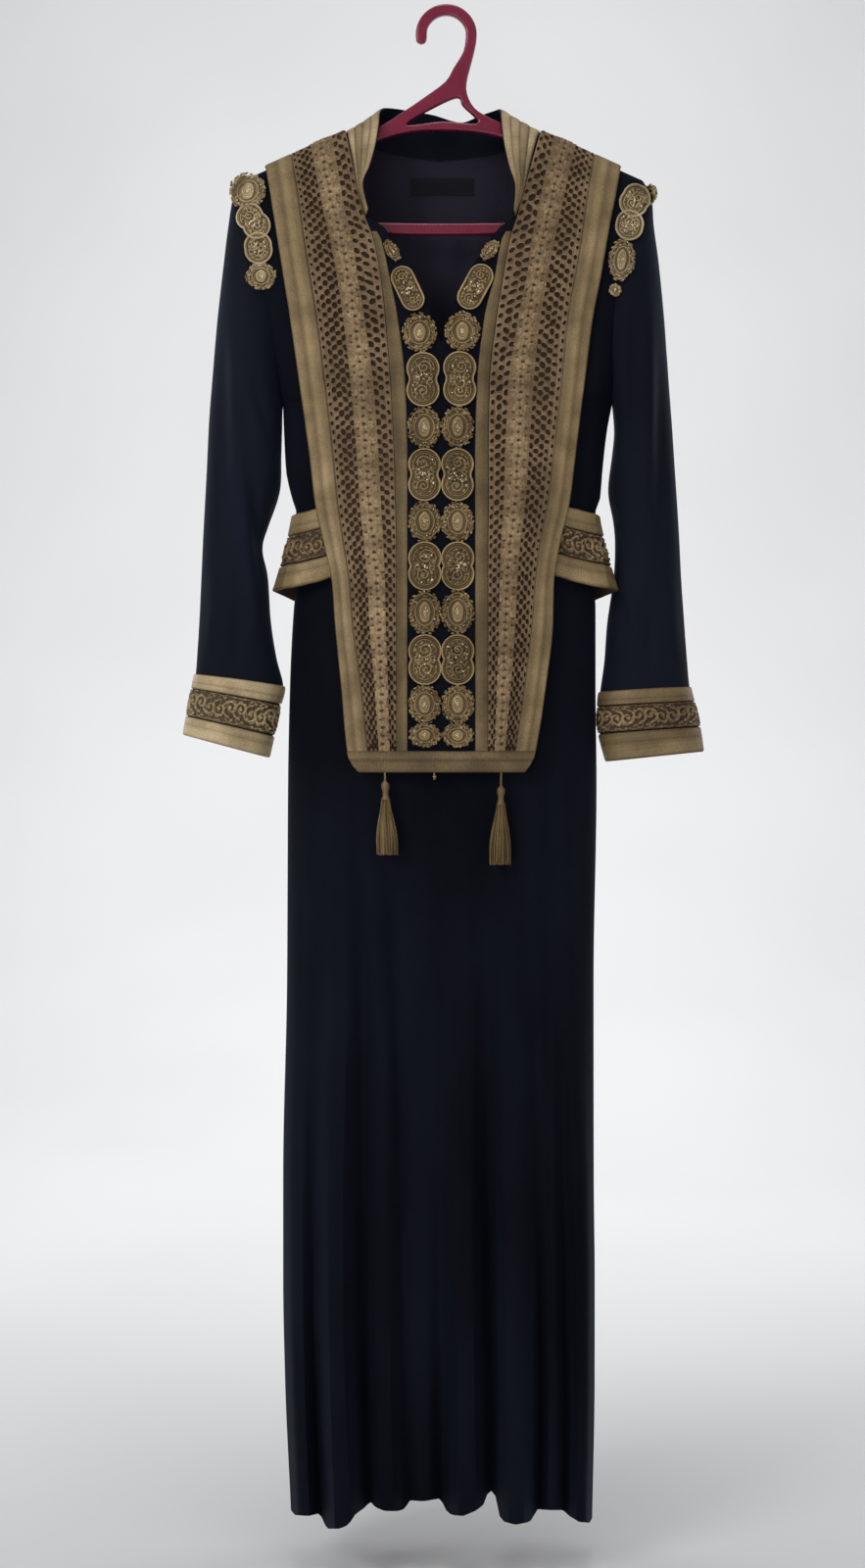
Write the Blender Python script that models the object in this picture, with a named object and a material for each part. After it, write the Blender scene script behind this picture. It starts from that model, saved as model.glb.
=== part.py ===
"""A long velvet kaftan with gold trims, hung on a plastic clothes hanger.

Metres, +Z up, the front faces -Y. The origin is the inner top of the hanger's hook.
"""
import math
from collections import namedtuple

import bpy
from mathutils import Vector
from mathutils.bvhtree import BVHTree
from mathutils.geometry import tessellate_polygon

VELVET = 0.0018
MITER_LIMIT = 2.0
SHARP_ANGLE = math.radians(40)
SEAM = 0.0003
EASE = 0.0016
SHOULDER_EASE = 0.0006
LEFT, RIGHT = -1, 1
FRONT, BACK = -1, 1

# Sizes of the body. The tables go from the top down, and heights are below the hook.
HEM = -1.508
TIP = -0.170
UNDERARM = -0.396
NECK_POINT = -0.121
FOLDS_BEGIN = -0.60

Side = namedtuple("Side", "z left right")
SIDES = (
    Side(UNDERARM, -0.1655, 0.1705),
    Side(-0.424, -0.1645, 0.1650),
    Side(-0.464, -0.1625, 0.1605),
    Side(-0.494, -0.1560, 0.1580),
    Side(-0.510, -0.1515, 0.1525),
    Side(-0.580, -0.1515, 0.1520),
    Side(-0.604, -0.1545, 0.1535),
    Side(-0.684, -0.1585, 0.1535),
    Side(-0.784, -0.1605, 0.1545),
    Side(-0.984, -0.1615, 0.1515),
    Side(-1.184, -0.1655, 0.1515),
    Side(-1.284, -0.1655, 0.1525),
    Side(-1.384, -0.1635, 0.1525),
    Side(HEM, -0.1575, 0.1500),
)
NECKLINE_FRONT = (
    Side(NECK_POINT, -0.1000, 0.0955),
    Side(-0.1245, -0.0995, 0.0945),
    Side(-0.139, -0.0965, 0.0900),
    Side(-0.210, -0.0795, 0.0700),
    Side(-0.222, -0.0620, 0.0550),
    Side(-0.245, -0.0490, 0.0385),
    Side(-0.268, -0.0350, 0.0230),
    Side(-0.290, -0.0240, 0.0130),
    Side(-0.319, -0.0095, 0.0010),
    Side(-0.3395, -0.0040, -0.0040),
)
NECKLINE_BACK = (
    Side(NECK_POINT, -0.1000, 0.0955),
    Side(-0.1265, -0.0780, 0.0760),
    Side(-0.134, -0.0450, 0.0430),
    Side(-0.139, -0.0025, -0.0025),
)
Depth = namedtuple("Depth", "z front back round")
DEPTHS = (
    Depth(NECK_POINT, 0.012, 0.020, 0.026),
    Depth(-0.139, 0.016, 0.034, 0.030),
    Depth(-0.170, 0.020, 0.036, 0.032),
    Depth(-0.210, 0.024, 0.037, 0.035),
    Depth(-0.250, 0.028, 0.037, 0.040),
    Depth(-0.330, 0.034, 0.037, 0.060),
    Depth(-0.400, 0.037, 0.037, 0.090),
    Depth(-0.500, 0.036, 0.037, 0.100),
    Depth(-0.600, 0.038, 0.038, 0.100),
    Depth(-0.800, 0.040, 0.042, 0.090),
    Depth(-1.100, 0.036, 0.040, 0.075),
    Depth(HEM, 0.026, 0.030, 0.060),
)

# Folds of the skirt, left to right. An edge is the valley at a fold's right side, as a part of the width.
# Drop is how far the fold's middle hangs below its valleys, and valley how far its right edge is below HEM.
Fold = namedtuple("Fold", "edge_top edge_hem out begin drop valley")
FOLDS_FRONT = (
    Fold(0.100, 0.105, 0.024, -0.80, -0.0070, 0.0135),
    Fold(0.250, 0.258, 0.050, -0.76, 0.0030, 0.0015),
    Fold(0.350, 0.387, 0.028, -0.84, 0.0005, 0.0010),
    Fold(0.507, 0.502, 0.013, -1.10, -0.0034, -0.0030),
    Fold(0.640, 0.663, 0.040, -0.92, 0.0078, -0.0100),
    Fold(0.780, 0.815, 0.048, -0.80, 0.0098, 0.0055),
    Fold(0.880, 0.905, 0.020, -0.88, -0.0048, 0.0118),
    Fold(1.000, 1.000, 0.034, -0.90, -0.0050, 0.0225),
)
FOLDS_BACK = (
    Fold(0.140, 0.120, 0.030, -0.85, -0.0070, 0.0060),
    Fold(0.290, 0.270, 0.036, -0.78, 0.0030, 0.0010),
    Fold(0.430, 0.400, 0.022, -1.00, 0.0000, 0.0000),
    Fold(0.560, 0.560, 0.038, -0.74, 0.0040, -0.0030),
    Fold(0.700, 0.720, 0.028, -0.90, 0.0000, 0.0000),
    Fold(0.850, 0.860, 0.034, -0.82, 0.0030, 0.0070),
    Fold(1.000, 1.000, 0.026, -0.88, -0.0050, 0.0225),
)
# How far the hem hangs below HEM at the left side seam, and where the valleys begin to sag.
LEFT_SAG = 0.0165
SAG_BEGINS = -1.10
# A fold rises over this part of its width, and grows down the skirt with this power. Its drop rises faster.
RISE = 0.38
DROP_RISE = 0.26
GROWTH_POWER = 1.3
Panel = namedtuple("Panel", "side folds neckline depth centre_column coarse fine centre_heights")
PANEL_FRONT = Panel(FRONT, FOLDS_FRONT, NECKLINE_FRONT, "front", 4.0, (0, 0.3, 0.7),
                    (0, 0.13, 0.3, 0.5, 0.7, 0.87), (-0.121, -0.1245, -0.139, -0.210, -0.245, -0.290, -0.3395))
PANEL_BACK = Panel(BACK, FOLDS_BACK, NECKLINE_BACK, "back", 3.5, (0, 0.5),
                   (0, 0.25, 0.5, 0.75), (-0.121, -0.1265, -0.134, -0.139, -0.190, -0.250, -0.320, -0.372))

# Heights of the rows below the underarm, and of the finer rows near the hem.
BODY_ROWS = (-0.430, -0.470, -0.510, -0.560, -0.620, -0.690, -0.770, -0.860)
HEM_ROWS = (-0.970, -1.090, -1.210, -1.320, -1.420, HEM)
RING_ANGLES = (0, 12, 30, 55, 76, 98, 120, 146, 166, 180)

# How far the cloth of body and sleeve parts at the underarm.
UNDERARM_PARTING = 0.4

# Rings of each sleeve, from the armhole down. Outer and inner are the ring's ends seen from the front.
Ring = namedtuple("Ring", "outer_x outer_z inner_x inner_z half_depth bow middle")
SLEEVE_LEFT = (
    Ring(-0.2075, TIP, -0.1655, UNDERARM, 0.028, 0.002, 0.000),
    Ring(-0.2160, -0.184, -0.1662, -0.407, 0.031, 0.001, 0.000),
    Ring(-0.2215, -0.216, -0.1665, -0.419, 0.034, 0.000, 0.001),
    Ring(-0.2265, -0.256, -0.1669, -0.431, 0.036, 0.000, 0.002),
    Ring(-0.2340, -0.322, -0.1676, -0.450, 0.037, 0.000, 0.004),
    Ring(-0.2410, -0.404, -0.1690, -0.484, 0.034, 0.000, 0.005),
    Ring(-0.2440, -0.464, -0.1795, -0.521, 0.031, 0.000, 0.006),
    Ring(-0.2475, -0.529, -0.1845, -0.544, 0.029, 0.000, 0.006),
    Ring(-0.2495, -0.574, -0.1810, -0.572, 0.028, 0.000, 0.006),
    Ring(-0.2515, -0.619, -0.1785, -0.616, 0.028, 0.000, 0.005),
    Ring(-0.2535, -0.652, -0.1725, -0.655, 0.028, 0.000, 0.004),
    Ring(-0.2550, -0.672, -0.1655, -0.684, 0.029, 0.000, 0.003),
    Ring(-0.2583, -0.690, -0.1702, -0.706, 0.029, 0.000, 0.003),
    Ring(-0.2628, -0.714, -0.1760, -0.734, 0.029, 0.000, 0.002),
    Ring(-0.2662, -0.734, -0.1812, -0.757, 0.028, 0.000, 0.002),
)
SLEEVE_RIGHT = (
    Ring(0.2025, TIP, 0.1705, UNDERARM, 0.028, -0.013, 0.000),
    Ring(0.2105, -0.186, 0.1715, -0.407, 0.031, -0.010, 0.000),
    Ring(0.2130, -0.216, 0.1725, -0.419, 0.034, -0.006, 0.001),
    Ring(0.2185, -0.256, 0.1725, -0.431, 0.036, -0.003, 0.003),
    Ring(0.2250, -0.322, 0.1705, -0.450, 0.037, 0.000, 0.006),
    Ring(0.2315, -0.404, 0.1670, -0.484, 0.034, 0.000, 0.009),
    Ring(0.2355, -0.464, 0.1715, -0.514, 0.031, 0.000, 0.010),
    Ring(0.2395, -0.524, 0.1735, -0.540, 0.029, 0.000, 0.011),
    Ring(0.2420, -0.574, 0.1725, -0.574, 0.028, 0.000, 0.011),
    Ring(0.2450, -0.619, 0.1660, -0.620, 0.028, 0.000, 0.010),
    Ring(0.2475, -0.656, 0.1630, -0.658, 0.028, 0.000, 0.008),
    Ring(0.2500, -0.685, 0.1585, -0.690, 0.029, 0.000, 0.006),
    Ring(0.2541, -0.703, 0.1570, -0.708, 0.029, 0.000, 0.005),
    Ring(0.2590, -0.725, 0.1580, -0.732, 0.029, 0.000, 0.004),
    Ring(0.2625, -0.751, 0.1655, -0.761, 0.028, 0.000, 0.003),
)
SLEEVES = {LEFT: SLEEVE_LEFT, RIGHT: SLEEVE_RIGHT}
HAND_NAMES = {LEFT: "left", RIGHT: "right"}

# Lines that run down the plastron: its edge, then where the outer braid, the lace and the inner braid end.
Track = namedtuple("Track", "z edge braid lace strip")
TRACKS_LEFT = (
    Track(-0.121, -0.1880, -0.1595, -0.1030, -0.0780),
    Track(-0.160, -0.1820, -0.1535, -0.0975, -0.0780),
    Track(-0.187, -0.1770, -0.1490, -0.0915, -0.0780),
    Track(-0.205, -0.1742, -0.1465, -0.0860, -0.0780),
    Track(-0.212, -0.1730, -0.1455, -0.0830, -0.0780),
    Track(-0.234, -0.1695, -0.1425, -0.0725, -0.0650),
    Track(-0.274, -0.1630, -0.1360, -0.0650, -0.0558),
    Track(-0.314, -0.1565, -0.1295, -0.0605, -0.0480),
    Track(-0.384, -0.1465, -0.1205, -0.0550, -0.0400),
    Track(-0.464, -0.1355, -0.1115, -0.0510, -0.0378),
    Track(-0.504, -0.1305, -0.1075, -0.0500, -0.0378),
    Track(-0.544, -0.1215, -0.1015, -0.0490, -0.0378),
    Track(-0.584, -0.1135, -0.0955, -0.0490, -0.0378),
    Track(-0.624, -0.1105, -0.0925, -0.0490, -0.0378),
    Track(-0.684, -0.1045, -0.0845, -0.0490, -0.0378),
    Track(-0.749, -0.0985, -0.0775, -0.0490, -0.0378),
    Track(-0.761, -0.0955, -0.0755, -0.0490, -0.0378),
    Track(-0.773, -0.0860, -0.0720, -0.0490, -0.0378),
)
TRACKS_RIGHT = (
    Track(-0.121, 0.1835, 0.1555, 0.0985, 0.0700),
    Track(-0.160, 0.1775, 0.1485, 0.0905, 0.0700),
    Track(-0.187, 0.1725, 0.1440, 0.0830, 0.0700),
    Track(-0.205, 0.1690, 0.1415, 0.0770, 0.0700),
    Track(-0.212, 0.1675, 0.1405, 0.0740, 0.0700),
    Track(-0.234, 0.1635, 0.1375, 0.0650, 0.0570),
    Track(-0.274, 0.1565, 0.1305, 0.0580, 0.0492),
    Track(-0.314, 0.1485, 0.1235, 0.0515, 0.0392),
    Track(-0.384, 0.1395, 0.1165, 0.0440, 0.0315),
    Track(-0.464, 0.1295, 0.1075, 0.0430, 0.0295),
    Track(-0.504, 0.1240, 0.1025, 0.0430, 0.0295),
    Track(-0.544, 0.1145, 0.0945, 0.0425, 0.0295),
    Track(-0.584, 0.1085, 0.0895, 0.0425, 0.0295),
    Track(-0.624, 0.1075, 0.0865, 0.0425, 0.0295),
    Track(-0.684, 0.1005, 0.0795, 0.0425, 0.0295),
    Track(-0.749, 0.0905, 0.0700, 0.0425, 0.0295),
    Track(-0.761, 0.0870, 0.0680, 0.0425, 0.0295),
    Track(-0.772, 0.0790, 0.0660, 0.0425, 0.0295),
)
TRACKS = {LEFT: TRACKS_LEFT, RIGHT: TRACKS_RIGHT}
PLASTRON_TOP_STEPS = (0.16, 0.36, 0.68, 0.91)
RIM_DEPTH = 0.0031
RIM_LIFT = 0.0030
PLASTRON_FLAT = -0.2135
PLASTRON_TOP = -0.1535
PLASTRON_NECK_ROWS = (PLASTRON_FLAT, -0.222, -0.245, -0.268, -0.290, -0.319)
PLASTRON_ROWS = (-0.3395, -0.375, -0.410, -0.450, -0.490, -0.530, -0.570, -0.610, -0.655, -0.705, -0.749,
                 -0.761, -0.7725)
PLASTRON_OVER_BELT = 0.0092
OVER_BELT_BEGINS = 0.055
OVER_BELT_BLEND = 0.05
SHOULDER_BLEND = 0.03
NECK_CLEAR = 0.0012
BELT_TOP = -0.497

# Centre, width, height and tilt in degrees of the medallions of each column, from the neckline down.
Medallion = namedtuple("Medallion", "x z width height tilt double")
MEDALLIONS_LEFT = (
    Medallion(-0.0536, -0.2475, 0.0108, 0.0240, 32, False),
    Medallion(-0.0379, -0.2862, 0.0224, 0.0470, 25, True),
    Medallion(-0.0260, -0.3310, 0.0330, 0.0380, 0, False),
    Medallion(-0.0225, -0.3785, 0.0320, 0.0540, 0, True),
    Medallion(-0.0212, -0.4268, 0.0320, 0.0412, 0, False),
    Medallion(-0.0210, -0.4747, 0.0315, 0.0530, 0, True),
    Medallion(-0.0208, -0.5220, 0.0310, 0.0396, 0, False),
    Medallion(-0.0206, -0.5665, 0.0320, 0.0480, 0, True),
    Medallion(-0.0206, -0.6128, 0.0310, 0.0430, 0, False),
    Medallion(-0.0205, -0.6600, 0.0320, 0.0496, 0, True),
    Medallion(-0.0207, -0.7045, 0.0310, 0.0380, 0, False),
    Medallion(-0.0207, -0.7355, 0.0310, 0.0225, 0, False),
)
MEDALLIONS_RIGHT = (
    Medallion(0.0448, -0.2470, 0.0120, 0.0240, -37, False),
    Medallion(0.0300, -0.2845, 0.0240, 0.0485, -28, True),
    Medallion(0.0170, -0.3300, 0.0340, 0.0380, 0, False),
    Medallion(0.0143, -0.3778, 0.0320, 0.0545, 0, True),
    Medallion(0.0123, -0.4262, 0.0310, 0.0412, 0, False),
    Medallion(0.0120, -0.4747, 0.0315, 0.0530, 0, True),
    Medallion(0.0120, -0.5222, 0.0310, 0.0396, 0, False),
    Medallion(0.0122, -0.5665, 0.0320, 0.0480, 0, True),
    Medallion(0.0122, -0.6128, 0.0310, 0.0430, 0, False),
    Medallion(0.0122, -0.6600, 0.0320, 0.0496, 0, True),
    Medallion(0.0122, -0.7045, 0.0310, 0.0380, 0, False),
    Medallion(0.0122, -0.7355, 0.0310, 0.0225, 0, False),
)
# Rings of a medallion, from its rim in: share of its radius, and height over the cloth.
MEDALLION_RINGS = ((1.0, 0.0013), (0.74, 0.0034), (0.50, 0.0018), (0.30, 0.0038))
MEDALLION_TOP = 0.0048
# The ring that lets the base follow the cloth.
MEDALLION_BASE = 0.55
MEDALLION_SIDES = 10
MEDALLION_GAP = 0.00075

# The chain of medallions over each armhole seam: centre line and half width.
EPAULETTE_GAPS = {LEFT: 0.0024, RIGHT: 0.0010}
EPAULETTE_SHARES = (-1, -0.5, 0, 0.5, 1)
STEEPEST = 0.25
STEEPEST_EXTRA = 2.5
Chain = namedtuple("Chain", "x z half")
EPAULETTE_LEFT = (
    Chain(-0.2035, -0.1800, 0.0100), Chain(-0.2030, -0.1860, 0.0150), Chain(-0.2010, -0.1950, 0.0155),
    Chain(-0.1985, -0.2015, 0.0105), Chain(-0.1957, -0.2090, 0.0156), Chain(-0.1932, -0.2175, 0.0158),
    Chain(-0.1910, -0.2270, 0.0122), Chain(-0.1893, -0.2355, 0.0130), Chain(-0.1880, -0.2465, 0.0136),
    Chain(-0.1869, -0.2565, 0.0090), Chain(-0.1862, -0.2640, 0.0138), Chain(-0.1857, -0.2750, 0.0142),
    Chain(-0.1850, -0.2850, 0.0080),
)
EPAULETTE_RIGHT = (
    Chain(0.2000, -0.1800, 0.0090), Chain(0.1968, -0.1868, 0.0140), Chain(0.1930, -0.1960, 0.0150),
    Chain(0.1900, -0.2040, 0.0120), Chain(0.1878, -0.2120, 0.0148), Chain(0.1857, -0.2210, 0.0140),
    Chain(0.1832, -0.2320, 0.0080), Chain(0.1802, -0.2430, 0.0122), Chain(0.1780, -0.2560, 0.0125),
    Chain(0.1758, -0.2690, 0.0100), Chain(0.1735, -0.2780, 0.0045), Chain(0.1718, -0.2850, 0.0055),
    Chain(0.1710, -0.2910, 0.0045),
)

# Upper edge of the stand collar, from its left front end round the back to its right front end.
# The base is read off the necklines: side, and how far along the neckline from the neck point.
Stand = namedtuple("Stand", "side hand along x y z")
COLLAR = (
    Stand(FRONT, LEFT, 1.00, -0.0775, -0.036, -0.2070),
    Stand(FRONT, LEFT, 0.72, -0.0825, -0.045, -0.1830),
    Stand(FRONT, LEFT, 0.45, -0.0758, -0.041, -0.1640),
    Stand(FRONT, LEFT, 0.20, -0.0705, -0.030, -0.1400),
    Stand(FRONT, LEFT, 0.04, -0.0675, -0.015, -0.1155),
    Stand(BACK, LEFT, 0.00, -0.0660, 0.004, -0.0960),
    Stand(BACK, LEFT, 0.24, -0.0560, 0.022, -0.0880),
    Stand(BACK, LEFT, 0.56, -0.0330, 0.033, -0.0885),
    Stand(BACK, LEFT, 0.80, -0.0120, 0.037, -0.0910),
    Stand(BACK, RIGHT, 1.00, 0.0080, 0.038, -0.0970),
    Stand(BACK, RIGHT, 0.80, 0.0200, 0.037, -0.0985),
    Stand(BACK, RIGHT, 0.56, 0.0360, 0.033, -0.0930),
    Stand(BACK, RIGHT, 0.24, 0.0510, 0.022, -0.0905),
    Stand(BACK, RIGHT, 0.00, 0.0565, 0.004, -0.0955),
    Stand(FRONT, RIGHT, 0.04, 0.0568, -0.013, -0.1095),
    Stand(FRONT, RIGHT, 0.20, 0.0590, -0.029, -0.1370),
    Stand(FRONT, RIGHT, 0.45, 0.0637, -0.041, -0.1640),
    Stand(FRONT, RIGHT, 0.72, 0.0695, -0.045, -0.1850),
    Stand(FRONT, RIGHT, 1.00, 0.0685, -0.036, -0.2080),
)

# How far the collar starts off the neckline, and how near the neck point its base leans like the shoulder.
COLLAR_GAPS = {FRONT: 0.00075, BACK: 0.00105}
COLLAR_TURN = 0.15

# Levels of the collar over its base seam, as shares of its height. Its braid covers all but the first.
COLLAR_LINES = (0.0, 0.13, 0.42, 0.71, 1.0)

# The label inside the back: left, right, top and bottom.
LABEL = (-0.0350, 0.0295, -0.1570, -0.1745)
LABEL_THICKNESS = 0.0004

# The belt: how far it stands off the body below, along the width of its front and its back.
Station = namedtuple("Station", "at flare drop")
BELT_FRONT = (
    Station(0.00, 0.0195, 0.013), Station(0.035, 0.0140, 0.012), Station(0.08, 0.0060, 0.009),
    Station(0.14, 0.0022, 0.005), Station(0.25, 0.0018, 0.002), Station(0.38, 0.0018, 0.000),
    Station(0.50, 0.0018, 0.000), Station(0.62, 0.0018, 0.000), Station(0.75, 0.0018, 0.002),
    Station(0.86, 0.0022, 0.005), Station(0.92, 0.0060, 0.009), Station(0.965, 0.0140, 0.012),
    Station(1.00, 0.0195, 0.013),
)
BELT_BACK = (
    Station(0.00, 0.0195, 0.013), Station(0.05, 0.0160, 0.020), Station(0.12, 0.0130, 0.028),
    Station(0.25, 0.0130, 0.032), Station(0.42, 0.0140, 0.034), Station(0.58, 0.0140, 0.034),
    Station(0.75, 0.0130, 0.032), Station(0.88, 0.0110, 0.028), Station(0.95, 0.0120, 0.020),
    Station(1.00, 0.0195, 0.013),
)
BELT_HEIGHT = 0.071
BELT_FORWARD = 0.005
FORWARD_FROM = 0.75
FLARE_POWER = 1.2
# Where the belt's trims begin and end, as shares of its height. Each trim stops this far short of its lines.
BELT_SHARES = (0.0, 0.28, 0.66, 1.0)
TRIM_ENDS = (0.02, 0.98)
BELT_TRIM_GAP = 0.0006
CUFF_TRIM_GAP = 0.0004
LACE_BUMPS = (1.0, 0.5)

BRAID_PROFILE = ((0.0, 0.0010), (0.14, 0.0020), (0.32, 0.0013), (0.5, 0.0021), (0.68, 0.0013),
                 (0.86, 0.0020), (1.0, 0.0010))
NARROW_PROFILE = ((0.0, 0.0009), (0.25, 0.0017), (0.5, 0.0011), (0.75, 0.0017), (1.0, 0.0009))
COLLAR_PROFILE = ((0.0, 0.0014), (1 / 3, 0.0009), (2 / 3, 0.0017), (1.0, 0.0012))
LACE_PROFILE = ((0.0, 0.0009), (0.3, 0.0009), (0.5, 0.0020), (0.7, 0.0009), (1.0, 0.0009))
FLOWER_PROFILE = ((0.0, 0.0008), (0.5, 0.0024), (1.0, 0.0008))
CHAIN_PROFILE = ((0.0, 0.0012), (0.25, 0.0030), (0.5, 0.0042), (0.75, 0.0030), (1.0, 0.0012))

HANGER_HALF = 0.0042
HANGER_CHAMFER = 0.0012
HOOK_CENTRE = (0.0010, -0.0200)
HOOK_OUTER = 0.0312
HOOK_INNER = 0.0200


def lerp(a, b, t):
    return a + (b - a) * t


def smooth_step(t):
    t = min(max(t, 0.0), 1.0)
    return t * t * (3 - 2 * t)


def quarter(t):
    """Rise of a quarter circle from 0 to 1."""
    t = min(max(t, 0.0), 1.0)
    return math.sqrt(1 - (1 - t) ** 2)


def read(table, z, column):
    """A named column at height z, on a smooth curve through the table's rows."""
    heights = [row.z for row in table]
    values = [getattr(row, column) for row in table]
    if z >= heights[0]:
        return values[0]
    if z <= heights[-1]:
        return values[-1]
    last = len(heights) - 2
    i = next(k for k in range(last + 1) if z >= heights[k + 1])

    def secant(k):
        return (values[k + 1] - values[k]) / (heights[k + 1] - heights[k])

    def slope(k):
        if k == 0 or k == last + 1:
            return secant(min(k, last))
        before, after = secant(k - 1), secant(k)
        if before * after <= 0:
            return 0.0
        return 2 * before * after / (before + after)

    step = heights[i + 1] - heights[i]
    t = (z - heights[i]) / step
    rise = (1 - t) ** 2 * (1 + 2 * t) * values[i] + t * t * (3 - 2 * t) * values[i + 1]
    return rise + step * (t * (1 - t) ** 2 * slope(i) - t * t * (1 - t) * slope(i + 1))


class Sheet:
    """The outer face of a cloth piece: points with keys, and the triangles between them."""

    def __init__(self):
        self.points = []
        self.index = {}
        self.faces = []
        self.inward = {}

    def add(self, key, point, inward=None):
        self.index[key] = len(self.points)
        self.points.append(Vector(point))
        if inward is not None:
            self.inward[self.index[key]] = Vector(inward).normalized()

    def stitch(self, upper, lower):
        """Fill the strip between two rows, each a list of (place, key) in order of place."""
        i = j = 0
        while i < len(upper) - 1 or j < len(lower) - 1:
            next_upper = upper[i + 1][0] if i < len(upper) - 1 else math.inf
            next_lower = lower[j + 1][0] if j < len(lower) - 1 else math.inf
            here, below = self.index[upper[i][1]], self.index[lower[j][1]]
            if next_lower <= next_upper + 1e-9:
                j += 1
                self.faces.append((here, below, self.index[lower[j][1]]))
            else:
                i += 1
                self.faces.append((here, below, self.index[upper[i][1]]))

    def turn_over(self):
        self.faces = [face[::-1] for face in self.faces]

    def corners(self):
        """Each face's corners: the point's index, the face's normal and its angle there."""
        for face in self.faces:
            spots = [self.points[k] for k in face]
            normal = (spots[1] - spots[0]).cross(spots[2] - spots[0]).normalized()
            for k in range(3):
                here, after, before = spots[k], spots[(k + 1) % 3], spots[k - 1]
                yield face[k], normal, (after - here).angle(before - here, 0.0)

    def normals(self):
        sums = [Vector() for _ in self.points]
        for k, normal, angle in self.corners():
            sums[k] += normal * angle
        return [n.normalized() for n in sums]

    def miters(self):
        """How much longer than the cloth's thickness its inward step is, so that folds stay thick."""
        normals = self.normals_once()
        sums = [0.0] * len(self.points)
        weights = [0.0] * len(self.points)
        for k, normal, angle in self.corners():
            sums[k] += normals[k].dot(normal) * angle
            weights[k] += angle
        return [min(weight / max(total, 1e-9), MITER_LIMIT) for total, weight in zip(sums, weights)]

    def at(self, key):
        """A point of the sheet with its outward normal."""
        normals = self.normals_once()
        k = self.index[key]
        return self.points[k], normals[k]

    def normals_once(self):
        if not hasattr(self, "kept_normals"):
            self.kept_normals = self.normals()
        return self.kept_normals

    def wall(self, name, thickness, material):
        """One closed solid: the sheet, the same sheet moved inward, and a rim round every edge."""
        normals = self.normals_once()
        count = len(self.points)
        miters = self.miters()
        inner = [p + self.inward.get(k, -normals[k] * miters[k]) * thickness for k, p in enumerate(self.points)]
        faces = list(self.faces) + [tuple(k + count for k in face[::-1]) for face in self.faces]
        used = {}
        for face in self.faces:
            for k in range(3):
                used[(face[k], face[(k + 1) % 3])] = True
        for a, b in used:
            if (b, a) not in used:
                faces.append((b, a, a + count, b + count))
        return make_object(name, self.points + inner, faces, material)


def make_material(name, colour, roughness, metallic):
    material = bpy.data.materials.new(name)
    material.use_nodes = True
    shader = material.node_tree.nodes["Principled BSDF"]
    shader.inputs["Base Color"].default_value = (*colour, 1)
    shader.inputs["Roughness"].default_value = roughness
    shader.inputs["Metallic"].default_value = metallic
    return material


def make_object(name, points, faces, material):
    """A mesh object whose faces are turned to point outward."""
    volume = 0.0
    for face in faces:
        for k in range(1, len(face) - 1):
            a, b, c = points[face[0]], points[face[k]], points[face[k + 1]]
            volume += a.dot(b.cross(c))
    if volume < 0:
        faces = [tuple(face)[::-1] for face in faces]
    mesh = bpy.data.meshes.new(name)
    mesh.from_pydata([tuple(p) for p in points], [], faces)
    mesh.shade_smooth()
    mesh.set_sharp_from_angle(angle=SHARP_ANGLE)
    mesh.materials.append(material)
    thing = bpy.data.objects.new(name, mesh)
    bpy.context.collection.objects.link(thing)
    return thing


def ring_point(ring, angle):
    """A point of a sleeve ring. Angle 0 is its outer end and pi its inner end, past the front side."""
    along, across = math.cos(angle), math.sin(angle)
    x = (ring.outer_x + ring.inner_x) / 2 + along * (ring.outer_x - ring.inner_x) / 2
    z = (ring.outer_z + ring.inner_z) / 2 + along * (ring.outer_z - ring.inner_z) / 2
    return Vector((x + ring.bow * across ** 2, ring.middle - across * ring.half_depth, z))


def armhole_inward(hand, angle, away):
    """Direction through the cloth at the armhole. Away is -1 for the body's cloth and 1 for the sleeve's."""
    ring = SLEEVES[hand][0]
    long_way = Vector((ring.outer_x - ring.inner_x, 0, ring.outer_z - ring.inner_z))
    half = long_way.length / 2
    along = long_way.normalized() * (math.cos(angle) / half)
    across = Vector((0, -1, 0)) * (math.sin(angle) / ring.half_depth)
    to_middle = -(along + across).normalized()
    parting = Vector((hand * away, 0, 0)) * UNDERARM_PARTING * (1 - math.cos(angle))
    return (to_middle + parting).normalized()


def shoulder_ends(hand):
    """Distance from the middle line and height of the shoulder's tip and of the neck point."""
    tip = abs(SLEEVES[hand][0].outer_x)
    neck = abs(getattr(NECKLINE_FRONT[0], HAND_NAMES[hand]))
    return tip, neck


def shoulder_slope(hand):
    tip, neck = shoulder_ends(hand)
    return (NECK_POINT - TIP) / (tip - neck)


def below_shoulder(hand, x, z):
    """Distance from a shoulder line, square to it."""
    _, neck = shoulder_ends(hand)
    slope = shoulder_slope(hand)
    line = NECK_POINT + (neck - hand * x) * slope
    return (line - z) * math.cos(math.atan(slope))


def shoulder_inward(hand):
    slope = shoulder_slope(hand)
    return Vector((-hand * slope, 0, -1)).normalized()


def fold_place(folds, column, z):
    """Where a column lies across the panel, 0 to 1. Column 2.3 is 0.3 of the way over the third fold."""
    sway = smooth_step((FOLDS_BEGIN - z) / (FOLDS_BEGIN - HEM))
    edges = [0.0] + [lerp(fold.edge_top, fold.edge_hem, sway) for fold in folds]
    k = min(int(column), len(folds) - 1)
    return lerp(edges[k], edges[k + 1], column - k)


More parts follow.
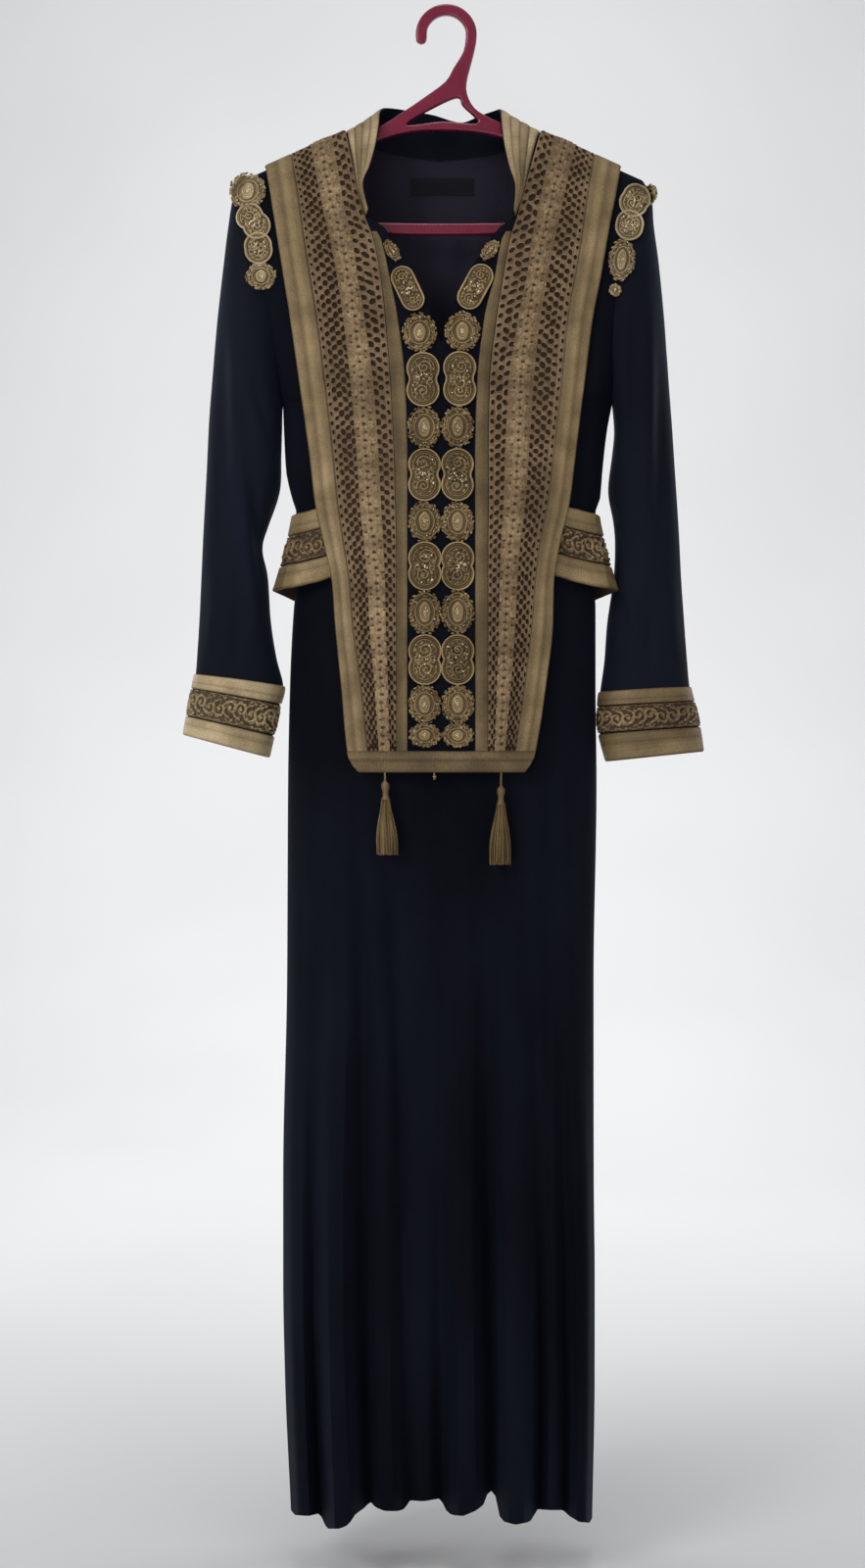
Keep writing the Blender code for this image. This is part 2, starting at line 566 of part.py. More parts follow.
def fold_lift(folds, column, z):
    """How far a fold stands out, and how far it hangs lower, at a column."""
    k = min(int(column), len(folds) - 1)
    t = column - k
    fold = folds[k]
    growth = max(0.0, (fold.begin - z) / (fold.begin - HEM)) ** GROWTH_POWER
    out = fold.out * growth * smooth_step(min(t, 1 - t) / RISE)
    before = folds[k - 1].valley if k else LEFT_SAG
    sag = max(0.0, (SAG_BEGINS - z) / (SAG_BEGINS - HEM)) ** 2
    drop = fold.drop * growth ** 2 * smooth_step(min(t, 1 - t) / DROP_RISE)
    return out, drop + sag * lerp(before, fold.valley, t)


def side_point(panel, hand, edge_z):
    """Where a panel ends at a height: on the armhole, or on the side seam below it."""
    if edge_z < UNDERARM:
        return read(SIDES, edge_z, HAND_NAMES[hand]), 0.0
    middle, half = (TIP + UNDERARM) / 2, (TIP - UNDERARM) / 2
    angle = math.acos(min(max((edge_z - middle) / half, -1), 1))
    point = ring_point(SLEEVES[hand][0], angle)
    return point.x, abs(point.y)


def body_point(panel, edge_z, centre_z, column, hand):
    """A point on the outer face of the front or the back. Hand says which half an open neckline row is on."""
    left, left_depth = side_point(panel, LEFT, edge_z)
    right, right_depth = side_point(panel, RIGHT, edge_z)
    place = fold_place(panel.folds, column, edge_z)
    centre = fold_place(panel.folds, panel.centre_column, edge_z)
    if centre_z > panel.neckline[-1].z + 1e-6:
        middles = {h: read(panel.neckline, centre_z, HAND_NAMES[h]) for h in (LEFT, RIGHT)}
    else:
        middles = dict.fromkeys((LEFT, RIGHT), lerp(left, right, centre))
    if hand == LEFT:
        share = place / centre
        x = lerp(left, middles[LEFT], share)
    else:
        share = (1 - place) / (1 - centre)
        x = lerp(right, middles[RIGHT], share)
    z = lerp(edge_z, centre_z, share)
    inside = min(x - left, right - x, below_shoulder(LEFT, x, z), below_shoulder(RIGHT, x, z))
    edge = left_depth if hand == LEFT else right_depth
    bulge = quarter(inside / read(DEPTHS, z, "round"))
    lift, drop = fold_lift(panel.folds, column, z)
    depth = lerp(edge, read(DEPTHS, z, panel.depth), bulge) + lift
    return Vector((x, panel.side * max(depth, SEAM / 2), z - drop))


def panel_rows(panel):
    """Heights of each row at the panel's sides and at its middle, and the columns that it has."""
    middle, half = (TIP + UNDERARM) / 2, (TIP - UNDERARM) / 2
    edges = [middle + half * math.cos(math.radians(angle)) for angle in RING_ANGLES]
    centres = list(panel.centre_heights) + edges[len(panel.centre_heights):]
    rows = [(edge, centre, panel.coarse) for edge, centre in zip(edges, centres)]
    rows += [(z, z, panel.coarse) for z in BODY_ROWS]
    rows += [(z, z, panel.fine) for z in HEM_ROWS]
    return rows


def panel_columns(panel, steps):
    count = len(panel.folds)
    return [k + t for k in range(count) for t in steps] + [float(count)]


def panel_inward(panel, row, edge_z, column, hand, open_row):
    """Direction through the cloth on the seams that a neighbour shares, or None."""
    ends = (0.0, float(len(panel.folds)))
    if column in ends:
        if edge_z < UNDERARM - 1e-6:
            return (-hand, 0, 0)
        angle = math.radians(RING_ANGLES[row])
        return armhole_inward(hand, angle if panel.side == FRONT else -angle, -1)
    if row == 0:
        return shoulder_inward(hand)
    if open_row and column == panel.centre_column:
        return neck_inward(panel.side, hand)
    return None


def neck_inward(side, hand):
    if side == FRONT:
        return Vector((-0.35 * hand, 0.93, 0)).normalized()
    return Vector((-0.1 * hand, -1, 0)).normalized()


def build_panel(panel, name, material):
    sheet = Sheet()
    neck_bottom = panel.neckline[-1].z
    previous = None
    for row, (edge_z, centre_z, steps) in enumerate(panel_rows(panel)):
        columns = panel_columns(panel, steps)
        open_row = centre_z > neck_bottom + 1e-6
        halves = {}
        for hand in (LEFT, RIGHT):
            chain = []
            for column in columns:
                if (column - panel.centre_column) * hand < 0:
                    continue
                shared = column == panel.centre_column and not open_row
                key = (row, column, 0 if shared else hand)
                if key not in sheet.index:
                    point = body_point(panel, edge_z, centre_z, column, hand)
                    sheet.add(key, point, panel_inward(panel, row, edge_z, column, hand, open_row))
                chain.append((column, key))
            halves[hand] = chain
        if previous:
            for hand in (LEFT, RIGHT):
                sheet.stitch(previous[hand], halves[hand])
        previous = halves
    if panel.side == BACK:
        sheet.turn_over()
    sheet.wall(name, VELVET, material)
    return sheet


def sleeve_angles():
    down = [math.radians(angle) for angle in RING_ANGLES]
    return down + [2 * math.pi - angle for angle in down[-2:0:-1]]


def build_sleeve(hand, material):
    sheet = Sheet()
    rings = SLEEVES[hand]
    angles = sleeve_angles()
    first = rings[0]
    away = Vector((first.outer_z - first.inner_z, 0, first.inner_x - first.outer_x)).normalized() * hand
    previous = None
    for row, ring in enumerate(rings):
        chain = []
        for k, angle in enumerate(angles):
            point = ring_point(ring, angle)
            inward = None
            if row == 0:
                point += away * SEAM
                inward = armhole_inward(hand, angle, 1)
            sheet.add((row, k), point, inward)
            chain.append((k, (row, k)))
        chain.append((len(angles), (row, 0)))
        if previous:
            sheet.stitch(previous, chain)
        previous = chain
    if hand == RIGHT:
        sheet.turn_over()
    sheet.wall("sleeve_" + HAND_NAMES[hand], VELVET, material)
    return sheet


def band(name, lines, profile, material, closed=False, gap=SEAM, bumps=None):
    """A trim on a sheet: lines of (point, normal) across it, and a profile of (place, height) over them."""
    count = len(lines[0])
    sections = []
    for j in range(count):
        below = [line[j][0] + line[j][1] * gap for line in lines]
        section = list(below)
        for place, height in reversed(profile):
            spot = place * (len(lines) - 1)
            k = min(int(spot), len(lines) - 2)
            t = spot - k
            normal = lines[k][j][1].lerp(lines[k + 1][j][1], t).normalized()
            grow = bumps[j % len(bumps)] if bumps and 0 < place < 1 else 1.0
            section.append(below[k].lerp(below[k + 1], t) + normal * height * grow)
        sections.append(section)
    size = len(sections[0])
    points = [p for section in sections for p in section]
    faces = []
    for j in range(count if closed else count - 1):
        here, there = j * size, ((j + 1) % count) * size
        for k in range(size):
            following = (k + 1) % size
            if k < len(lines) - 1:
                faces.append((here + k, here + following, there + following))
                faces.append((here + k, there + following, there + k))
            else:
                faces.append((here + k, here + following, there + k))
                faces.append((here + following, there + following, there + k))
    if not closed:
        faces.append(tuple(range(size - 1, -1, -1)))
        faces.append(tuple((count - 1) * size + k for k in range(size)))
    return make_object(name, points, faces, material)


def tree_of(*sheets):
    """A search tree over the outer faces of sheets, for finding what lies under a trim."""
    points, faces = [], []
    for sheet in sheets:
        start = len(points)
        points += sheet.points
        faces += [tuple(k + start for k in face) for face in sheet.faces]
    return BVHTree.FromPolygons(points, faces)


def drop_on(tree, x, z, start_y=-0.5, direction=1):
    """The point and outward normal that a sheet has behind a place of the front view, or None."""
    hit, normal, _, _ = tree.ray_cast(Vector((x, start_y, z)), Vector((0, direction, 0)))
    if hit is None:
        return None
    if normal.y * direction > 0:
        normal = -normal
    return hit, normal


def shoulder_height(hand, x):
    _, neck = shoulder_ends(hand)
    return NECK_POINT + (neck - hand * x) * shoulder_slope(hand)


def plastron_lift(z):
    """How far the plastron's outer face is off the front, and how much more where it passes the belt."""
    near = EASE + VELVET + SHOULDER_EASE * smooth_step((z - PLASTRON_FLAT) / SHOULDER_BLEND)
    return near, PLASTRON_OVER_BELT * smooth_step((BELT_TOP + OVER_BELT_BEGINS - z) / OVER_BELT_BLEND)


def plastron_lines(hand):
    """Columns of the upper rows and of the neckline rows, outside first, as functions of the height."""
    table = TRACKS[hand]

    def at(column):
        return lambda z: read(table, z, column)

    def between(a, b):
        return lambda z: (read(table, z, a) + read(table, z, b)) / 2

    return [("edge", at("edge")), ("braid", at("braid")), ("in_lace", between("braid", "lace")),
            ("lace", at("lace")), ("strip", at("strip"))]


def build_plastron(front_tree, material):
    sheet = Sheet()
    previous = None
    rows = [("seam", 0), ("rim", 0)] + [("top", step) for step in PLASTRON_TOP_STEPS]
    rows += [("neck", z) for z in PLASTRON_NECK_ROWS] + [("body", z) for z in PLASTRON_ROWS]
    for row, (kind, value) in enumerate(rows):
        halves = {}
        for hand in (LEFT, RIGHT):
            chain = []
            lines = plastron_lines(hand)
            if kind in ("seam", "rim", "top"):
                lines = lines[:-1]
            for k, (name, line) in enumerate(lines):
                top = shoulder_height(hand, line(PLASTRON_TOP))
                z = value if kind in ("neck", "body") else lerp(top, PLASTRON_FLAT, value)
                add_plastron_point(sheet, (row, name, hand), line(z), z, hand, front_tree, kind)
                chain.append((k, (row, name, hand)))
            if kind == "neck":
                edge = read(NECKLINE_FRONT, value, HAND_NAMES[hand]) + hand * NECK_CLEAR
                strip = lines[-1][1](value)
                edge = strip - hand * max(NECK_CLEAR, hand * (strip - edge))
                add_plastron_point(sheet, (row, "middle", hand), edge, value, hand, front_tree)
                chain.append((len(lines), (row, "middle", hand)))
            if kind == "body":
                key = (row, "middle", 0)
                if key not in sheet.index:
                    strips = [read(TRACKS[h], value, "strip") for h in (LEFT, RIGHT)]
                    add_plastron_point(sheet, key, sum(strips) / 2, value, hand, front_tree)
                chain.append((len(lines), key))
            if hand == RIGHT:
                chain = [(-place, key) for place, key in reversed(chain)]
            halves[hand] = chain
        if previous:
            for hand in (LEFT, RIGHT):
                sheet.stitch(previous[hand], halves[hand])
        previous = halves
    sheet.wall("plastron", VELVET, material)
    return sheet, len(rows)


def add_plastron_point(sheet, key, x, z, hand, front_tree, kind="body"):
    near, over = plastron_lift(z)
    height = shoulder_height(hand, x)
    if kind == "seam":
        up = -shoulder_inward(hand)
        sheet.add(key, Vector((x, -SEAM, height)) + up * near, -up)
        return
    if kind == "rim":
        edge = drop_on(front_tree, x, height - RIM_DEPTH)
        sheet.add(key, Vector((x, edge[0].y - RIM_LIFT, height + SEAM)))
        return
    found = drop_on(front_tree, x, z)
    if found is None:
        nearest, _, _, _ = front_tree.find_nearest(Vector((x, -0.03, z)))
        sheet.add(key, Vector((x, nearest.y - near - over, z)))
        return
    shift = found[1] * near
    under = drop_on(front_tree, x - shift.x, z - shift.z) or found
    sheet.add(key, under[0] + shift - Vector((0, over, 0)))


def build_plastron_trims(sheet, count, materials):
    first_neck = len(PLASTRON_TOP_STEPS) + 2
    border_row = count - 3
    for hand in (LEFT, RIGHT):
        suffix = HAND_NAMES[hand]

        def line(name, start, stop, shift=0.0):
            found = []
            for row in range(start, stop):
                point, normal = sheet.at((row, name, hand))
                found.append((point + Vector((shift * hand, 0, 0)), normal))
            return found

        def shortened(points):
            """Ends a trim just above the border."""
            last, normal = points[-1]
            return points[:-1] + [(last + Vector((0, 0, SEAM)), normal)]

        outer = [line("edge", 0, border_row + 1), line("braid", 0, border_row + 1, SEAM / 2)]
        lace = [line("braid", 0, border_row + 1, -SEAM / 2), line("in_lace", 0, border_row + 1),
                line("lace", 0, border_row + 1, SEAM / 2)]
        inner = [line("lace", first_neck + 1, border_row + 1, -SEAM / 2),
                 line("strip", first_neck + 1, border_row + 1)]
        for name, lines, profile, material in (("plastron_braid_", outer, BRAID_PROFILE, "gold"),
                                               ("plastron_lace_", lace, LACE_PROFILE, "lace"),
                                               ("inner_braid_", inner, NARROW_PROFILE, "gold")):
            lines = [shortened(found) for found in lines][::-hand]
            band(name + suffix, lines, profile, materials[material])
    half = ("edge", "braid", "in_lace", "lace", "strip")
    names = [(name, LEFT) for name in half] + [("middle", 0)] + [(name, RIGHT) for name in reversed(half)]
    border = [[sheet.at((row, name, hand)) for name, hand in names] for row in range(border_row, count)]
    band("plastron_border", border, NARROW_PROFILE, materials["gold"])


def medallion_radius(medallion, angle):
    """Outline of a medallion from its centre: an oval, or two overlapping rings one above the other."""
    half_width, half_height = medallion.width / 2, medallion.height / 2
    if not medallion.double:
        slant = math.hypot(half_height * math.cos(angle), half_width * math.sin(angle))
        return half_width * half_height / slant
    shift = max(half_height - half_width, 0.0)
    upright = shift * abs(math.sin(angle))
    side = shift * math.cos(angle)
    return upright + math.sqrt(max(half_width ** 2 - side ** 2, 0.0))


def build_medallion(name, medallion, tree, material, lift):
    tilt = math.radians(medallion.tilt)

    def place(share, angle, height):
        radius = share * medallion_radius(medallion, angle)
        across, up = radius * math.cos(angle), radius * math.sin(angle)
        x = medallion.x + across * math.cos(tilt) - up * math.sin(tilt)
        z = medallion.z + across * math.sin(tilt) + up * math.cos(tilt)
        found = drop_on(tree, x, z) or tree.find_nearest(Vector((x, -0.05, z)))
        return Vector((x, found[0].y - lift - height, z))

    points = [place(0, 0, 0), place(0, 0, MEDALLION_TOP)]
    levels = [(MEDALLION_BASE, 0.0), (1.0, 0.0)] + list(MEDALLION_RINGS)
    for share, height in levels:
        for k in range(MEDALLION_SIDES):
            points.append(place(share, 2 * math.pi * (k + 0.5) / MEDALLION_SIDES, height))
    faces = []
    for k in range(MEDALLION_SIDES):
        following = (k + 1) % MEDALLION_SIDES
        faces.append((0, 2 + following, 2 + k))
        for level in range(len(levels) - 1):
            a, b = 2 + level * MEDALLION_SIDES, 2 + (level + 1) * MEDALLION_SIDES
            faces.append((a + k, a + following, b + following))
            faces.append((a + k, b + following, b + k))
        last = 2 + (len(levels) - 1) * MEDALLION_SIDES
        faces.append((last + k, last + following, 1))
    make_object(name, points, faces, material)


def build_epaulette(hand, chain, tree, material):
    lines = [[] for _ in EPAULETTE_SHARES]
    gap = EPAULETTE_GAPS[hand]
    for k, spot in enumerate(chain):
        before, after = chain[max(k - 1, 0)], chain[min(k + 1, len(chain) - 1)]
        along = Vector((after.x - before.x, 0, after.z - before.z)).normalized()
        across = Vector((-along.z, 0, along.x))
        for line, share in zip(lines, EPAULETTE_SHARES):
            x = spot.x + across.x * spot.half * share
            z = spot.z + across.z * spot.half * share
            found = drop_on(tree, x, z) or tree.find_nearest(Vector((x, -0.02, z)))
            steep = min(1 / max(abs(found[1].y), STEEPEST) - 1, STEEPEST_EXTRA) * gap
            line.append((Vector((x, found[0].y - steep, z)), Vector((0, -1, 0))))
    band("epaulette_" + HAND_NAMES[hand], lines, CHAIN_PROFILE, material, gap=gap)


def neckline_points(sheet, panel, hand):
    """The points of a panel's neckline, from the neck point to its bottom."""
    found = []
    for row in range(len(panel.neckline)):
        key = (row, panel.centre_column, hand)
        if key not in sheet.index:
            key = (row, panel.centre_column, 0)
        found.append(sheet.points[sheet.index[key]])
    return found


def along_points(points, share):
    """A point at a share of the length of a broken line."""
    lengths = [(b - a).length for a, b in zip(points, points[1:])]
    left = share * sum(lengths)
    for a, b, length in zip(points, points[1:], lengths):
        if left <= length + 1e-9:
            return a.lerp(b, left / length)
        left -= length
    return points[-1].copy()


def build_collar(sheets, materials):
    sheet = Sheet()
    previous = None
    bases = []
    for k, stand in enumerate(COLLAR):
        panel = PANEL_FRONT if stand.side == FRONT else PANEL_BACK
        points = neckline_points(sheets[stand.side], panel, stand.hand)
        if stand.side == FRONT:
            points = points[:4]
        base = along_points(points, stand.along)
        top = Vector((stand.x, stand.y, stand.z))
        bases.append(base + (top - base).normalized() * COLLAR_GAPS[stand.side])
        inward = neck_inward(stand.side, stand.hand)
        if stand.along < COLLAR_TURN:
            inward = (inward + shoulder_inward(stand.hand) * 3).normalized()
        chain = []
        for level, share in enumerate(COLLAR_LINES):
            point = bases[-1].lerp(top, share)
            sheet.add((k, level), point, inward if level == 0 else None)
            chain.append((level, (k, level)))
        if previous:
            sheet.stitch(previous, chain)
        previous = chain
    sheet.turn_over()
    sheet.wall("collar", VELVET, materials["velvet"])
    lines = [[sheet.at((k, level)) for k in range(len(COLLAR))] for level in range(1, len(COLLAR_LINES))]
    band("collar_braid", lines, COLLAR_PROFILE, materials["gold"])
    return sheet


def build_label(back, materials):
    """A bare woven label on the inner face of the back."""
    left, right, top, bottom = LABEL
    tree = tree_of(back)
    lines = []
    for z in (top, bottom):
        line = []
        for k in range(5):
            hit, _ = drop_on(tree, lerp(left, right, k / 4), z, start_y=0.5, direction=-1)
            line.append((hit + Vector((0, -VELVET - LABEL_THICKNESS, 0)), Vector((0, -1, 0))))
        lines.append(line)
    band("neck_label", lines, ((0.0, LABEL_THICKNESS), (1.0, LABEL_THICKNESS)), materials["label"])


def belt_point(panel, station, share):
    """A point of the belt's inner face: share 0 is its upper edge and 1 its lower edge."""
    count = len(panel.folds)
    columns = [k + t for k in range(count) for t in (0, 0.25, 0.5, 0.75)] + [float(count)]
    top = BELT_TOP - station.drop
    bottom = top - BELT_HEIGHT - station.drop * 0.5
    z = lerp(top, bottom, share)

    def body_at(place):
        place = min(max(place, 0.0), 1.0)
        places = [fold_place(panel.folds, column, z) for column in columns]
        k = max(i for i in range(len(columns) - 1) if places[i] <= place + 1e-9)
        t = (place - places[k]) / (places[k + 1] - places[k])
        column = lerp(columns[k], columns[k + 1], t)
        return body_point(panel, z, z, column, LEFT if column <= panel.centre_column else RIGHT)

    here = body_at(station.at)
    if station.at in (0.0, 1.0):
        normal = Vector((-1 if station.at == 0.0 else 1, 0, 0))
    else:
        tangent = body_at(station.at + 0.02) - body_at(station.at - 0.02)
        normal = Vector((tangent.y, -tangent.x, 0)).normalized()
        if normal.y * panel.side < 0:
            normal = -normal
    point = here + normal * (EASE + VELVET + station.flare * share ** FLARE_POWER)
    forward = smooth_step((station.at - FORWARD_FROM) / (1 - FORWARD_FROM))
    return point + Vector((0, -BELT_FORWARD * forward * share, 0))


def build_belt(materials):
    halves = {}
    pieces = ((PANEL_FRONT, BELT_FRONT, "belt_front"), (PANEL_BACK, BELT_BACK, "belt_back"))
    for panel, stations, name in pieces:
        sheet = Sheet()
        previous = None
        for level, share in enumerate(BELT_SHARES):
            chain = []
            for k, station in enumerate(stations[::-panel.side]):
                point = belt_point(panel, station, share)
                at_end = station.at in (0.0, 1.0)
                point.y += panel.side * SEAM / 2 if at_end else 0.0
                inward = (1 - 2 * station.at, 0, 0) if at_end else None
                sheet.add((level, k), point, inward)
                chain.append((k, (level, k)))
            if previous:
                sheet.stitch(previous, chain)
            previous = chain
        sheet.wall(name, VELVET, materials["velvet"])
        halves[panel.side] = (sheet, len(stations))
    return halves


def belt_line(halves, level):
    """A line round the whole belt at one of its levels."""
    front, front_count = halves[FRONT]
    back, back_count = halves[BACK]
    line = []
    for k in range(front_count):
        point, normal = front.at((level, k))
        if k in (0, front_count - 1):
            point = point + Vector((0, SEAM, 0))
            normal = Vector((-1 if k == 0 else 1, 0, 0))
        line.append((point, normal))
    for k in range(1, back_count - 1):
        line.append(back.at((level, k)))
    return line


def lines_between(upper, lower, shares):
    """Lines across a strip between two lines of (point, normal)."""
    def blend(a, b, share):
        return a[0].lerp(b[0], share), a[1].lerp(b[1], share).normalized()

    return [[blend(a, b, share) for a, b in zip(upper, lower)] for share in shares]


def build_belt_trims(halves, materials):
    levels = [belt_line(halves, level) for level in range(len(BELT_SHARES))]
    trims = (("belt_braid_upper", 0, NARROW_PROFILE, "gold", None),
             ("belt_lace", 1, FLOWER_PROFILE, "lace", LACE_BUMPS),
             ("belt_braid_lower", 2, NARROW_PROFILE, "gold", None))
    for name, level, profile, material, bumps in trims:
        lines = lines_between(levels[level], levels[level + 1], TRIM_ENDS)
        band(name, lines, profile, materials[material], closed=True, gap=BELT_TRIM_GAP, bumps=bumps)


def build_cuff_trims(hand, sheet, materials):
    first = len(SLEEVES[hand]) - 4
    count = len(sleeve_angles())
    levels = [[sheet.at((first + level, k)) for k in range(count)] for level in range(4)]
    trims = (("cuff_braid_upper_", 0, NARROW_PROFILE, "gold", None),
             ("cuff_lace_", 1, FLOWER_PROFILE, "lace", LACE_BUMPS),
             ("cuff_braid_lower_", 2, NARROW_PROFILE, "gold", None))
    for name, level, profile, material, bumps in trims:
        lines = lines_between(levels[level], levels[level + 1], TRIM_ENDS)
        band(name + HAND_NAMES[hand], lines, profile, materials[material], True, CUFF_TRIM_GAP, bumps)


# Each tassel: where its cord leaves the border, and its widths and heights.
Tassel = namedtuple("Tassel", "name x top x_low neck bottom half")
TASSELS = (
    Tassel("tassel_left", -0.0605, -0.7735, -0.0580, -0.7810, -0.8550, 0.0105),
    Tassel("tassel_right", 0.0555, -0.7735, 0.0545, -0.7860, -0.8650, 0.0105),
)
STUB = Tassel("cord_stub", -0.0110, -0.7735, -0.0105, -0.7745, -0.7790, 0.0020)
CORD_HALF = 0.0009
# Radius and distance below the neck: end of the cord, knot, waist and head.
TASSEL_HEAD = ((CORD_HALF, -0.001), (0.0040, 0.0030), (0.0042, 0.0065), (0.0028, 0.0110), (0.0030, 0.0140),
               (0.0046, 0.0190))
TASSEL_SIDES = 10
# Sections of a strand: share of the way down, and share of the tassel's spread. It starts as a shrunk cell.
STRAND_STEPS = ((0.35, 0.75), (1.0, 1.0))
STRAND_SHRINK = 0.78
STRAND_GROWTH = 1.15
TASSEL_FLATNESS = 0.7
STUB_SIDES = 6


def tassel_profile(tassel):
    """Radius and height of the turned part."""
    neck = tassel.neck
    return [(CORD_HALF, tassel.top)] + [(radius, neck - below) for radius, below in TASSEL_HEAD]


def build_tassel(tassel, y, material):
    """A turned cord and head whose lower face is cut into cells, each drawn down as one strand."""
    points, faces = [], []
    head_bottom = tassel_profile(tassel)[-1]

    def centre_x(z):
        return lerp(tassel.x, tassel.x_low, (tassel.top - z) / (tassel.top - tassel.bottom))

    def spot(radius, angle, z):
        points.append(Vector((centre_x(z) + radius * math.cos(angle), y + radius * math.sin(angle), z)))
        return len(points) - 1

    rings = []
    for radius, z in tassel_profile(tassel):
        rings.append([spot(radius, 2 * math.pi * k / TASSEL_SIDES, z) for k in range(TASSEL_SIDES)])
    faces.append(tuple(rings[0]))
    for upper, lower in zip(rings, rings[1:]):
        for k in range(TASSEL_SIDES):
            following = (k + 1) % TASSEL_SIDES
            faces.append((upper[k], lower[k], lower[following], upper[following]))
    outer_radius, z = head_bottom
    inner_radius = outer_radius * 0.5
    middle = [spot(inner_radius, 2 * math.pi * k / TASSEL_SIDES, z) for k in range(TASSEL_SIDES)]
    centre = spot(0, 0, z)
    cells = []
    for k in range(TASSEL_SIDES):
        following = (k + 1) % TASSEL_SIDES
        cells.append((rings[-1][k], middle[k], middle[following], rings[-1][following]))
    for k in range(0, TASSEL_SIDES, 2):
        cells.append((middle[k], centre, middle[(k + 2) % TASSEL_SIDES], middle[(k + 1) % TASSEL_SIDES]))
    for cell in cells:
        add_strand(points, faces, cell, tassel, y, centre_x, z, outer_radius)
    return make_object(tassel.name, points, faces, material)


def add_strand(points, faces, cell, tassel, y, centre_x, top, outer_radius):
    """Shrinks a cell a little, so that its neighbours stand apart, and draws it down to the tassel's end."""
    corners = [points[k] for k in cell]
    middle = sum(corners, Vector()) / len(corners)
    offset = middle - Vector((centre_x(top), y, top))
    local = [(corner - middle) * STRAND_SHRINK for corner in corners]
    sections = [(middle, 1.0)]
    for share, spread in STRAND_STEPS:
        z = lerp(top, tassel.bottom, share)
        scale = lerp(1.0, tassel.half / outer_radius, spread)
        spot = Vector((centre_x(z) + offset.x * scale, y + offset.y * scale * TASSEL_FLATNESS, z))
        sections.append((spot, STRAND_GROWTH ** len(sections)))
    size = len(cell)
    previous = list(cell)
    for centre, growth in sections:
        ring = list(range(len(points), len(points) + size))
        points += [centre + edge * growth for edge in local]
        for k in range(size):
            following = (k + 1) % size
            faces.append((previous[k], previous[following], ring[following], ring[k]))
        previous = ring
    faces.append(tuple(previous))


def build_stub(y, material):
    """The short end of a broken cord."""
    points, faces = [], []
    rings = []
    knot = (STUB.neck + STUB.bottom) / 2
    profile = ((CORD_HALF, STUB.top), (CORD_HALF, STUB.neck), (STUB.half, knot), (CORD_HALF, STUB.bottom))
    for radius, z in profile:
        ring = []
        for k in range(STUB_SIDES):
            angle = 2 * math.pi * k / STUB_SIDES
            points.append(Vector((STUB.x + radius * math.cos(angle), y + radius * math.sin(angle), z)))
            ring.append(len(points) - 1)
        rings.append(ring)
    faces.append(tuple(rings[0]))
    faces.append(tuple(rings[-1][::-1]))
    for upper, lower in zip(rings, rings[1:]):
        for k in range(STUB_SIDES):
            following = (k + 1) % STUB_SIDES
            faces.append((upper[k], lower[k], lower[following], upper[following]))
    make_object(STUB.name, points, faces, material)


# Outline of the hanger, in the plane of the garment: where the hook ends, down its right side and round.
HANGER_RIGHT = ((0.0300, -0.036), (0.0265, -0.050), (0.0222, -0.067), (0.0222, -0.080), (0.0300, -0.095),
                (0.0470, -0.1055), (0.0700, -0.1145), (0.0945, -0.1260), (0.1300, -0.1406), (0.1600, -0.1541),
                (0.1830, -0.1645))
HANGER_TIP_RIGHT = ((0.1885, -0.1720), (0.1885, -0.1810), (0.1800, -0.1900), (0.1500, -0.2060),
                    (0.1200, -0.2180), (0.0900, -0.2235))
HANGER_TIP_LEFT = ((-0.0900, -0.2235), (-0.1200, -0.2180), (-0.1500, -0.2060), (-0.1850, -0.1900),
                   (-0.1935, -0.1810), (-0.1935, -0.1740))
HANGER_LEFT = ((-0.1880, -0.1650), (-0.1600, -0.1522), (-0.1300, -0.1389), (-0.1000, -0.1265),
               (-0.0645, -0.1120), (-0.0405, -0.0970), (-0.0200, -0.0830), (0.0000, -0.0680), (0.0085, -0.0540),
               (0.0185, -0.0370))
HANGER_SMALL_HOLE = ((0.0085, -0.0850), (0.0180, -0.0930), (0.0330, -0.1100), (-0.0015, -0.1085),
                     (-0.0395, -0.1110))
HANGER_LARGE_HOLE = ((0.0000, -0.1175), (0.0350, -0.1200), (0.0700, -0.1285), (0.1100, -0.1460),
                     (0.1500, -0.1650), (0.1740, -0.1770), (0.1700, -0.1850), (0.1450, -0.1975),
                     (0.1150, -0.2075), (0.0880, -0.2110), (0.0000, -0.2125), (-0.0880, -0.2110),
                     (-0.1150, -0.2075), (-0.1450, -0.1975), (-0.1760, -0.1850), (-0.1800, -0.1775),
                     (-0.1500, -0.1640), (-0.1100, -0.1450), (-0.0700, -0.1285), (-0.0350, -0.1190))
HOOK_TIP_ANGLE = 188
HOOK_OUTER_END = -8
HOOK_INNER_END = 0
HOOK_STEPS = 11


def hook_arc(radius, start, stop, steps):
    cx, cz = HOOK_CENTRE
    found = []
    for k in range(steps + 1):
        angle = math.radians(lerp(start, stop, k / steps))
        found.append((cx + radius * math.cos(angle), cz + radius * math.sin(angle)))
    return found


def hanger_outline():
    """The outer edge, clockwise from the hook's free end, over the top and down its right side."""
    tip = math.radians(HOOK_TIP_ANGLE)
    middle = (HOOK_OUTER + HOOK_INNER) / 2
    half = (HOOK_OUTER - HOOK_INNER) / 2
    cx, cz = HOOK_CENTRE
    end = (cx + middle * math.cos(tip), cz + middle * math.sin(tip))
    outer = hook_arc(HOOK_OUTER, HOOK_TIP_ANGLE, HOOK_OUTER_END, HOOK_STEPS)
    inner = hook_arc(HOOK_INNER, HOOK_INNER_END, HOOK_TIP_ANGLE, HOOK_STEPS - 2)
    free_end = [(end[0] + half * math.cos(tip + math.pi * (1 - k / 4)),
                 end[1] + half * math.sin(tip + math.pi * (1 - k / 4))) for k in range(1, 4)]
    sides = list(HANGER_RIGHT + HANGER_TIP_RIGHT + HANGER_TIP_LEFT + HANGER_LEFT)
    return outer + sides + inner + free_end


